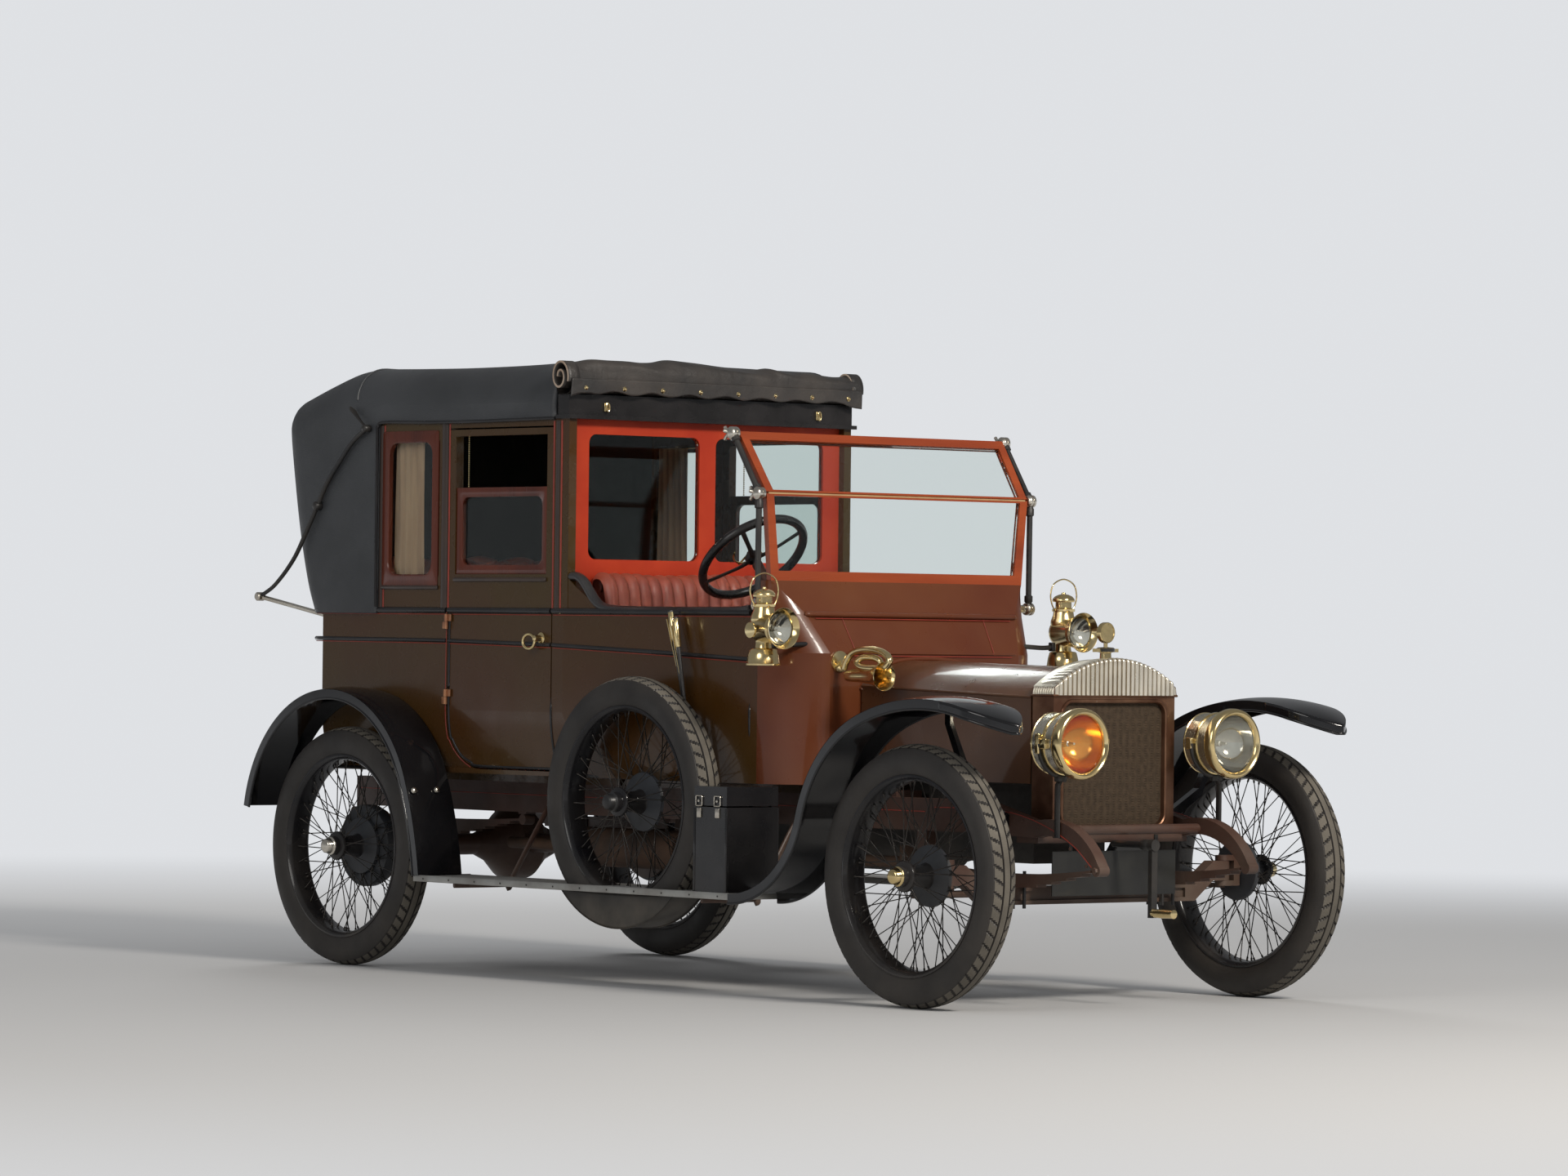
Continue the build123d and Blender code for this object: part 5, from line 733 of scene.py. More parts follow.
# Welts: the bound front edge, the window's edge, the belt and the seam over the rear bow
edgeLine = [(1.078, 2.004), (0.60, 2.0), (0.30, 2.002), (0.06, 2.006), (0.022, 1.990), (0.018, 1.95), (0.018, 1.55),
            (0.018, 1.325)]
for side, tag in bothSides:
    x, z = curveThrough(edgeLine, 90).T
    binding = tube(spread(x, side * (hood["half"] + 0.002), z), 0.006, 8, yAxis)
    piece("hoodBinding_" + tag, [binding], "bead")
bow = skin[np.argmin(np.abs(skin[:, 30, 0] - ahead(-0.13))), 1:-1] + (0, 0, 0.0015)
piece("hoodSeam", [tube(bow, 0.0035, 8, xAxis)], "hood")


# The driver's canopy, rolled up on the header board
canopy = {"x": 1.126, "z": 2.152, "halfX": 0.052, "halfZ": 0.062, "halfY": 0.675, "studs": 8,
          "flapTop": 2.146, "flapDrop": 0.050, "flapHalf": 0.685}


def canopyRoll():
    # corner = middle + (a cos u, b sin u) * (1 + folds), the folds running slantwise along the roll
    around = np.linspace(0, 2 * pi, 96, endpoint=False)
    along = np.linspace(-canopy["halfY"], canopy["halfY"], 240)
    u, y = np.meshgrid(around, along)
    bow = np.sign(np.cos(u)) * np.abs(np.cos(u)) ** 0.8, np.sign(np.sin(u)) * np.abs(np.sin(u)) ** 0.8
    folds = 0.16 * softNoise(21, 4.5 * y, 1.3 * np.cos(u), 1.3 * np.sin(u), waves=14, low=1.0, high=3.4)
    ridge = 0.17 * np.abs(np.sin(8.5 * y + 2.6 * np.sin(u) + 1.4 * softNoise(4, 5 * y, waves=6))) ** 3
    rise = 1 + folds + ridge * np.clip(np.sin(u), 0, 1)
    slump = 0.014 * (np.cos(pi * y / canopy["halfY"]) - 1) / 2
    x = canopy["x"] + canopy["halfX"] * bow[0] * rise
    z = canopy["z"] + canopy["halfZ"] * bow[1] * rise + slump * np.clip(np.sin(u), 0, 1)
    return spread(x, y, z)


def canopyFlap():
    # The free edge hangs over the board's front, waved a little between its studs
    y = np.linspace(-canopy["flapHalf"], canopy["flapHalf"], 220)[:, None]
    t = np.linspace(0, 1, 9)[None]
    tuck = np.clip((np.abs(y) - 0.60) / 0.085, 0, 1)
    wave = 0.0035 * np.sin(2 * pi * y / 0.174) + 0.003 * np.sin(37 * y + 1.0)
    z = canopy["flapTop"] + (wave - canopy["flapDrop"] - 0.020 * tuck) * t
    x = canopy["x"] + canopy["halfX"] + 0.005 - 0.004 * t + 0.002 * np.sin(29 * y) * t + 0 * y
    return spread(x, y, z)


def scroll(side):
    # The roll's end: a spiral strip, r = 0.016 + 0.0265 * turns
    turn = np.linspace(0, 1.55 * 2 * pi, 110)
    radius = 0.016 + 0.0265 * turn / (2 * pi)
    x = canopy["x"] - radius * np.cos(turn) * 0.95
    z = canopy["z"] + radius * np.sin(turn) * 1.15
    y = side * np.linspace(canopy["halfY"] - 0.03, canopy["halfY"] + 0.022, 4)
    return spread(x[:, None], y, z[:, None])


piece("canopyBody", [gridSurface(canopyRoll(), False, True)], "roll", stands=("canopy_roll",), sharp=70)
flap = piece("canopyFlap", [gridSurface(canopyFlap())], "roll", sharp=70)
thicken(flap, 0.004)
drop, width, _ = gridSpans(canopyFlap())
for side, tag in bothSides:
    end = piece("canopyScroll_" + tag, [gridSurface(scroll(side))], ["roll", "cream"], sharp=70)
    thicken(end, 0.008, material_offset_rim=1)
studProfile = [(-0.004, 0.009), (0.001, 0.009), (0.003, 0.006), (0.006, 0.0055), (0.009, 0.003), (0.0095, 0.0)]
studs = [lathe(studProfile, at(canopy["x"] + canopy["halfX"] + 0.006, y, 2.113), xAxis, 16)
         for y in np.linspace(-0.62, 0.62, canopy["studs"])]
piece("canopyStuds", studs, "brass")
# Two hasps on the header board's face, each a plate with a ring
hasps = []
turn = np.linspace(0, 2 * pi, 20)[:-1]
for y in (-0.50, 0.50):
    hasps.append(roundedBlock(at(1.147, y - 0.009, 2.030), at(1.154, y + 0.009, 2.064), 0.003))
    hasps.append(tube(spread(1.160, y + 0.008 * np.cos(turn), 2.046 + 0.016 * np.sin(turn)), 0.0025, 8, xAxis, True))
piece("headerHasps", hasps, "brass")
print("hood and canopy built")


# Seats: leather over springs, pleated in front and buttoned behind
seatWork = {"frontHalf": 0.552, "pleats": 21, "backSwell": 0.013, "cushionSwell": 0.010, "rearHalf": 0.538,
            "buttons": 12}


def upholstered(profile, count, y, levels):
    # corner = profile(s) + level * normal(s), closed by a plain face between the profile's own ends
    line = curveThrough(profile, count)
    slope = unit(np.gradient(line, axis=0))
    level = levels(np.linspace(0, 1, count)[:, None], y[None])
    front = spread(line[:, :1] - slope[:, 1:] * level, y[None], line[:, 1:] + slope[:, :1] * level)
    return [gridSurface(front), gridSurface(front[::count - 1])]


def pleatedPanel(profile, swell, seed, half=seatWork["frontHalf"], pleats=seatWork["pleats"]):
    # level = swell * |sin(pi y / pitch)|^0.55, settled where people sit
    def levels(s, y):
        bulge = swell * np.abs(np.sin(pi * pleats * (y + half) / (2 * half))) ** 0.55
        fade = np.sin(pi * np.clip(s * 1.04, 0, 1)) ** 0.25
        edge = np.clip((half - np.abs(y)) / 0.02, 0, 1) ** 0.5
        wrinkle = 0.0022 * softNoise(seed, 10 * s, 24 * y, waves=14, low=0.8, high=2.4)
        settle = 0.008 * np.exp(-((np.abs(y) - 0.27) / 0.12) ** 2) * np.sin(pi * s)
        return (bulge + wrinkle) * fade * edge - 0.012 * (1 - edge) - settle

    return upholstered(profile, 56, np.linspace(-half, half, pleats * 12 + 1), levels)


def buttonedPanel(profile, swell, seed, up, half=seatWork["rearHalf"], across=seatWork["buttons"]):
    # level = swell * |sin(pi (a + b)) sin(pi (a - b))|^0.4: diamonds between buttons
    def levels(s, y):
        a = (y + half) / (2 * half) * across
        b = s * up
        puff = np.abs(np.sin(pi * (a + b) / 2) * np.sin(pi * (a - b) / 2)) ** 0.4
        edge = np.clip((half - np.abs(y)) / 0.03, 0, 1) ** 0.5
        ends = np.sin(pi * np.clip(b / up * 1.02, 0, 1)) ** 0.3
        wrinkle = 0.002 * softNoise(seed, 9 * (b / up), 12 * y, waves=12)
        return (swell * puff + wrinkle) * edge * ends - 0.014 * (1 - edge)

    return upholstered(profile, 90, np.linspace(-half, half, 181), levels)


backLine = [(1.290, 1.120), (1.262, 1.190), (1.246, 1.270), (1.236, 1.340), (1.222, 1.405), (1.196, 1.436),
            (1.160, 1.440), (1.140, 1.425), (1.132, 1.380)]
seatLine = [(1.290, 1.118), (1.330, 1.132), (1.420, 1.136), (1.520, 1.130), (1.590, 1.116), (1.622, 1.090),
            (1.630, 1.050), (1.628, 0.990)]
rearBackLine = [(-0.395, 1.300), (-0.378, 1.44), (-0.350, 1.498), (-0.315, 1.495), (-0.290, 1.42), (-0.268, 1.30),
                (-0.245, 1.16)]
rearSeatLine = [(-0.245, 1.150), (-0.18, 1.160), (-0.05, 1.158), (0.06, 1.146), (0.115, 1.120), (0.127, 1.07),
                (0.120, 0.95), (0.112, 0.76)]
for name, panel, stands, fill in (
        ("frontSeatBack", pleatedPanel(backLine[::-1], seatWork["backSwell"], 3), ("front_seat",), 0.8),
        ("frontSeatCushion", pleatedPanel(seatLine, seatWork["cushionSwell"], 6), (), 0.75),
        ("rearSeatBack", buttonedPanel(rearBackLine, 0.022, 9, 5), ("rear_seat",), 0.8),
        ("rearSeatCushion", buttonedPanel(rearSeatLine, 0.020, 12, 6), (), 0.75)):
    piece(name, panel, "seat", stands=stands, sharp=70)
print("seats built")


# Coachwork: windows, blinds, beads, lines, hinges and handles
coach = {
    "belt": 1.313, "waist": [(-0.44, 1.206), (0.40, 1.203), (1.05, 1.192), (1.60, 1.172), (2.10, 1.150)],
    "beadRadius": 0.0075, "lineRadius": 0.0016,
}
# A door's outline on the side, as x and z from the belt at its rear, round its foot, and up to the belt again
doorEdge = [(0.447, 1.306), (0.447, 0.90), (0.462, 0.838), (0.497, 0.786), (0.547, 0.752), (0.60, 0.739),
            (1.02, 0.739), (1.059, 0.745), (1.059, 0.80), (1.059, 1.306)]


def roundedRing(width, height, corner, count=14):
    # A rounded rectangle about the origin, as s and h
    turn = np.linspace(0, pi / 2, count)
    points = []
    for k, (sx, sz) in enumerate(((1, 1), (-1, 1), (-1, -1), (1, -1))):
        a = turn + k * pi / 2
        points.append(np.stack([sx * (width / 2 - corner) + corner * np.cos(a),
                                sz * (height / 2 - corner) + corner * np.sin(a)], -1))
    return np.vstack(points)


def sideFrame(middle, outer, inner, side, face, rise):
    # Rings from the frame's outer edge, up its face and down into the glass; each is (size, height above the face)
    (w, h, c), (w2, h2, c2) = outer, inner
    rings = [((w, h, c), -0.004), ((w, h, c), rise * 0.7), ((w - 0.006, h - 0.006, c), rise),
             ((w2 + 0.008, h2 + 0.008, c2 + 0.004), rise), ((w2, h2, c2), rise * 0.5), ((w2, h2, c2), -0.016)]
    flat = [(roundedRing(*size) + middle, height) for size, height in rings]
    return gridSurface(np.stack([spread(ring[:, 0], side * (face + height), ring[:, 1]) for ring, height in flat]),
                       False, True)


bodyHalf = body["half"]
for side, tag in bothSides:
    door = "door_rear_" + tag
    # Quarter window: a polished frame round the glass, let into the panel; and the dropped sash of the door
    for name, middle, outer, inner, into, rise, owner in (
            ("quarterFrame", (0.210, 1.6865), (0.340, 0.572, 0.010), (0.262, 0.484, 0.045), 0.003, 0.007, "chassis"),
            ("sashFrame", (0.753, 1.6025), (0.538, 0.315, 0.003), (0.470, 0.247, 0.032), 0.009, 0.006, door)):
        border = sideFrame(middle, outer, inner, side, bodyHalf - into, rise)
        piece(name + "_" + tag, [border], "darkWood", owner)
    # Window sills: a rounded rail below each opening
    for name, x0, x1, z, owner in (("quarterSill", 0.040, 0.386, 1.398, "chassis"),
                                   ("doorSill", 0.480, 1.026, 1.427, door)):
        low = at(x0, side * (bodyHalf - 0.012), z - 0.009)
        high = at(x1, side * (bodyHalf + 0.009), z + 0.006)
        piece(name + "_" + tag, [roundedBlock(low, high, 0.0055)], "post", owner)
    # Posts and pilasters: half-round mouldings with a red line beside each
    z = np.linspace(1.322, 1.995, 12)
    for name, x, width, lines in (("rearPost", 0.031, 0.012, (0.050,)), ("midPost", 0.420, 0.019, (0.446,)),
                                  ("lockPost", 1.084, 0.012, (1.062, 1.106))):
        post = tube(spread(x, side * (bodyHalf - 0.002), z), width, 16, xAxis, wide=0.55)
        piece(name + "_" + tag, [post], "post")
        strips = [tube(spread(line, side * (bodyHalf + 0.0005), z), 0.0042, 8, xAxis, wide=0.5) for line in lines]
        piece(name + "Line_" + tag, strips, "redLine")
    # The belt, the waist and the bottom of the body: half-round beads, as name, x at both ends and owner
    belt, waist = coach["belt"], np.array(coach["waist"])
    beads = [("belt", -0.44, 0.438, "chassis"), ("beltDoor", 0.452, 1.055, door),
             ("beltFront", 1.066, 1.678 if side > 0 else 2.095, "chassis"),
             ("beltFrontDoor", 1.688, 2.096, "door_front_left"),
             ("waist", -0.44, 0.438, "chassis"), ("waistDoor", 0.452, 1.055, door),
             ("waistFront", 1.066, 1.678 if side > 0 else 2.110, "chassis"),
             ("waistFrontDoor", 1.688, 2.096, "door_front_left")]
    for name, x0, x1, owner in beads:
        if owner == "door_front_left" and side < 0:
            continue
        x = np.linspace(x0, x1, 7)
        line = [(x0, belt), (x1, belt)] if name[:4] == "belt" else list(zip(x, np.interp(x, *waist.T)))
        radius = coach["beadRadius"] * (1.5 if name[:4] == "belt" else 1.0)
        piece(name + "_" + tag, [tube(straightOnSide(line, side), radius, 14)], "bead", owner)
        thin = straightOnSide([(x, z - radius - 0.003) for x, z in line], side, 0.0004)
        piece(name + "Line_" + tag, [tube(thin, coach["lineRadius"], 6)], "redLine", owner)
    feet = [straightOnSide([(x, 0.727) for x in run], side, 0.001) for run in ((-0.43, 0.40), (1.07, 1.60, 2.10))]
    piece("footBead_" + tag, [tube(path, 0.009, 12) for path in feet], "bead")
    # The door's overlapping edge moulding and the red line beside it
    inset = [(0.447 + (x - 0.447) * 0.985 + 0.010, z + (0.008 if z < 0.76 else 0)) for x, z in doorEdge]
    piece("doorEdge_" + tag, [tube(onSide(inset, side, -0.001, 120), 0.0058, 10)], "bead", door)
    corner = [(0.438, 1.306), (0.438, 0.90), (0.452, 0.832), (0.490, 0.777), (0.545, 0.741)]
    piece("doorLine_" + tag, [tube(onSide(corner, side, 0.0, 70), 0.0022, 6)], "redLine")
    # Polished hinges over the plain ones
    for z in (1.272, 0.997):
        for name, z0, z1, x0, x1, owner in (("fixed", z - 0.028, z, 0.4215, 0.447, "chassis"),
                                            ("swing", z, z + 0.028, 0.447, 0.4725, door)):
            leaf = roundedBlock(at(x0, side * (bodyHalf + 0.0035), z0 + 0.001),
                                at(x1, side * (bodyHalf + 0.0075), z1 - 0.001), 0.0015)
            barrel = lathe([(0, 0), (0, 0.0078), (0.026, 0.0078), (0.026, 0)],
                           at(0.447, side * (bodyHalf + 0.009), z0 + 0.001), zAxis, 20)
            piece(f"hinge_{name}_{tag}_{int(z * 1000)}", [leaf, barrel], "hingeBrass", owner)
    # Ring handle on its rose, near the lock edge
    middle = at(0.965, side * (bodyHalf + 0.030), 1.203)
    turn = np.linspace(0, 2 * pi, 40, endpoint=False)
    ring = middle + np.stack([0.034 * np.cos(turn), 0 * turn, 0.026 * np.sin(turn)], -1)
    rose = lathe([(-0.031, 0), (-0.031, 0.021), (-0.026, 0.021), (-0.022, 0.011), (-0.002, 0.009), (0.004, 0.010),
                  (0.006, 0)], middle + (0.036, 0, 0.012), (0, side, 0), 24)
    piece("doorHandle_" + tag, [tube(ring, 0.0055, 12, yAxis, True), rose], "brass", door)


# Silk blinds drawn across the rear half of each quarter window
blind = {"rearX": 0.070, "width": 0.176, "topZ": 1.945, "drop": 0.515, "pitch": 0.036, "inside": 0.040}


def blindSheet(side):
    # y = wave * sin(2 pi x / pitch), the wave growing towards the foot
    share, down = np.linspace(0, 1, 90)[:, None], np.linspace(0, 1, 60)[None]
    x, z = blind["rearX"] + blind["width"] * share, blind["topZ"] - blind["drop"] * down
    wave = (0.0035 + 0.004 * down) * np.sin(2 * pi * x / blind["pitch"] + 0.6 * np.sin(7 * z))
    wave = wave + 0.002 * np.sin(19 * x + 4 * z)
    return spread(x + 0.014 * down * share, side * (bodyHalf - blind["inside"]) + wave, z)


for side, tag in bothSides:
    drop, span, _ = gridSpans(blindSheet(side))
    silk = piece("blind_" + tag, [gridSurface(blindSheet(side))], "blind", sharp=80)
    rodY = side * (bodyHalf - blind["inside"])
    rod = tube(spread(np.linspace(0.045, 0.375, 8), rodY, blind["topZ"] + 0.003), 0.004, 10)
    piece("blindRod_" + tag, [rod], "brass")
    # The sash chain hangs inside the door's opening
    chain = [lathe([(-0.0035, 0.0), (-0.002, 0.0028), (0.002, 0.0028), (0.0035, 0.0)],
                   at(0.545, side * (bodyHalf - 0.012), z), zAxis, 8) for z in np.linspace(1.965, 1.765, 26)]
    piece("sashChain_" + tag, chain, "brass", "door_rear_" + tag)

# The padded roll along the driver's side rail: black hide that falls from the division and runs to the screen
railLine = [(1.155, 1.438), (1.185, 1.436), (1.215, 1.420), (1.245, 1.388), (1.275, 1.355), (1.310, 1.332),
            (1.36, 1.322), (1.44, 1.318), (1.60, 1.316)]
frontRail = [(1.80, 1.316), (2.00, 1.318)]
for name, line, side, count, owner in (
        ("sideRoll_left", railLine + [(1.672, 1.316)], 1, 110, "chassis"),
        ("doorRoll_left", [(1.690, 1.316)] + frontRail + [(2.09, 1.324)], 1, 50, "door_front_left"),
        ("sideRoll_right", railLine + frontRail + [(2.08, 1.326)], -1, 110, "chassis")):
    roll = tube(onSide(line, side, -0.014, count), 0.0155, 16, wide=1.35)
    piece(name, [roll], "seatRoll", owner)
# Front door outlines: real on the left, only a moulding behind the spare wheel on the right
frontEdge = [(1.694, 1.30), (1.694, 0.76), (1.70, 0.747), (1.72, 0.742), (2.02, 0.742), (2.06, 0.752),
             (2.084, 0.776), (2.092, 0.81), (2.092, 1.30)]
for side, tag in bothSides:
    outline = tube(straightOnSide(frontEdge, side, -0.001), 0.0055, 10)
    piece("frontDoorEdge_" + tag, [outline], "bead", "door_front_left" if side > 0 else "chassis")

# Cowl: the arched lip behind the bonnet and fine lines on the scuttle's face
lipY = np.linspace(-0.300, 0.300, 50)
lip = tube(spread(2.334, lipY, 1.158 - 0.30 * lipY ** 2 - 10.15 * lipY ** 4), 0.009, 12, xAxis)
piece("cowlLip", [lip], "maroon")
# Two rolled edges cross the scuttle, each a nose that stands out over the panel below it
noses, cowlLines = [], []
for front, z, half, radius in ((2.3280, 1.176, 0.428, 0.0045), (2.2535, 1.309, 0.480, 0.011)):
    bend = [(front - 0.075, half + 0.012, z - 0.004), (front - 0.016, half - 0.006, z), (front, half - 0.045, z)]
    mirror = [(x, -y, height) for x, y, height in bend]
    path = curveThrough([*mirror, (front, 0.0, z), *bend[::-1]], 90)
    noses.append(tube(spread(*path.T), radius, 14, wide=1.4))
piece("cowlNoses", noses, "maroon")
for front, z, half in ((2.3330, 1.167, 0.405), (2.2655, 1.2955, 0.455)):
    cowlLines.append(tube(spread(front, np.linspace(-half, half, 30), z), 0.0018, 6))
for side in (1, -1):
    seam = [(2.2600, side * 0.330, 1.300), (2.2975, side * 0.326, 1.235), (2.3345, side * 0.322, 1.172)]
    cowlLines.append(tube(spread(*curveThrough(seam, 20).T), 0.0012, 6, yAxis))
piece("cowlLines", cowlLines, "redLine")

# Irons: an S-shaped iron on each side of the hood, and the windscreen's stays
ironWork = {"y": 0.694, "hoodRadius": 0.0085, "stayY": 0.634, "stayRadius": 0.0105}
hoodPivot, ironElbow, ironFoot = (-0.030, 1.985), (-0.330, 1.700), (-0.690, 1.360)
hoodCurve = [hoodPivot, (-0.115, 1.935), (-0.195, 1.862), (-0.272, 1.784), ironElbow, (-0.388, 1.618),
             (-0.476, 1.502), (-0.592, 1.406), ironFoot]
screenJoints = [(2.166, 1.340), (2.168, 1.726), (2.025, 1.936)]
irons, bright = [], []
for side in (1, -1):
    plane = side * ironWork["y"]
    x, z = curveThrough(hoodCurve, 90).T
    thick = ironWork["hoodRadius"] * np.interp(np.linspace(0, 1, 90), [0, 0.1, 0.45, 1], [1.25, 1, 1.1, 0.85])
    irons.append(tube(spread(x, plane, z), thick, 14, yAxis))
    for (x, z), r in ((hoodPivot, 0.0145), (ironElbow, 0.0165)):
        irons.append(lathe([(-0.015, 0.0), (-0.015, r * 0.8), (-0.011, r), (0.011, r), (0.015, r * 0.8),
                            (0.017, 0.004), (0.017, 0.0)], at(x, plane, z), (0, side, 0), 24))
    irons.append(tube([at(-0.030, side * 0.677, 1.985), at(-0.030, plane, 1.985)], 0.0115, 16))
    x, z = curveThrough([hoodPivot, (-0.075, 2.020), (-0.104, 2.044), (-0.130, 2.066)], 24).T
    wide = np.interp(np.linspace(0, 1, 24), [0, 0.45, 0.8, 1], [0.45, 0.8, 1.25, 0.5])
    section = ringSection(1.0, 14)[None] * np.stack([0.0035 + 0 * wide, 0.012 * wide], -1)[:, None]
    irons.append(alongPath(spread(x, plane, z), section, yAxis))
    end = at(ironFoot[0], plane, ironFoot[1])
    bright.append(lathe([(-0.018, 0.0), (-0.018, 0.012), (-0.013, 0.0165), (0.013, 0.0165), (0.018, 0.012),
                         (0.018, 0.0)], end, (0, side, 0), 24))
    bright.append(tube([end, at(-0.560, side * 0.633, 1.326), at(-0.400, side * 0.560, 1.284)], 0.0088, 14))
    for low, high in zip(screenJoints, screenJoints[1:]):
        ends = np.array([at(x, side * ironWork["stayY"], z) for x, z in (low, high)])
        share = np.array([0, 0.06, 0.07, 0.12, 0.13, 0.5, 0.86, 0.87, 0.93, 0.94, 1.0])
        swell = np.array([1.15, 1.15, 1.45, 1.45, 1.0, 1.0, 1.0, 1.45, 1.45, 1.15, 1.15])
        irons.append(tube(ends[0] + (ends[1] - ends[0]) * share[:, None], ironWork["stayRadius"] * swell, 20, yAxis))
    irons.append(tube([at(2.166, side * 0.545, 1.340), at(2.166, side * 0.640, 1.340)], 0.012, 16))
piece("sideIrons", irons, "iron", stands=("body_irons",), sharp=50)
piece("hoodIronFeet", bright, "nickel")
print("coachwork built")


# Brass lamps, horn and radiator
lamp = {"x": 3.528, "y": 0.352, "z": 0.885}


def lampShapes(side):
    # Drum with a raised diamond pattern: r = 0.1015 + 0.0014 * |sin(26 a + 480 x) sin(26 a - 480 x)|^0.7
    middle = at(lamp["x"], side * lamp["y"], lamp["z"])
    turn = np.linspace(0, 2 * pi, 208, endpoint=False)
    h = np.linspace(-0.152, -0.046, 54)
    a, x = np.meshgrid(turn, h)
    radius = 0.1015 + 0.0014 * np.abs(np.sin(26 * a + 480 * x) * np.sin(26 * a - 480 * x)) ** 0.7
    drum = gridSurface(np.stack([middle[0] + x, middle[1] + radius * np.cos(a), middle[2] + radius * np.sin(a)], -1),
                       False, True)
    shell = [
        lathe([(-0.190, 0), (-0.189, 0.036), (-0.180, 0.058), (-0.168, 0.085), (-0.158, 0.098), (-0.153, 0.1045),
               (-0.150, 0.1045), (-0.148, 0.1015)], middle, xAxis, 72),
        lathe([(-0.100, 0.1015), (-0.099, 0.106), (-0.090, 0.106), (-0.089, 0.1015)], middle, xAxis, 72),
        lathe([(-0.050, 0.1015), (-0.046, 0.108), (-0.040, 0.1155), (-0.030, 0.1195), (-0.016, 0.1195),
               (-0.006, 0.1175), (0.000, 0.1125), (0.0015, 0.1065), (-0.002, 0.1005), (-0.008, 0.0965),
               (-0.014, 0.0955), (-0.020, 0.096)], middle, xAxis, 96),
        # hinge lugs and the clamp screw at the fork
        roundedBlock(middle + (-0.120, side * 0.100, -0.035), middle + (-0.100, side * 0.118, 0.035), 0.006),
        roundedBlock(middle + (-0.100, side * 0.100, -0.018), middle + (-0.070, side * 0.114, 0.018), 0.005),
        roundedBlock(middle + (-0.130, -side * 0.118, -0.020), middle + (-0.100, -side * 0.100, 0.020), 0.006),
    ]
    bowl = lathe([(-0.020, 0.0955), (-0.045, 0.088), (-0.070, 0.072), (-0.090, 0.050), (-0.104, 0.024), (-0.108, 0)],
                 middle, xAxis, 72)
    burner = lathe([(-0.106, 0.012), (-0.080, 0.010), (-0.078, 0.006), (-0.052, 0.0045), (-0.050, 0.0)], middle,
                   xAxis, 24)
    return drum, shell, bowl, burner


def lampIrons(side):
    x, z = lamp["x"] - 0.106, lamp["z"]
    turn = np.linspace(pi, 2 * pi, 40)
    fork = spread(x, side * lamp["y"] + 0.1105 * np.cos(turn), z + 0.1105 * np.sin(turn))
    bend = np.array([(0.352, 0.770), (0.360, 0.764), (0.370, 0.750), (0.3735, 0.730), (0.3735, 0.570)])
    bracket = curveThrough(spread(x, side * bend[:, 0], bend[:, 1]), 30)
    return [tube(fork, 0.0075, 12, xAxis), alongPath(bracket, ringSection(1.0, 12) * (0.013, 0.006), yAxis),
            tube([at(x, side * lamp["y"], z - 0.110), at(x, side * lamp["y"], z - 0.128)], 0.014, 16, xAxis),
            roundedBlock(at(x - 0.012, side * 0.345, 0.758), at(x + 0.012, side * 0.381, 0.776), 0.004)]


drums, shells, irons = [], [], []
for side, tag in bothSides:
    drum, shell, bowl, burner = lampShapes(side)
    drums.append(drum)
    shells += shell
    irons += lampIrons(side)
    piece("lampBowl_" + tag, [bowl], "amber" if side < 0 else "bowl")
    piece("lampBurner_" + tag, [burner], "nickel")
piece("lampDrums", drums, "paleBrass", stands=("headlamps",), sharp=60)
piece("lampShells", shells, "brass")
piece("lampForks", irons, "iron")

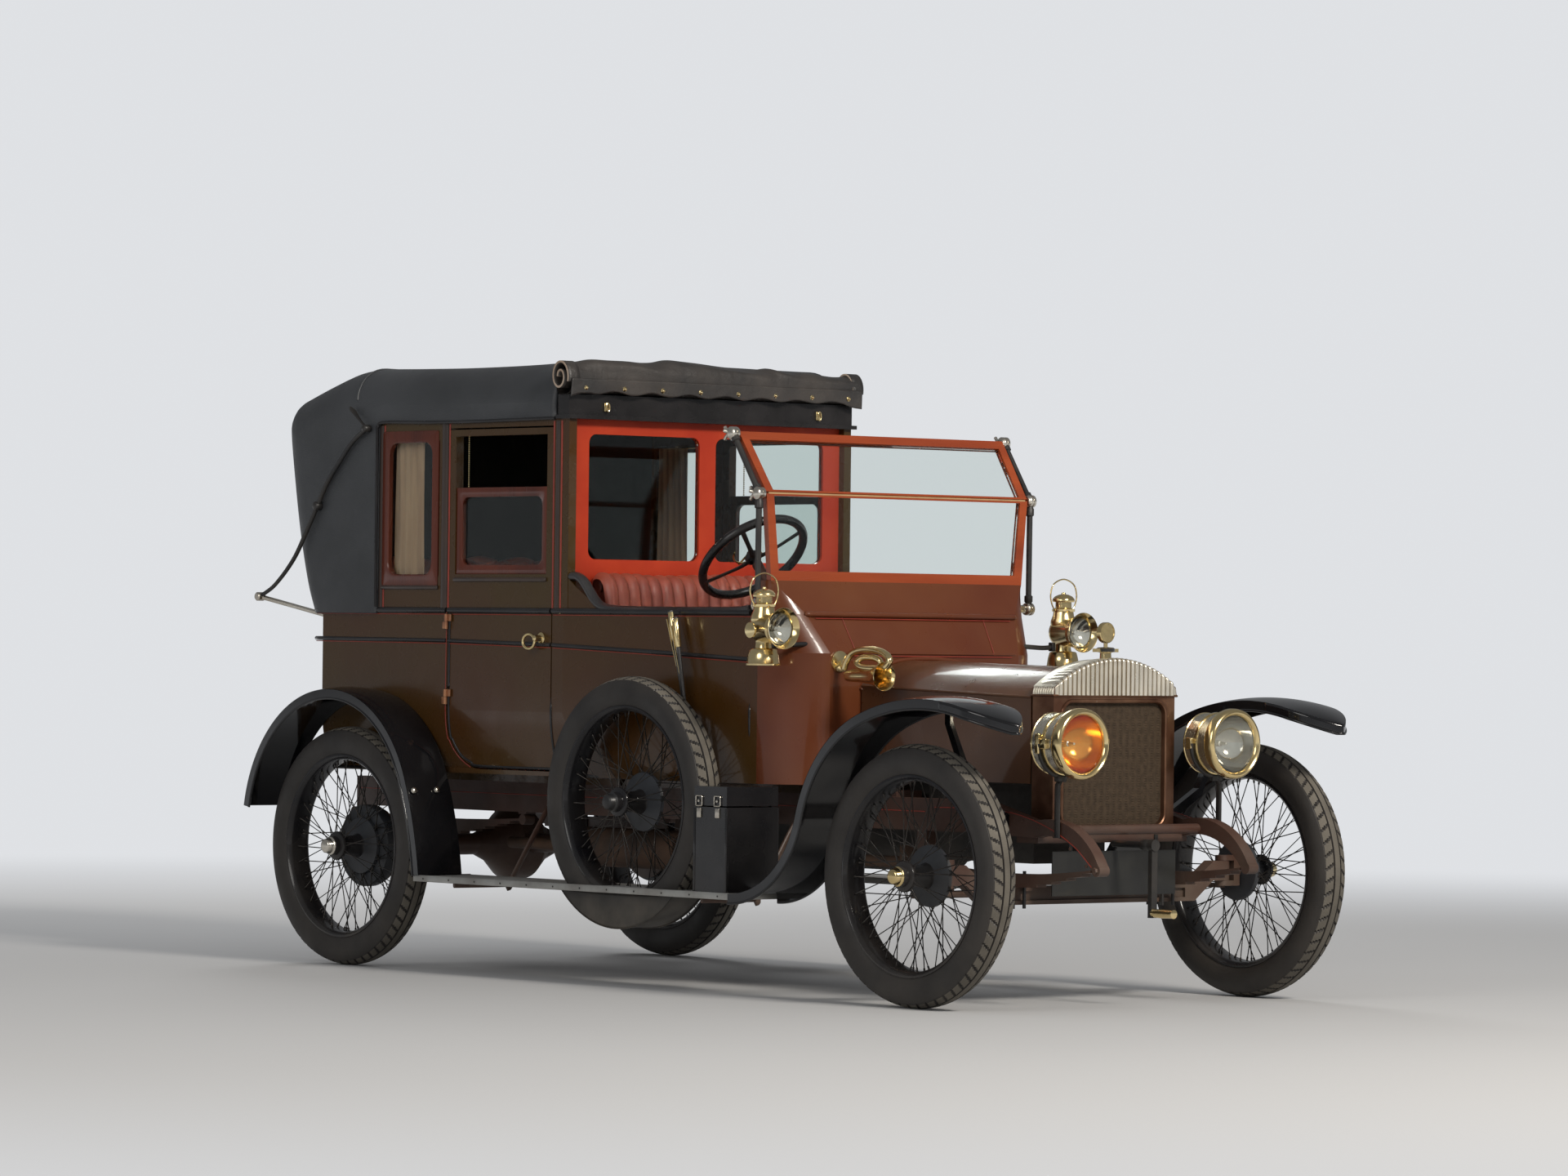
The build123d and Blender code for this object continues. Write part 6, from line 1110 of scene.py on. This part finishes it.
oil = {"x": 2.280, "y": 0.700, "lensX": 2.374, "lensZ": 1.258}
brassParts, ironParts, bowlParts = [], [], []
for side in (1, -1):
    foot = at(oil["x"], side * oil["y"], 0.0)
    stack = [(1.130, 0.0), (1.130, 0.058), (1.131, 0.061), (1.137, 0.061), (1.139, 0.058), (1.165, 0.054),
             (1.185, 0.049), (1.189, 0.044), (1.191, 0.030), (1.205, 0.028), (1.240, 0.030), (1.285, 0.046),
             (1.300, 0.045), (1.318, 0.038), (1.331, 0.036), (1.333, 0.041), (1.341, 0.0415), (1.343, 0.037),
             (1.346, 0.029), (1.366, 0.0285), (1.367, 0.039), (1.371, 0.0405), (1.378, 0.039), (1.387, 0.031),
             (1.393, 0.018), (1.395, 0.008), (1.400, 0.007), (1.402, 0.0)]
    brassParts.append(lathe(stack, foot, zAxis, 56))
    eye = at(oil["lensX"], side * oil["y"], oil["lensZ"])
    brassParts.append(lathe([(-0.140, 0.0), (-0.139, 0.020), (-0.134, 0.034), (-0.122, 0.045), (-0.105, 0.0505),
                             (-0.030, 0.0525), (-0.026, 0.0555), (-0.020, 0.0555), (-0.016, 0.0545),
                             (0.010, 0.0695), (0.0125, 0.0715), (0.014, 0.0705), (0.012, 0.0680),
                             (-0.008, 0.0535), (-0.012, 0.0520)], eye, xAxis, 56))
    bowlParts.append(lathe([(-0.011, 0.052), (-0.024, 0.040), (-0.038, 0.018), (-0.040, 0.008), (-0.030, 0.007),
                            (-0.029, 0.0)], eye, xAxis, 40))
    # A small round side light and the bail over the chimney
    brassParts.append(lathe([(0.055, 0.026), (0.063, 0.027), (0.066, 0.022), (0.064, 0.0)],
                            foot + (0, 0, 1.252), (0, side, 0), 32))
    across, high = curveThrough([(0.042, 1.336), (0.056, 1.358), (0.063, 1.392), (0.048, 1.430), (0.0, 1.448),
                                 (-0.048, 1.430), (-0.063, 1.392), (-0.056, 1.358), (-0.042, 1.336)], 60).T
    brassParts.append(tube(foot + np.stack([0 * across, across, high], -1), 0.0027, 10, xAxis))
    arm = [at(oil["x"], side * 0.650, 1.205), at(oil["x"], side * 0.600, 1.202), at(oil["x"], side * 0.530, 1.205),
           at(oil["x"] - 0.006, side * 0.470, 1.207)]
    ironParts.append(tube(curveThrough(arm, 24), 0.0085, 12))
    ironParts.append(roundedBlock(foot + (-0.012, -side * 0.062, 1.190), foot + (0.012, -side * 0.046, 1.222),
                                  0.004))
piece("oilLamps", brassParts, "brass", stands=("side_lamps",), sharp=50)
piece("oilReflectors", bowlParts, "bowl")
piece("oilArms", ironParts, "iron")

# Bugle: two oval loops of tube over a cone that ends in a flared bell
hornAt = {"x": 2.385, "y": -0.412, "z": 1.098}
# x, how far out from the cone's plane, z
hornPath = [(2.372, 0.000, 1.122), (2.384, 0.000, 1.148), (2.414, 0.000, 1.177), (2.470, 0.000, 1.190),
            (2.540, 0.000, 1.188), (2.594, 0.001, 1.172), (2.612, 0.004, 1.150), (2.592, 0.008, 1.130),
            (2.530, 0.010, 1.126), (2.470, 0.010, 1.130), (2.449, 0.008, 1.146), (2.470, 0.002, 1.162),
            (2.520, -0.006, 1.162), (2.548, -0.012, 1.148), (2.530, -0.014, 1.130), (2.470, -0.012, 1.118),
            (2.415, -0.006, 1.112), (2.396, 0.000, 1.102)]
x, out, z = np.array(hornPath).T
path = curveThrough(spread(x, hornAt["y"] - out, z), 190)
bore = np.interp(np.linspace(0, 1, len(path)), [0, 0.35, 1], [0.0115, 0.0125, 0.0095])
bell = lathe([(0.020, 0.0), (0.020, 0.014), (0.100, 0.0200), (0.140, 0.0265), (0.168, 0.0340), (0.186, 0.0415),
              (0.197, 0.0475), (0.1985, 0.0492), (0.197, 0.0505), (0.184, 0.0445), (0.166, 0.0370), (0.140, 0.0300),
              (0.100, 0.0245), (0.050, 0.0215), (0.012, 0.0195), (0.003, 0.0165), (0.0, 0.010), (0.0, 0.0)],
             at(hornAt["x"], hornAt["y"], hornAt["z"]), xAxis, 56)
bracket = [tube([at(2.332, -0.400, 1.147), at(2.345, -0.402, 1.140), at(2.372, hornAt["y"], 1.120)], 0.009, 12),
           lathe([(0.0, 0.0), (0.0, 0.038), (0.006, 0.037), (0.010, 0.024), (0.012, 0.0)], at(2.330, -0.400, 1.147),
                 xAxis, 32)]
piece("hornTube", [tube(path, bore, 16, yAxis)], "brass", stands=("horn",), sharp=70)
piece("hornBell", [bell] + bracket, "brass")

# Radiator: fluted top tank, flutes on its cheeks, rounded mouth, upright tubes in the core
tank = {"frontX": 3.3036, "low": 1.045, "half": 0.280, "edge": 1.072, "crest": 1.165, "pitch": 0.0206,
        "flutedHalf": 13 * 0.0206, "depth": 0.0095, "lip": 0.006}


def archTop(y):
    # A circle through the two shoulders and the crest
    rise = tank["crest"] - tank["edge"]
    radius = (tank["half"] ** 2 + rise ** 2) / (2 * rise)
    return tank["crest"] - radius + np.sqrt(radius ** 2 - np.minimum(np.abs(y), tank["half"]) ** 2)


def fluteWave(y):
    return np.abs(np.sin(pi * y / tank["pitch"])) ** 0.6


def flutedTank():
    # corner = path(t) + depth * |sin(pi y / pitch)|^0.6 * outward, fading behind the front edge
    y = np.linspace(-tank["half"], tank["half"], 381)
    flute = fluteWave(y) * (np.abs(y) < tank["flutedHalf"])
    crown = archTop(y) + 0.001
    lip, out = tank["lip"], tank["depth"] * flute
    rows = []
    for t in np.linspace(0, 1, 14)[:-1]:
        rows.append((tank["frontX"] + out, tank["low"] + t * (crown - lip - tank["low"])))
    for a in np.linspace(0, pi / 2, 9):
        rows.append((tank["frontX"] - lip + (lip + out) * np.cos(a), crown - lip + (lip + 0.7 * out) * np.sin(a)))
    for t in np.linspace(0, 1, 12)[1:]:
        fade = np.clip(1 - t / 0.75, 0, 1) ** 0.5
        rows.append((tank["frontX"] - lip - t * 0.104 + 0 * y, crown + 0.7 * out * fade))
    return np.stack([spread(x, y, z) for x, z in rows])


def cheek(side):
    # Nine flutes on the tank's side: y = 0.283 - 0.006 t + 0.0065 |sin(9 pi s)|^0.6 sin(pi (t + 0.12))^0.3
    x = np.linspace(3.196, 3.300, 109)
    flute = 0.0065 * np.abs(np.sin(pi * 9 * (x - 3.196) / 0.104)) ** 0.6
    t = np.linspace(0, 1, 8)[:, None]
    y = 0.2830 - 0.006 * t + flute * np.sin(pi * np.minimum(t + 0.12, 1)) ** 0.3
    return gridSurface(spread(x, side * y, tank["low"] + 0.003 + t * 0.028))


# The grooves of the front get a darker finish: painted shade in the flutes' hollows
tankPoints, tankFaces = gridSurface(flutedTank())
x, y, _ = tankPoints.T
paintedGrooveShade = (fluteWave(y) < 0.62) & (np.abs(y) < tank["flutedHalf"]) & (x > ahead(tank["frontX"] - 0.02))
piece("tankFlutes", [(tankPoints, tankFaces)], ["tankNickel", "groove"], sharp=75,
      faceMats=paintedGrooveShade[tankFaces].all(1).astype(int))
piece("tankCheeks", [cheek(1), cheek(-1)], "tankNickel", sharp=75)
mouthSize, mouthZ = (0.472, 0.418, 0.042), 0.813
mouth = []
for grow, x in ((0.010, 3.2985), (0.008, 3.3015), (0.002, 3.3025), (-0.002, 3.300), (-0.0035, 3.290),
                (-0.0035, 3.270)):
    width, height, corner = mouthSize
    y, z = roundedRing(width + 2 * grow, height + 2 * grow, corner + grow).T
    mouth.append(spread(x, y, mouthZ + z))
piece("radiatorMouth", [gridSurface(np.stack(mouth), False, True)], "copper")
piece("tankSeam", [roundedBlock(at(3.190, -0.2885, 1.040), at(3.306, 0.2885, 1.048), 0.0035)], "copper")
# Gilled tubes in upright rows: each row bellies out, and the gills cross it
core = {"half": 0.233, "rows": 16, "low": 0.607, "high": 1.019, "gills": 48, "depth": 0.0095, "gill": 0.0022}
y = np.linspace(-core["half"], core["half"], core["rows"] * 12 + 1)
z = np.linspace(core["low"], core["high"], core["gills"] * 4 + 1)[:, None]
belly = np.abs(np.sin(pi * core["rows"] * (y + core["half"]) / (2 * core["half"]))) ** 0.45
gillWave = np.sin(2 * pi * core["gills"] * (z - core["low"]) / (core["high"] - core["low"])) > 0.3
corePoints = spread(3.2735 + core["depth"] * belly + core["gill"] * gillWave * belly, y, z)
coreSkin = gridSurface(corePoints)
# The faces in the gaps between the rows get a near-black finish: painted shade between the tubes
paintedShadeFaces = np.tile(belly < 0.9, len(z))[coreSkin[1]].all(1)
piece("coreFace", [coreSkin], ["core", "coreGapPaintedShade"], sharp=70, faceMats=paintedShadeFaces.astype(int))
# The filler's neck and knob on the crest, and the round dial above them
capX, dialZ = 3.249, 1.257
for name, profile, z, axis, sides, mats in (
        ("fillerNeck", [(1.155, 0.026), (1.166, 0.026), (1.168, 0.020), (1.188, 0.019), (1.191, 0.022)],
         0, zAxis, 36, "brass"),
        ("fillerKnob", [(1.190, 0.0), (1.190, 0.024), (1.193, 0.031), (1.203, 0.032), (1.207, 0.026), (1.209, 0.0)],
         0, zAxis, 60, "ebony"),
        ("dialCase", [(-0.010, 0.0), (-0.010, 0.033), (-0.008, 0.0355), (0.008, 0.0355), (0.0105, 0.033),
                      (0.0105, 0.029), (0.008, 0.028)], dialZ, xAxis, 48, "brass"),
        ("dialFace", [(0.0085, 0.0), (0.0086, 0.028)], dialZ, xAxis, 40, "dial")):
    piece(name, [lathe(profile, at(capX, 0, z), axis, sides)], mats)
print("lamps, horn and radiator built")


# Mudguards: rolled and wired edges, and bolts
guard = {"outer": 0.865, "frontInner": 0.638, "rearInner": 0.668, "flange": 0.034, "tipX": 3.640,
         "valanceY": 0.772}


def tangentArc(start, direction, end, count=40):
    # Circle through start and end, tangent to direction at start; r = |d|^2 / (2 d . n)
    start, end = np.asarray(start, float), np.asarray(end, float)
    direction = unit(np.asarray(direction, float))
    normal = np.array((-direction[1], direction[0]))
    chord = end - start
    radius = chord @ chord / (2 * chord @ normal)
    middle = start + normal * radius
    first = np.arctan2(*(start - middle)[::-1])
    last = np.arctan2(*(end - middle)[::-1])
    turn = np.sign(radius)
    span = (last - first) * turn % (2 * pi) * turn
    a = first + span * np.linspace(0, 1, count)
    points = middle + abs(radius) * np.stack([np.cos(a), np.sin(a)], -1)
    tangent = turn * np.array((-np.sin(a[-1]), np.cos(a[-1])))
    return points, tangent


# Both guards' side profiles, as x and z along the crown: the front one from the board up over the wheel to its tip
footArc, slope = tangentArc((2.300, 0.350), (1, 0), (2.650, 0.622))
riseArc, slope = tangentArc(footArc[-1], slope, (2.961, 0.971))
crestArc, _ = tangentArc(riseArc[-1], slope, (3.640, 0.952), 60)
frontLine = np.vstack([footArc, riseArc[1:], crestArc[1:]])


def arcThrough(a, b, c, count=60):
    # The circle through three points, from a to c
    ax, ay, bx, by, cx, cy = *a, *b, *c
    d = 2 * (ax * (by - cy) + bx * (cy - ay) + cx * (ay - by))
    ux = ((ax * ax + ay * ay) * (by - cy) + (bx * bx + by * by) * (cy - ay) + (cx * cx + cy * cy) * (ay - by)) / d
    uy = ((ax * ax + ay * ay) * (cx - bx) + (bx * bx + by * by) * (ax - cx) + (cx * cx + cy * cy) * (bx - ax)) / d
    radius = np.hypot(ax - ux, ay - uy)
    first, last = np.arctan2(ay - uy, ax - ux), np.arctan2(cy - uy, cx - ux)
    mid = np.arctan2(by - uy, bx - ux)
    span = (last - first) % (2 * pi)
    if (mid - first) % (2 * pi) > span:
        span -= 2 * pi
    turn = first + span * np.linspace(0, 1, count)
    return np.stack([ux + radius * np.cos(turn), uy + radius * np.sin(turn)], -1), np.sign(span), turn[-1]


# The rear one, from behind the wheel over it and down to the board
crownArc, way, lastTurn = arcThrough((-0.540, 0.575), (-0.390, 0.862), (0.045, 1.014))
fallArc, slope = tangentArc(crownArc[-1], way * np.array((-np.sin(lastTurn), np.cos(lastTurn))), (0.455, 0.705))
heelArc, _ = tangentArc(fallArc[-1], slope, (0.548, 0.352))
rearLine = np.vstack([crownArc, fallArc[1:], heelArc[1:]])


def lowered(line, depth):
    # Points a given depth below the line, square to it; the line runs forward
    tangent = unit(np.gradient(line, axis=0))
    return line + np.stack([tangent[:, 1], -tangent[:, 0]], -1) * depth


def crowned(line, middle, half, swell, side):
    # A skin over a guard: line + normal * (swell * (1 - t^2) + 0.0008), with t from one edge, -1, to the other, 1
    t = np.linspace(-1, 1, 25)
    half, swell = (np.broadcast_to(value, len(line))[:, None] for value in (half, swell))
    tangent = unit(np.gradient(line, axis=0))
    lift = swell * (1 - t ** 2) + 0.0008
    return gridSurface(spread(line[:, :1] - tangent[:, 1:] * lift, side * (middle + half * t),
                              line[:, 1:] + tangent[:, :1] * lift))


guardMiddle = (guard["outer"] + guard["frontInner"]) / 2
guardHalf = (guard["outer"] - guard["frontInner"]) / 2
rearMiddle = (guard["outer"] + guard["rearInner"]) / 2
rearHalf = (guard["outer"] - guard["rearInner"]) / 2
# The leaf-shaped tip from above: half its width against x
leafArc, _, _ = arcThrough((guard["tipX"] - 0.270, guardHalf), (guard["tipX"] - 0.070, 0.66 * guardHalf),
                           (guard["tipX"], 0.0), 40)
leafArc[:, 1] = np.minimum(leafArc[:, 1], guardHalf)
leafOutline = np.vstack([leafArc, leafArc[-2::-1] * (1, -1)])
edges, skirts, crowns, bolts, valance = [], [], [], [], []
wire = 0.0048
tipStart = int(np.argmax(frontLine[:, 0] > leafArc[0, 0]))
boltAt = int(np.argmin(np.abs(rearLine[:, 1] - 0.655) + (rearLine[:, 0] < 0.3)))
outward = unit(rearLine[boltAt] - lowered(rearLine, 1.0)[boltAt])
for side in (1, -1):
    lowX, lowZ = lowered(frontLine, guard["flange"] - 0.001).T
    for y in (guard["outer"] - 0.001, guard["frontInner"] + 0.001):
        edges.append(tube(spread(lowX[:tipStart + 1], side * y, lowZ[:tipStart + 1]), wire, 10, yAxis))
    # The tip's turned-down edge, wired at its foot
    x, y = leafOutline.T
    foot = spread(x, side * (guardMiddle + y * 0.992), np.interp(x, lowX, lowZ))
    edges.append(tube(foot, wire, 10))
    head = spread(x + 0.001, side * (guardMiddle + y * 1.006), np.interp(x, *frontLine.T) - 0.001)
    below = np.concatenate([head[:, :2], foot[:, 2:]], -1)
    t = np.linspace(0, 1, 5)[:, None, None]
    skirts.append(gridSurface(head * (1 - t) + below * t))
    x, z = lowered(rearLine, guard["flange"] - 0.001).T
    edges.append(tube(spread(x, side * (guard["outer"] - 0.001), z), wire, 10, yAxis))
    # Crowned skins, whose swell fades towards the flanges and the tip
    line = frontLine[frontLine[:, 0] > 2.36]
    half = np.interp(line[:, 0], *leafArc.T) * 1.004
    crowns.append(crowned(line, guardMiddle, half, 0.011 * np.minimum(1, half / 0.11), side))
    crowns.append(crowned(rearLine, rearMiddle, rearHalf - 0.001, 0.009, side))
    for y, swell in ((0.841, 0.004), (0.741, 0.0085)):
        x, z = rearLine[boltAt] + outward * swell
        bolts.append(lathe([(-0.004, 0.0), (-0.004, 0.006), (0.006, 0.006), (0.007, 0.0125), (0.012, 0.011),
                            (0.0155, 0.006), (0.016, 0.0)], at(x, side * y, z), (outward[0], 0, outward[1]), 24))
    # A valance closes the gap between each rear guard and the body
    line = rearLine[rearLine[:, 0] > 0.02]
    inner = line - np.stack([0.165 * np.clip((1.014 - line[:, 1]) / 0.35, 0, 1), 0.03 + 0 * line[:, 0]], -1)
    t = np.linspace(0, 1, 6)[None, :, None]
    flat = line[:, None] * (1 - t) + inner[:, None] * t
    valance.append(gridSurface(spread(flat[..., 0], side * guard["valanceY"], flat[..., 1])))
piece("guardEdges", edges, "gloss", sharp=60)
thicken(piece("guardSkirts", skirts, "gloss", sharp=60), 0.0015)
piece("guardCrowns", crowns, "gloss", sharp=60)
thicken(piece("guardValance", valance, "black"), 0.003)
piece("guardBolts", bolts, "nickel")


# Running boards, the spare wheel's well and the toolbox
boards = {"rearX": 0.512, "frontX": 2.300, "inner": 0.600, "outer": 0.860, "low": 0.328, "top": 0.350}
rearX, frontX, inner, outer, low, top = boards.values()
decks, trims, under, screws = [], [], [], []
for side in (1, -1):
    decks.append(roundedBlock(at(rearX + 0.002, side * inner, low + 0.001),
                              at(frontX - 0.002, side * (outer - 0.003), top - 0.0005), 0.003))
    trims.append(roundedBlock(at(rearX, side * (outer - 0.006), low), at(frontX, side * outer, top + 0.002), 0.0022))
    for x in (rearX + 0.001, frontX - 0.007):
        trims.append(roundedBlock(at(x, side * inner, low), at(x + 0.006, side * outer, top + 0.0015), 0.002))
    for x in np.linspace(rearX + 0.06, frontX - 0.06, 12):
        screws.append(lathe([(-0.001, 0.0035), (0.0012, 0.0032), (0.0016, 0.0)], at(x, side * outer, (low + top) / 2),
                            (0, side, 0), 12))
    y, z = np.array([(0.3675, 0.631), (0.42, 0.585), (0.585, 0.328), (0.600, 0.322), (0.840, 0.322)]).T
    for x in (0.731, 2.131):
        under.append(alongPath(curveThrough(spread(x, side * y, z), 30), ringSection(1.0, 12) * (0.011, 0.0065),
                               xAxis))
piece("boardDecks", decks, "boardTop", stands=("running_boards",))
piece("boardTrims", trims, "boardEdge")
piece("boardScrews", screws, "iron")
piece("boardBrackets", under, "chassis")
# The spare wheel's well: an arc just outside the tyre with a turned edge, as offset across and lift, and its cheeks
wheelX, wheelY, wheelZ = spareAt
reach = 0.4403
dip = np.arcsin((wheelZ - 0.330) / reach)
turn = np.linspace(pi + dip, 2 * pi - dip, 70)
edge = [(-0.070, 0.004), (-0.066, 0.004), (-0.066, 0.0), (0.066, 0.0), (0.066, 0.004), (0.070, 0.004)]
pan = [spread(wheelX + (reach + lift) * np.cos(turn), wheelY + y, wheelZ + (reach + lift) * np.sin(turn))
       for y, lift in edge]
well = [gridSurface(np.stack(pan, 1))]
x, z = wheelX + (reach + 0.004) * np.cos(turn)[:, None], wheelZ + (reach + 0.004) * np.sin(turn)[:, None]
t = np.linspace(0, 1, 10)
well += [gridSurface(spread(x, wheelY + y, z * (1 - t) + 0.329 * t)) for y in (-0.068, 0.068)]
thicken(piece("spareWell", well, "well"), 0.002)
box = {"rearX": 2.099, "frontX": 2.273, "inner": 0.620, "outer": 0.850}
corners, latches, hasps = [], [], []
for x in (box["rearX"] - 0.003, box["frontX"] - 0.008):
    for y0, y1 in ((box["inner"] + 0.002, box["inner"] - 0.002), (box["outer"] + 0.002, box["outer"] - 0.008)):
        corners.append(roundedBlock(at(x, -y0, 0.351), at(x + 0.011, -y1, 0.640), 0.002))
for x in (2.128, 2.226):
    ringX, ringZ = roundedRing(0.032, 0.034, 0.004, 5).T
    latches.append(tube(spread(x + ringX, -box["outer"] - 0.004, 0.664 + ringZ), 0.0024, 8, yAxis, True))
    latches.append(lathe([(0.0, 0.0055), (0.005, 0.005), (0.006, 0.0)], at(x, -box["outer"] - 0.001, 0.664),
                         (0, -1, 0), 16))
    hasps.append(roundedBlock(at(x - 0.011, -box["outer"] - 0.0055, 0.606),
                              at(x + 0.011, -box["outer"] + 0.001, 0.639), 0.002))
piece("boxCorners", corners, "black")
piece("boxLatches", latches, "nickel", "toolbox_lid")
piece("boxHasps", hasps, "nickel")


# Windscreen: hinge strip, stays' knuckles and wing nuts
piece("screenStrip", [tube([at(2.176, -0.600, 1.726), at(2.176, 0.600, 1.726)], 0.0045, 10)], "tan")
knuckles = []
joint = [(-0.019, 0.0), (-0.019, 0.012), (-0.016, 0.020), (-0.012, 0.0225), (-0.004, 0.0225), (-0.003, 0.020),
         (0.003, 0.020), (0.004, 0.0225), (0.012, 0.0225), (0.016, 0.018), (0.018, 0.010), (0.0195, 0.0)]
for side in (1, -1):
    for x, z in screenJoints:
        middle = at(x, side * ironWork["stayY"], z)
        knuckles.append(lathe(joint, middle, (0, side, 0), 32))
        # The lowest joint has an arm to the frame, the others a wing nut
        if (x, z) == screenJoints[0]:
            knuckles.append(roundedBlock(middle + (-0.020, -side * 0.075, -0.014),
                                         middle + (0.012, -side * 0.020, 0.014), 0.005))
            continue
        for lean in (1, -1):
            wing = middle + np.array([(-0.020, 0, 0.0), (-0.036, 0, 0.010 * lean), (-0.046, 0, 0.022 * lean)])
            knuckles.append(tube(curveThrough(wing, 10), 0.006, 10, yAxis))
        knuckles.append(lathe([(0.014, 0.006), (0.030, 0.0085), (0.036, 0.006), (0.037, 0.0)], middle,
                              (-0.6, side * 0.5, 0.2), 16))
piece("screenKnuckles", knuckles, "nickel")


# Steering wheel, levers, starting handle and the chassis's trim
helm = {"middle": (1.693, -0.260, 1.512), "radius": 0.197, "slope": 47.0}
lean = radians(helm["slope"])
centre = at(*helm["middle"])
axis = np.array((-cos(lean), 0, sin(lean)))
rise = np.cross(axis, yAxis)


def onHelm(a, radius, up=0.0):
    # A place over the wheel's plane: centre + r (cos a * across + sin a * rise) + up * axis
    a = np.asarray(a)[..., None]
    return centre + radius * (np.cos(a) * yAxis + np.sin(a) * rise) + up * axis


rim = tube(onHelm(np.linspace(0, 2 * pi, 120, endpoint=False), helm["radius"]), 0.0160, 20, axis, True)
piece("helmRim", [rim], "ebony", "steering_wheel", stands=("steering_wheel",))
arms = []
width = np.interp(np.linspace(0, 1, 20), [0, 0.5, 1], [1.35, 0.95, 1.15])
section = ringSection(1.0, 14)[None] * np.stack([0.0085 * width, 0.0045 * width], -1)[:, None]
for k in range(4):
    a = radians(45 + 90 * k)
    path = [onHelm(a, 0.020, -0.010), onHelm(a, 0.060, -0.012), onHelm(a, 0.130, -0.006), onHelm(a, 0.188)]
    arms.append(alongPath(curveThrough(path, 20), section, axis))
piece("helmArms", arms, "iron", "steering_wheel")
hub = [lathe([(-0.014, 0.026), (-0.010, 0.030), (0.004, 0.030), (0.009, 0.024), (0.014, 0.022), (0.020, 0.014),
              (0.024, 0.013), (0.030, 0.0)], centre, axis, 40),
       lathe([(-0.118, 0.0), (-0.118, 0.0095), (-0.014, 0.0095)], centre, axis, 20)]
piece("helmHub", hub, "iron", "steering_wheel")
quadrant = [tube(onHelm(np.linspace(0.1, 0.95 * pi, 30), 0.062, 0.030), 0.0035, 8, axis),
            tube([onHelm(0, 0, 0.024), onHelm(pi / 2, 0.075, 0.034)], 0.0035, 8)]
piece("helmQuadrant", quadrant, "brass", "steering_wheel")
grips = []
for y, topX, topZ in ((-0.662, 1.726, 1.316), (-0.680, 1.776, 1.294)):
    tip = at(topX, y, topZ)
    down = unit(at(1.905, y, 0.600) - tip)
    grips.append(lathe([(-0.002, 0.0), (-0.001, 0.006), (0.006, 0.0105), (0.05, 0.0112), (0.10, 0.0105),
                        (0.106, 0.0085)], tip, down, 20))
    latch = [tip + down * along + (back, 0, 0) for along, back in ((0.03, -0.026), (0.12, -0.018), (0.20, -0.009))]
    grips.append(tube(curveThrough(latch, 14), 0.003, 8, yAxis))
piece("leverGrips", grips, "brass")
grip = lathe([(-0.004, 0.014), (0.0, 0.0152), (0.010, 0.0145), (0.048, 0.0158), (0.086, 0.0145), (0.098, 0.0152),
              (0.1, 0.0)], at(3.500, 0, 0.316), xAxis, 24)
piece("handleGrip", [grip], "brass")
boss = [lathe([(0.0, 0.016), (0.012, 0.019), (0.030, 0.019), (0.040, 0.015)], at(3.44, 0, 0.544), xAxis, 24),
        lathe([(-0.018, 0.0), (-0.018, 0.02), (0.004, 0.02), (0.006, 0.0)], at(3.502, 0, 0.544), xAxis, 24)]
piece("handleBoss", boss, "iron")
railSide = 0.3675
rivets, redLines, clips = [], [], []
for side in (1, -1):
    # Rivets and a red line down each dumb iron, a red line along the side rail, and the clips of the springs
    x, z = curveThrough([(2.80, 0.668), (3.05, 0.668), (3.22, 0.655), (3.38, 0.612), (3.50, 0.555), (3.585, 0.490)],
                        60).T
    redLines.append(tube(spread(x, side * (railSide + 0.0007), z - 0.012), 0.0014, 6, yAxis))
    redLines.append(tube(spread((-0.48, 0.6, 1.8, 2.75), side * (railSide + 0.0005), 0.640), 0.0014, 6, yAxis))
    for place in np.linspace(3.08, 3.56, 7):
        rivets.append(lathe([(-0.001, 0.006), (0.002, 0.0055), (0.004, 0.0)],
                            at(place, side * railSide, np.interp(place, x, z) - 0.030), (0, side, 0), 12))
    for place in (3.606, 2.734):
        rivets.append(lathe([(-0.002, 0.011), (0.006, 0.011), (0.0085, 0.0088), (0.009, 0.0)],
                            at(place, side * railSide, 0.467), (0, side, 0), 6))
    for axleX, z0, z1 in ((wheelbase, 0.326, 0.452), (0.0, 0.458, 0.550)):
        for x in (axleX - 0.035, axleX + 0.035):
            for y in (0.320, 0.370):
                clips.append(tube([at(x, side * y, z0), at(x, side * y, z1)], 0.006, 8, yAxis))
piece("chassisRivets", rivets, "chassis")
piece("chassisLines", redLines, "redLine")
piece("springClips", clips, "iron")
print("guards, boards and fittings built")
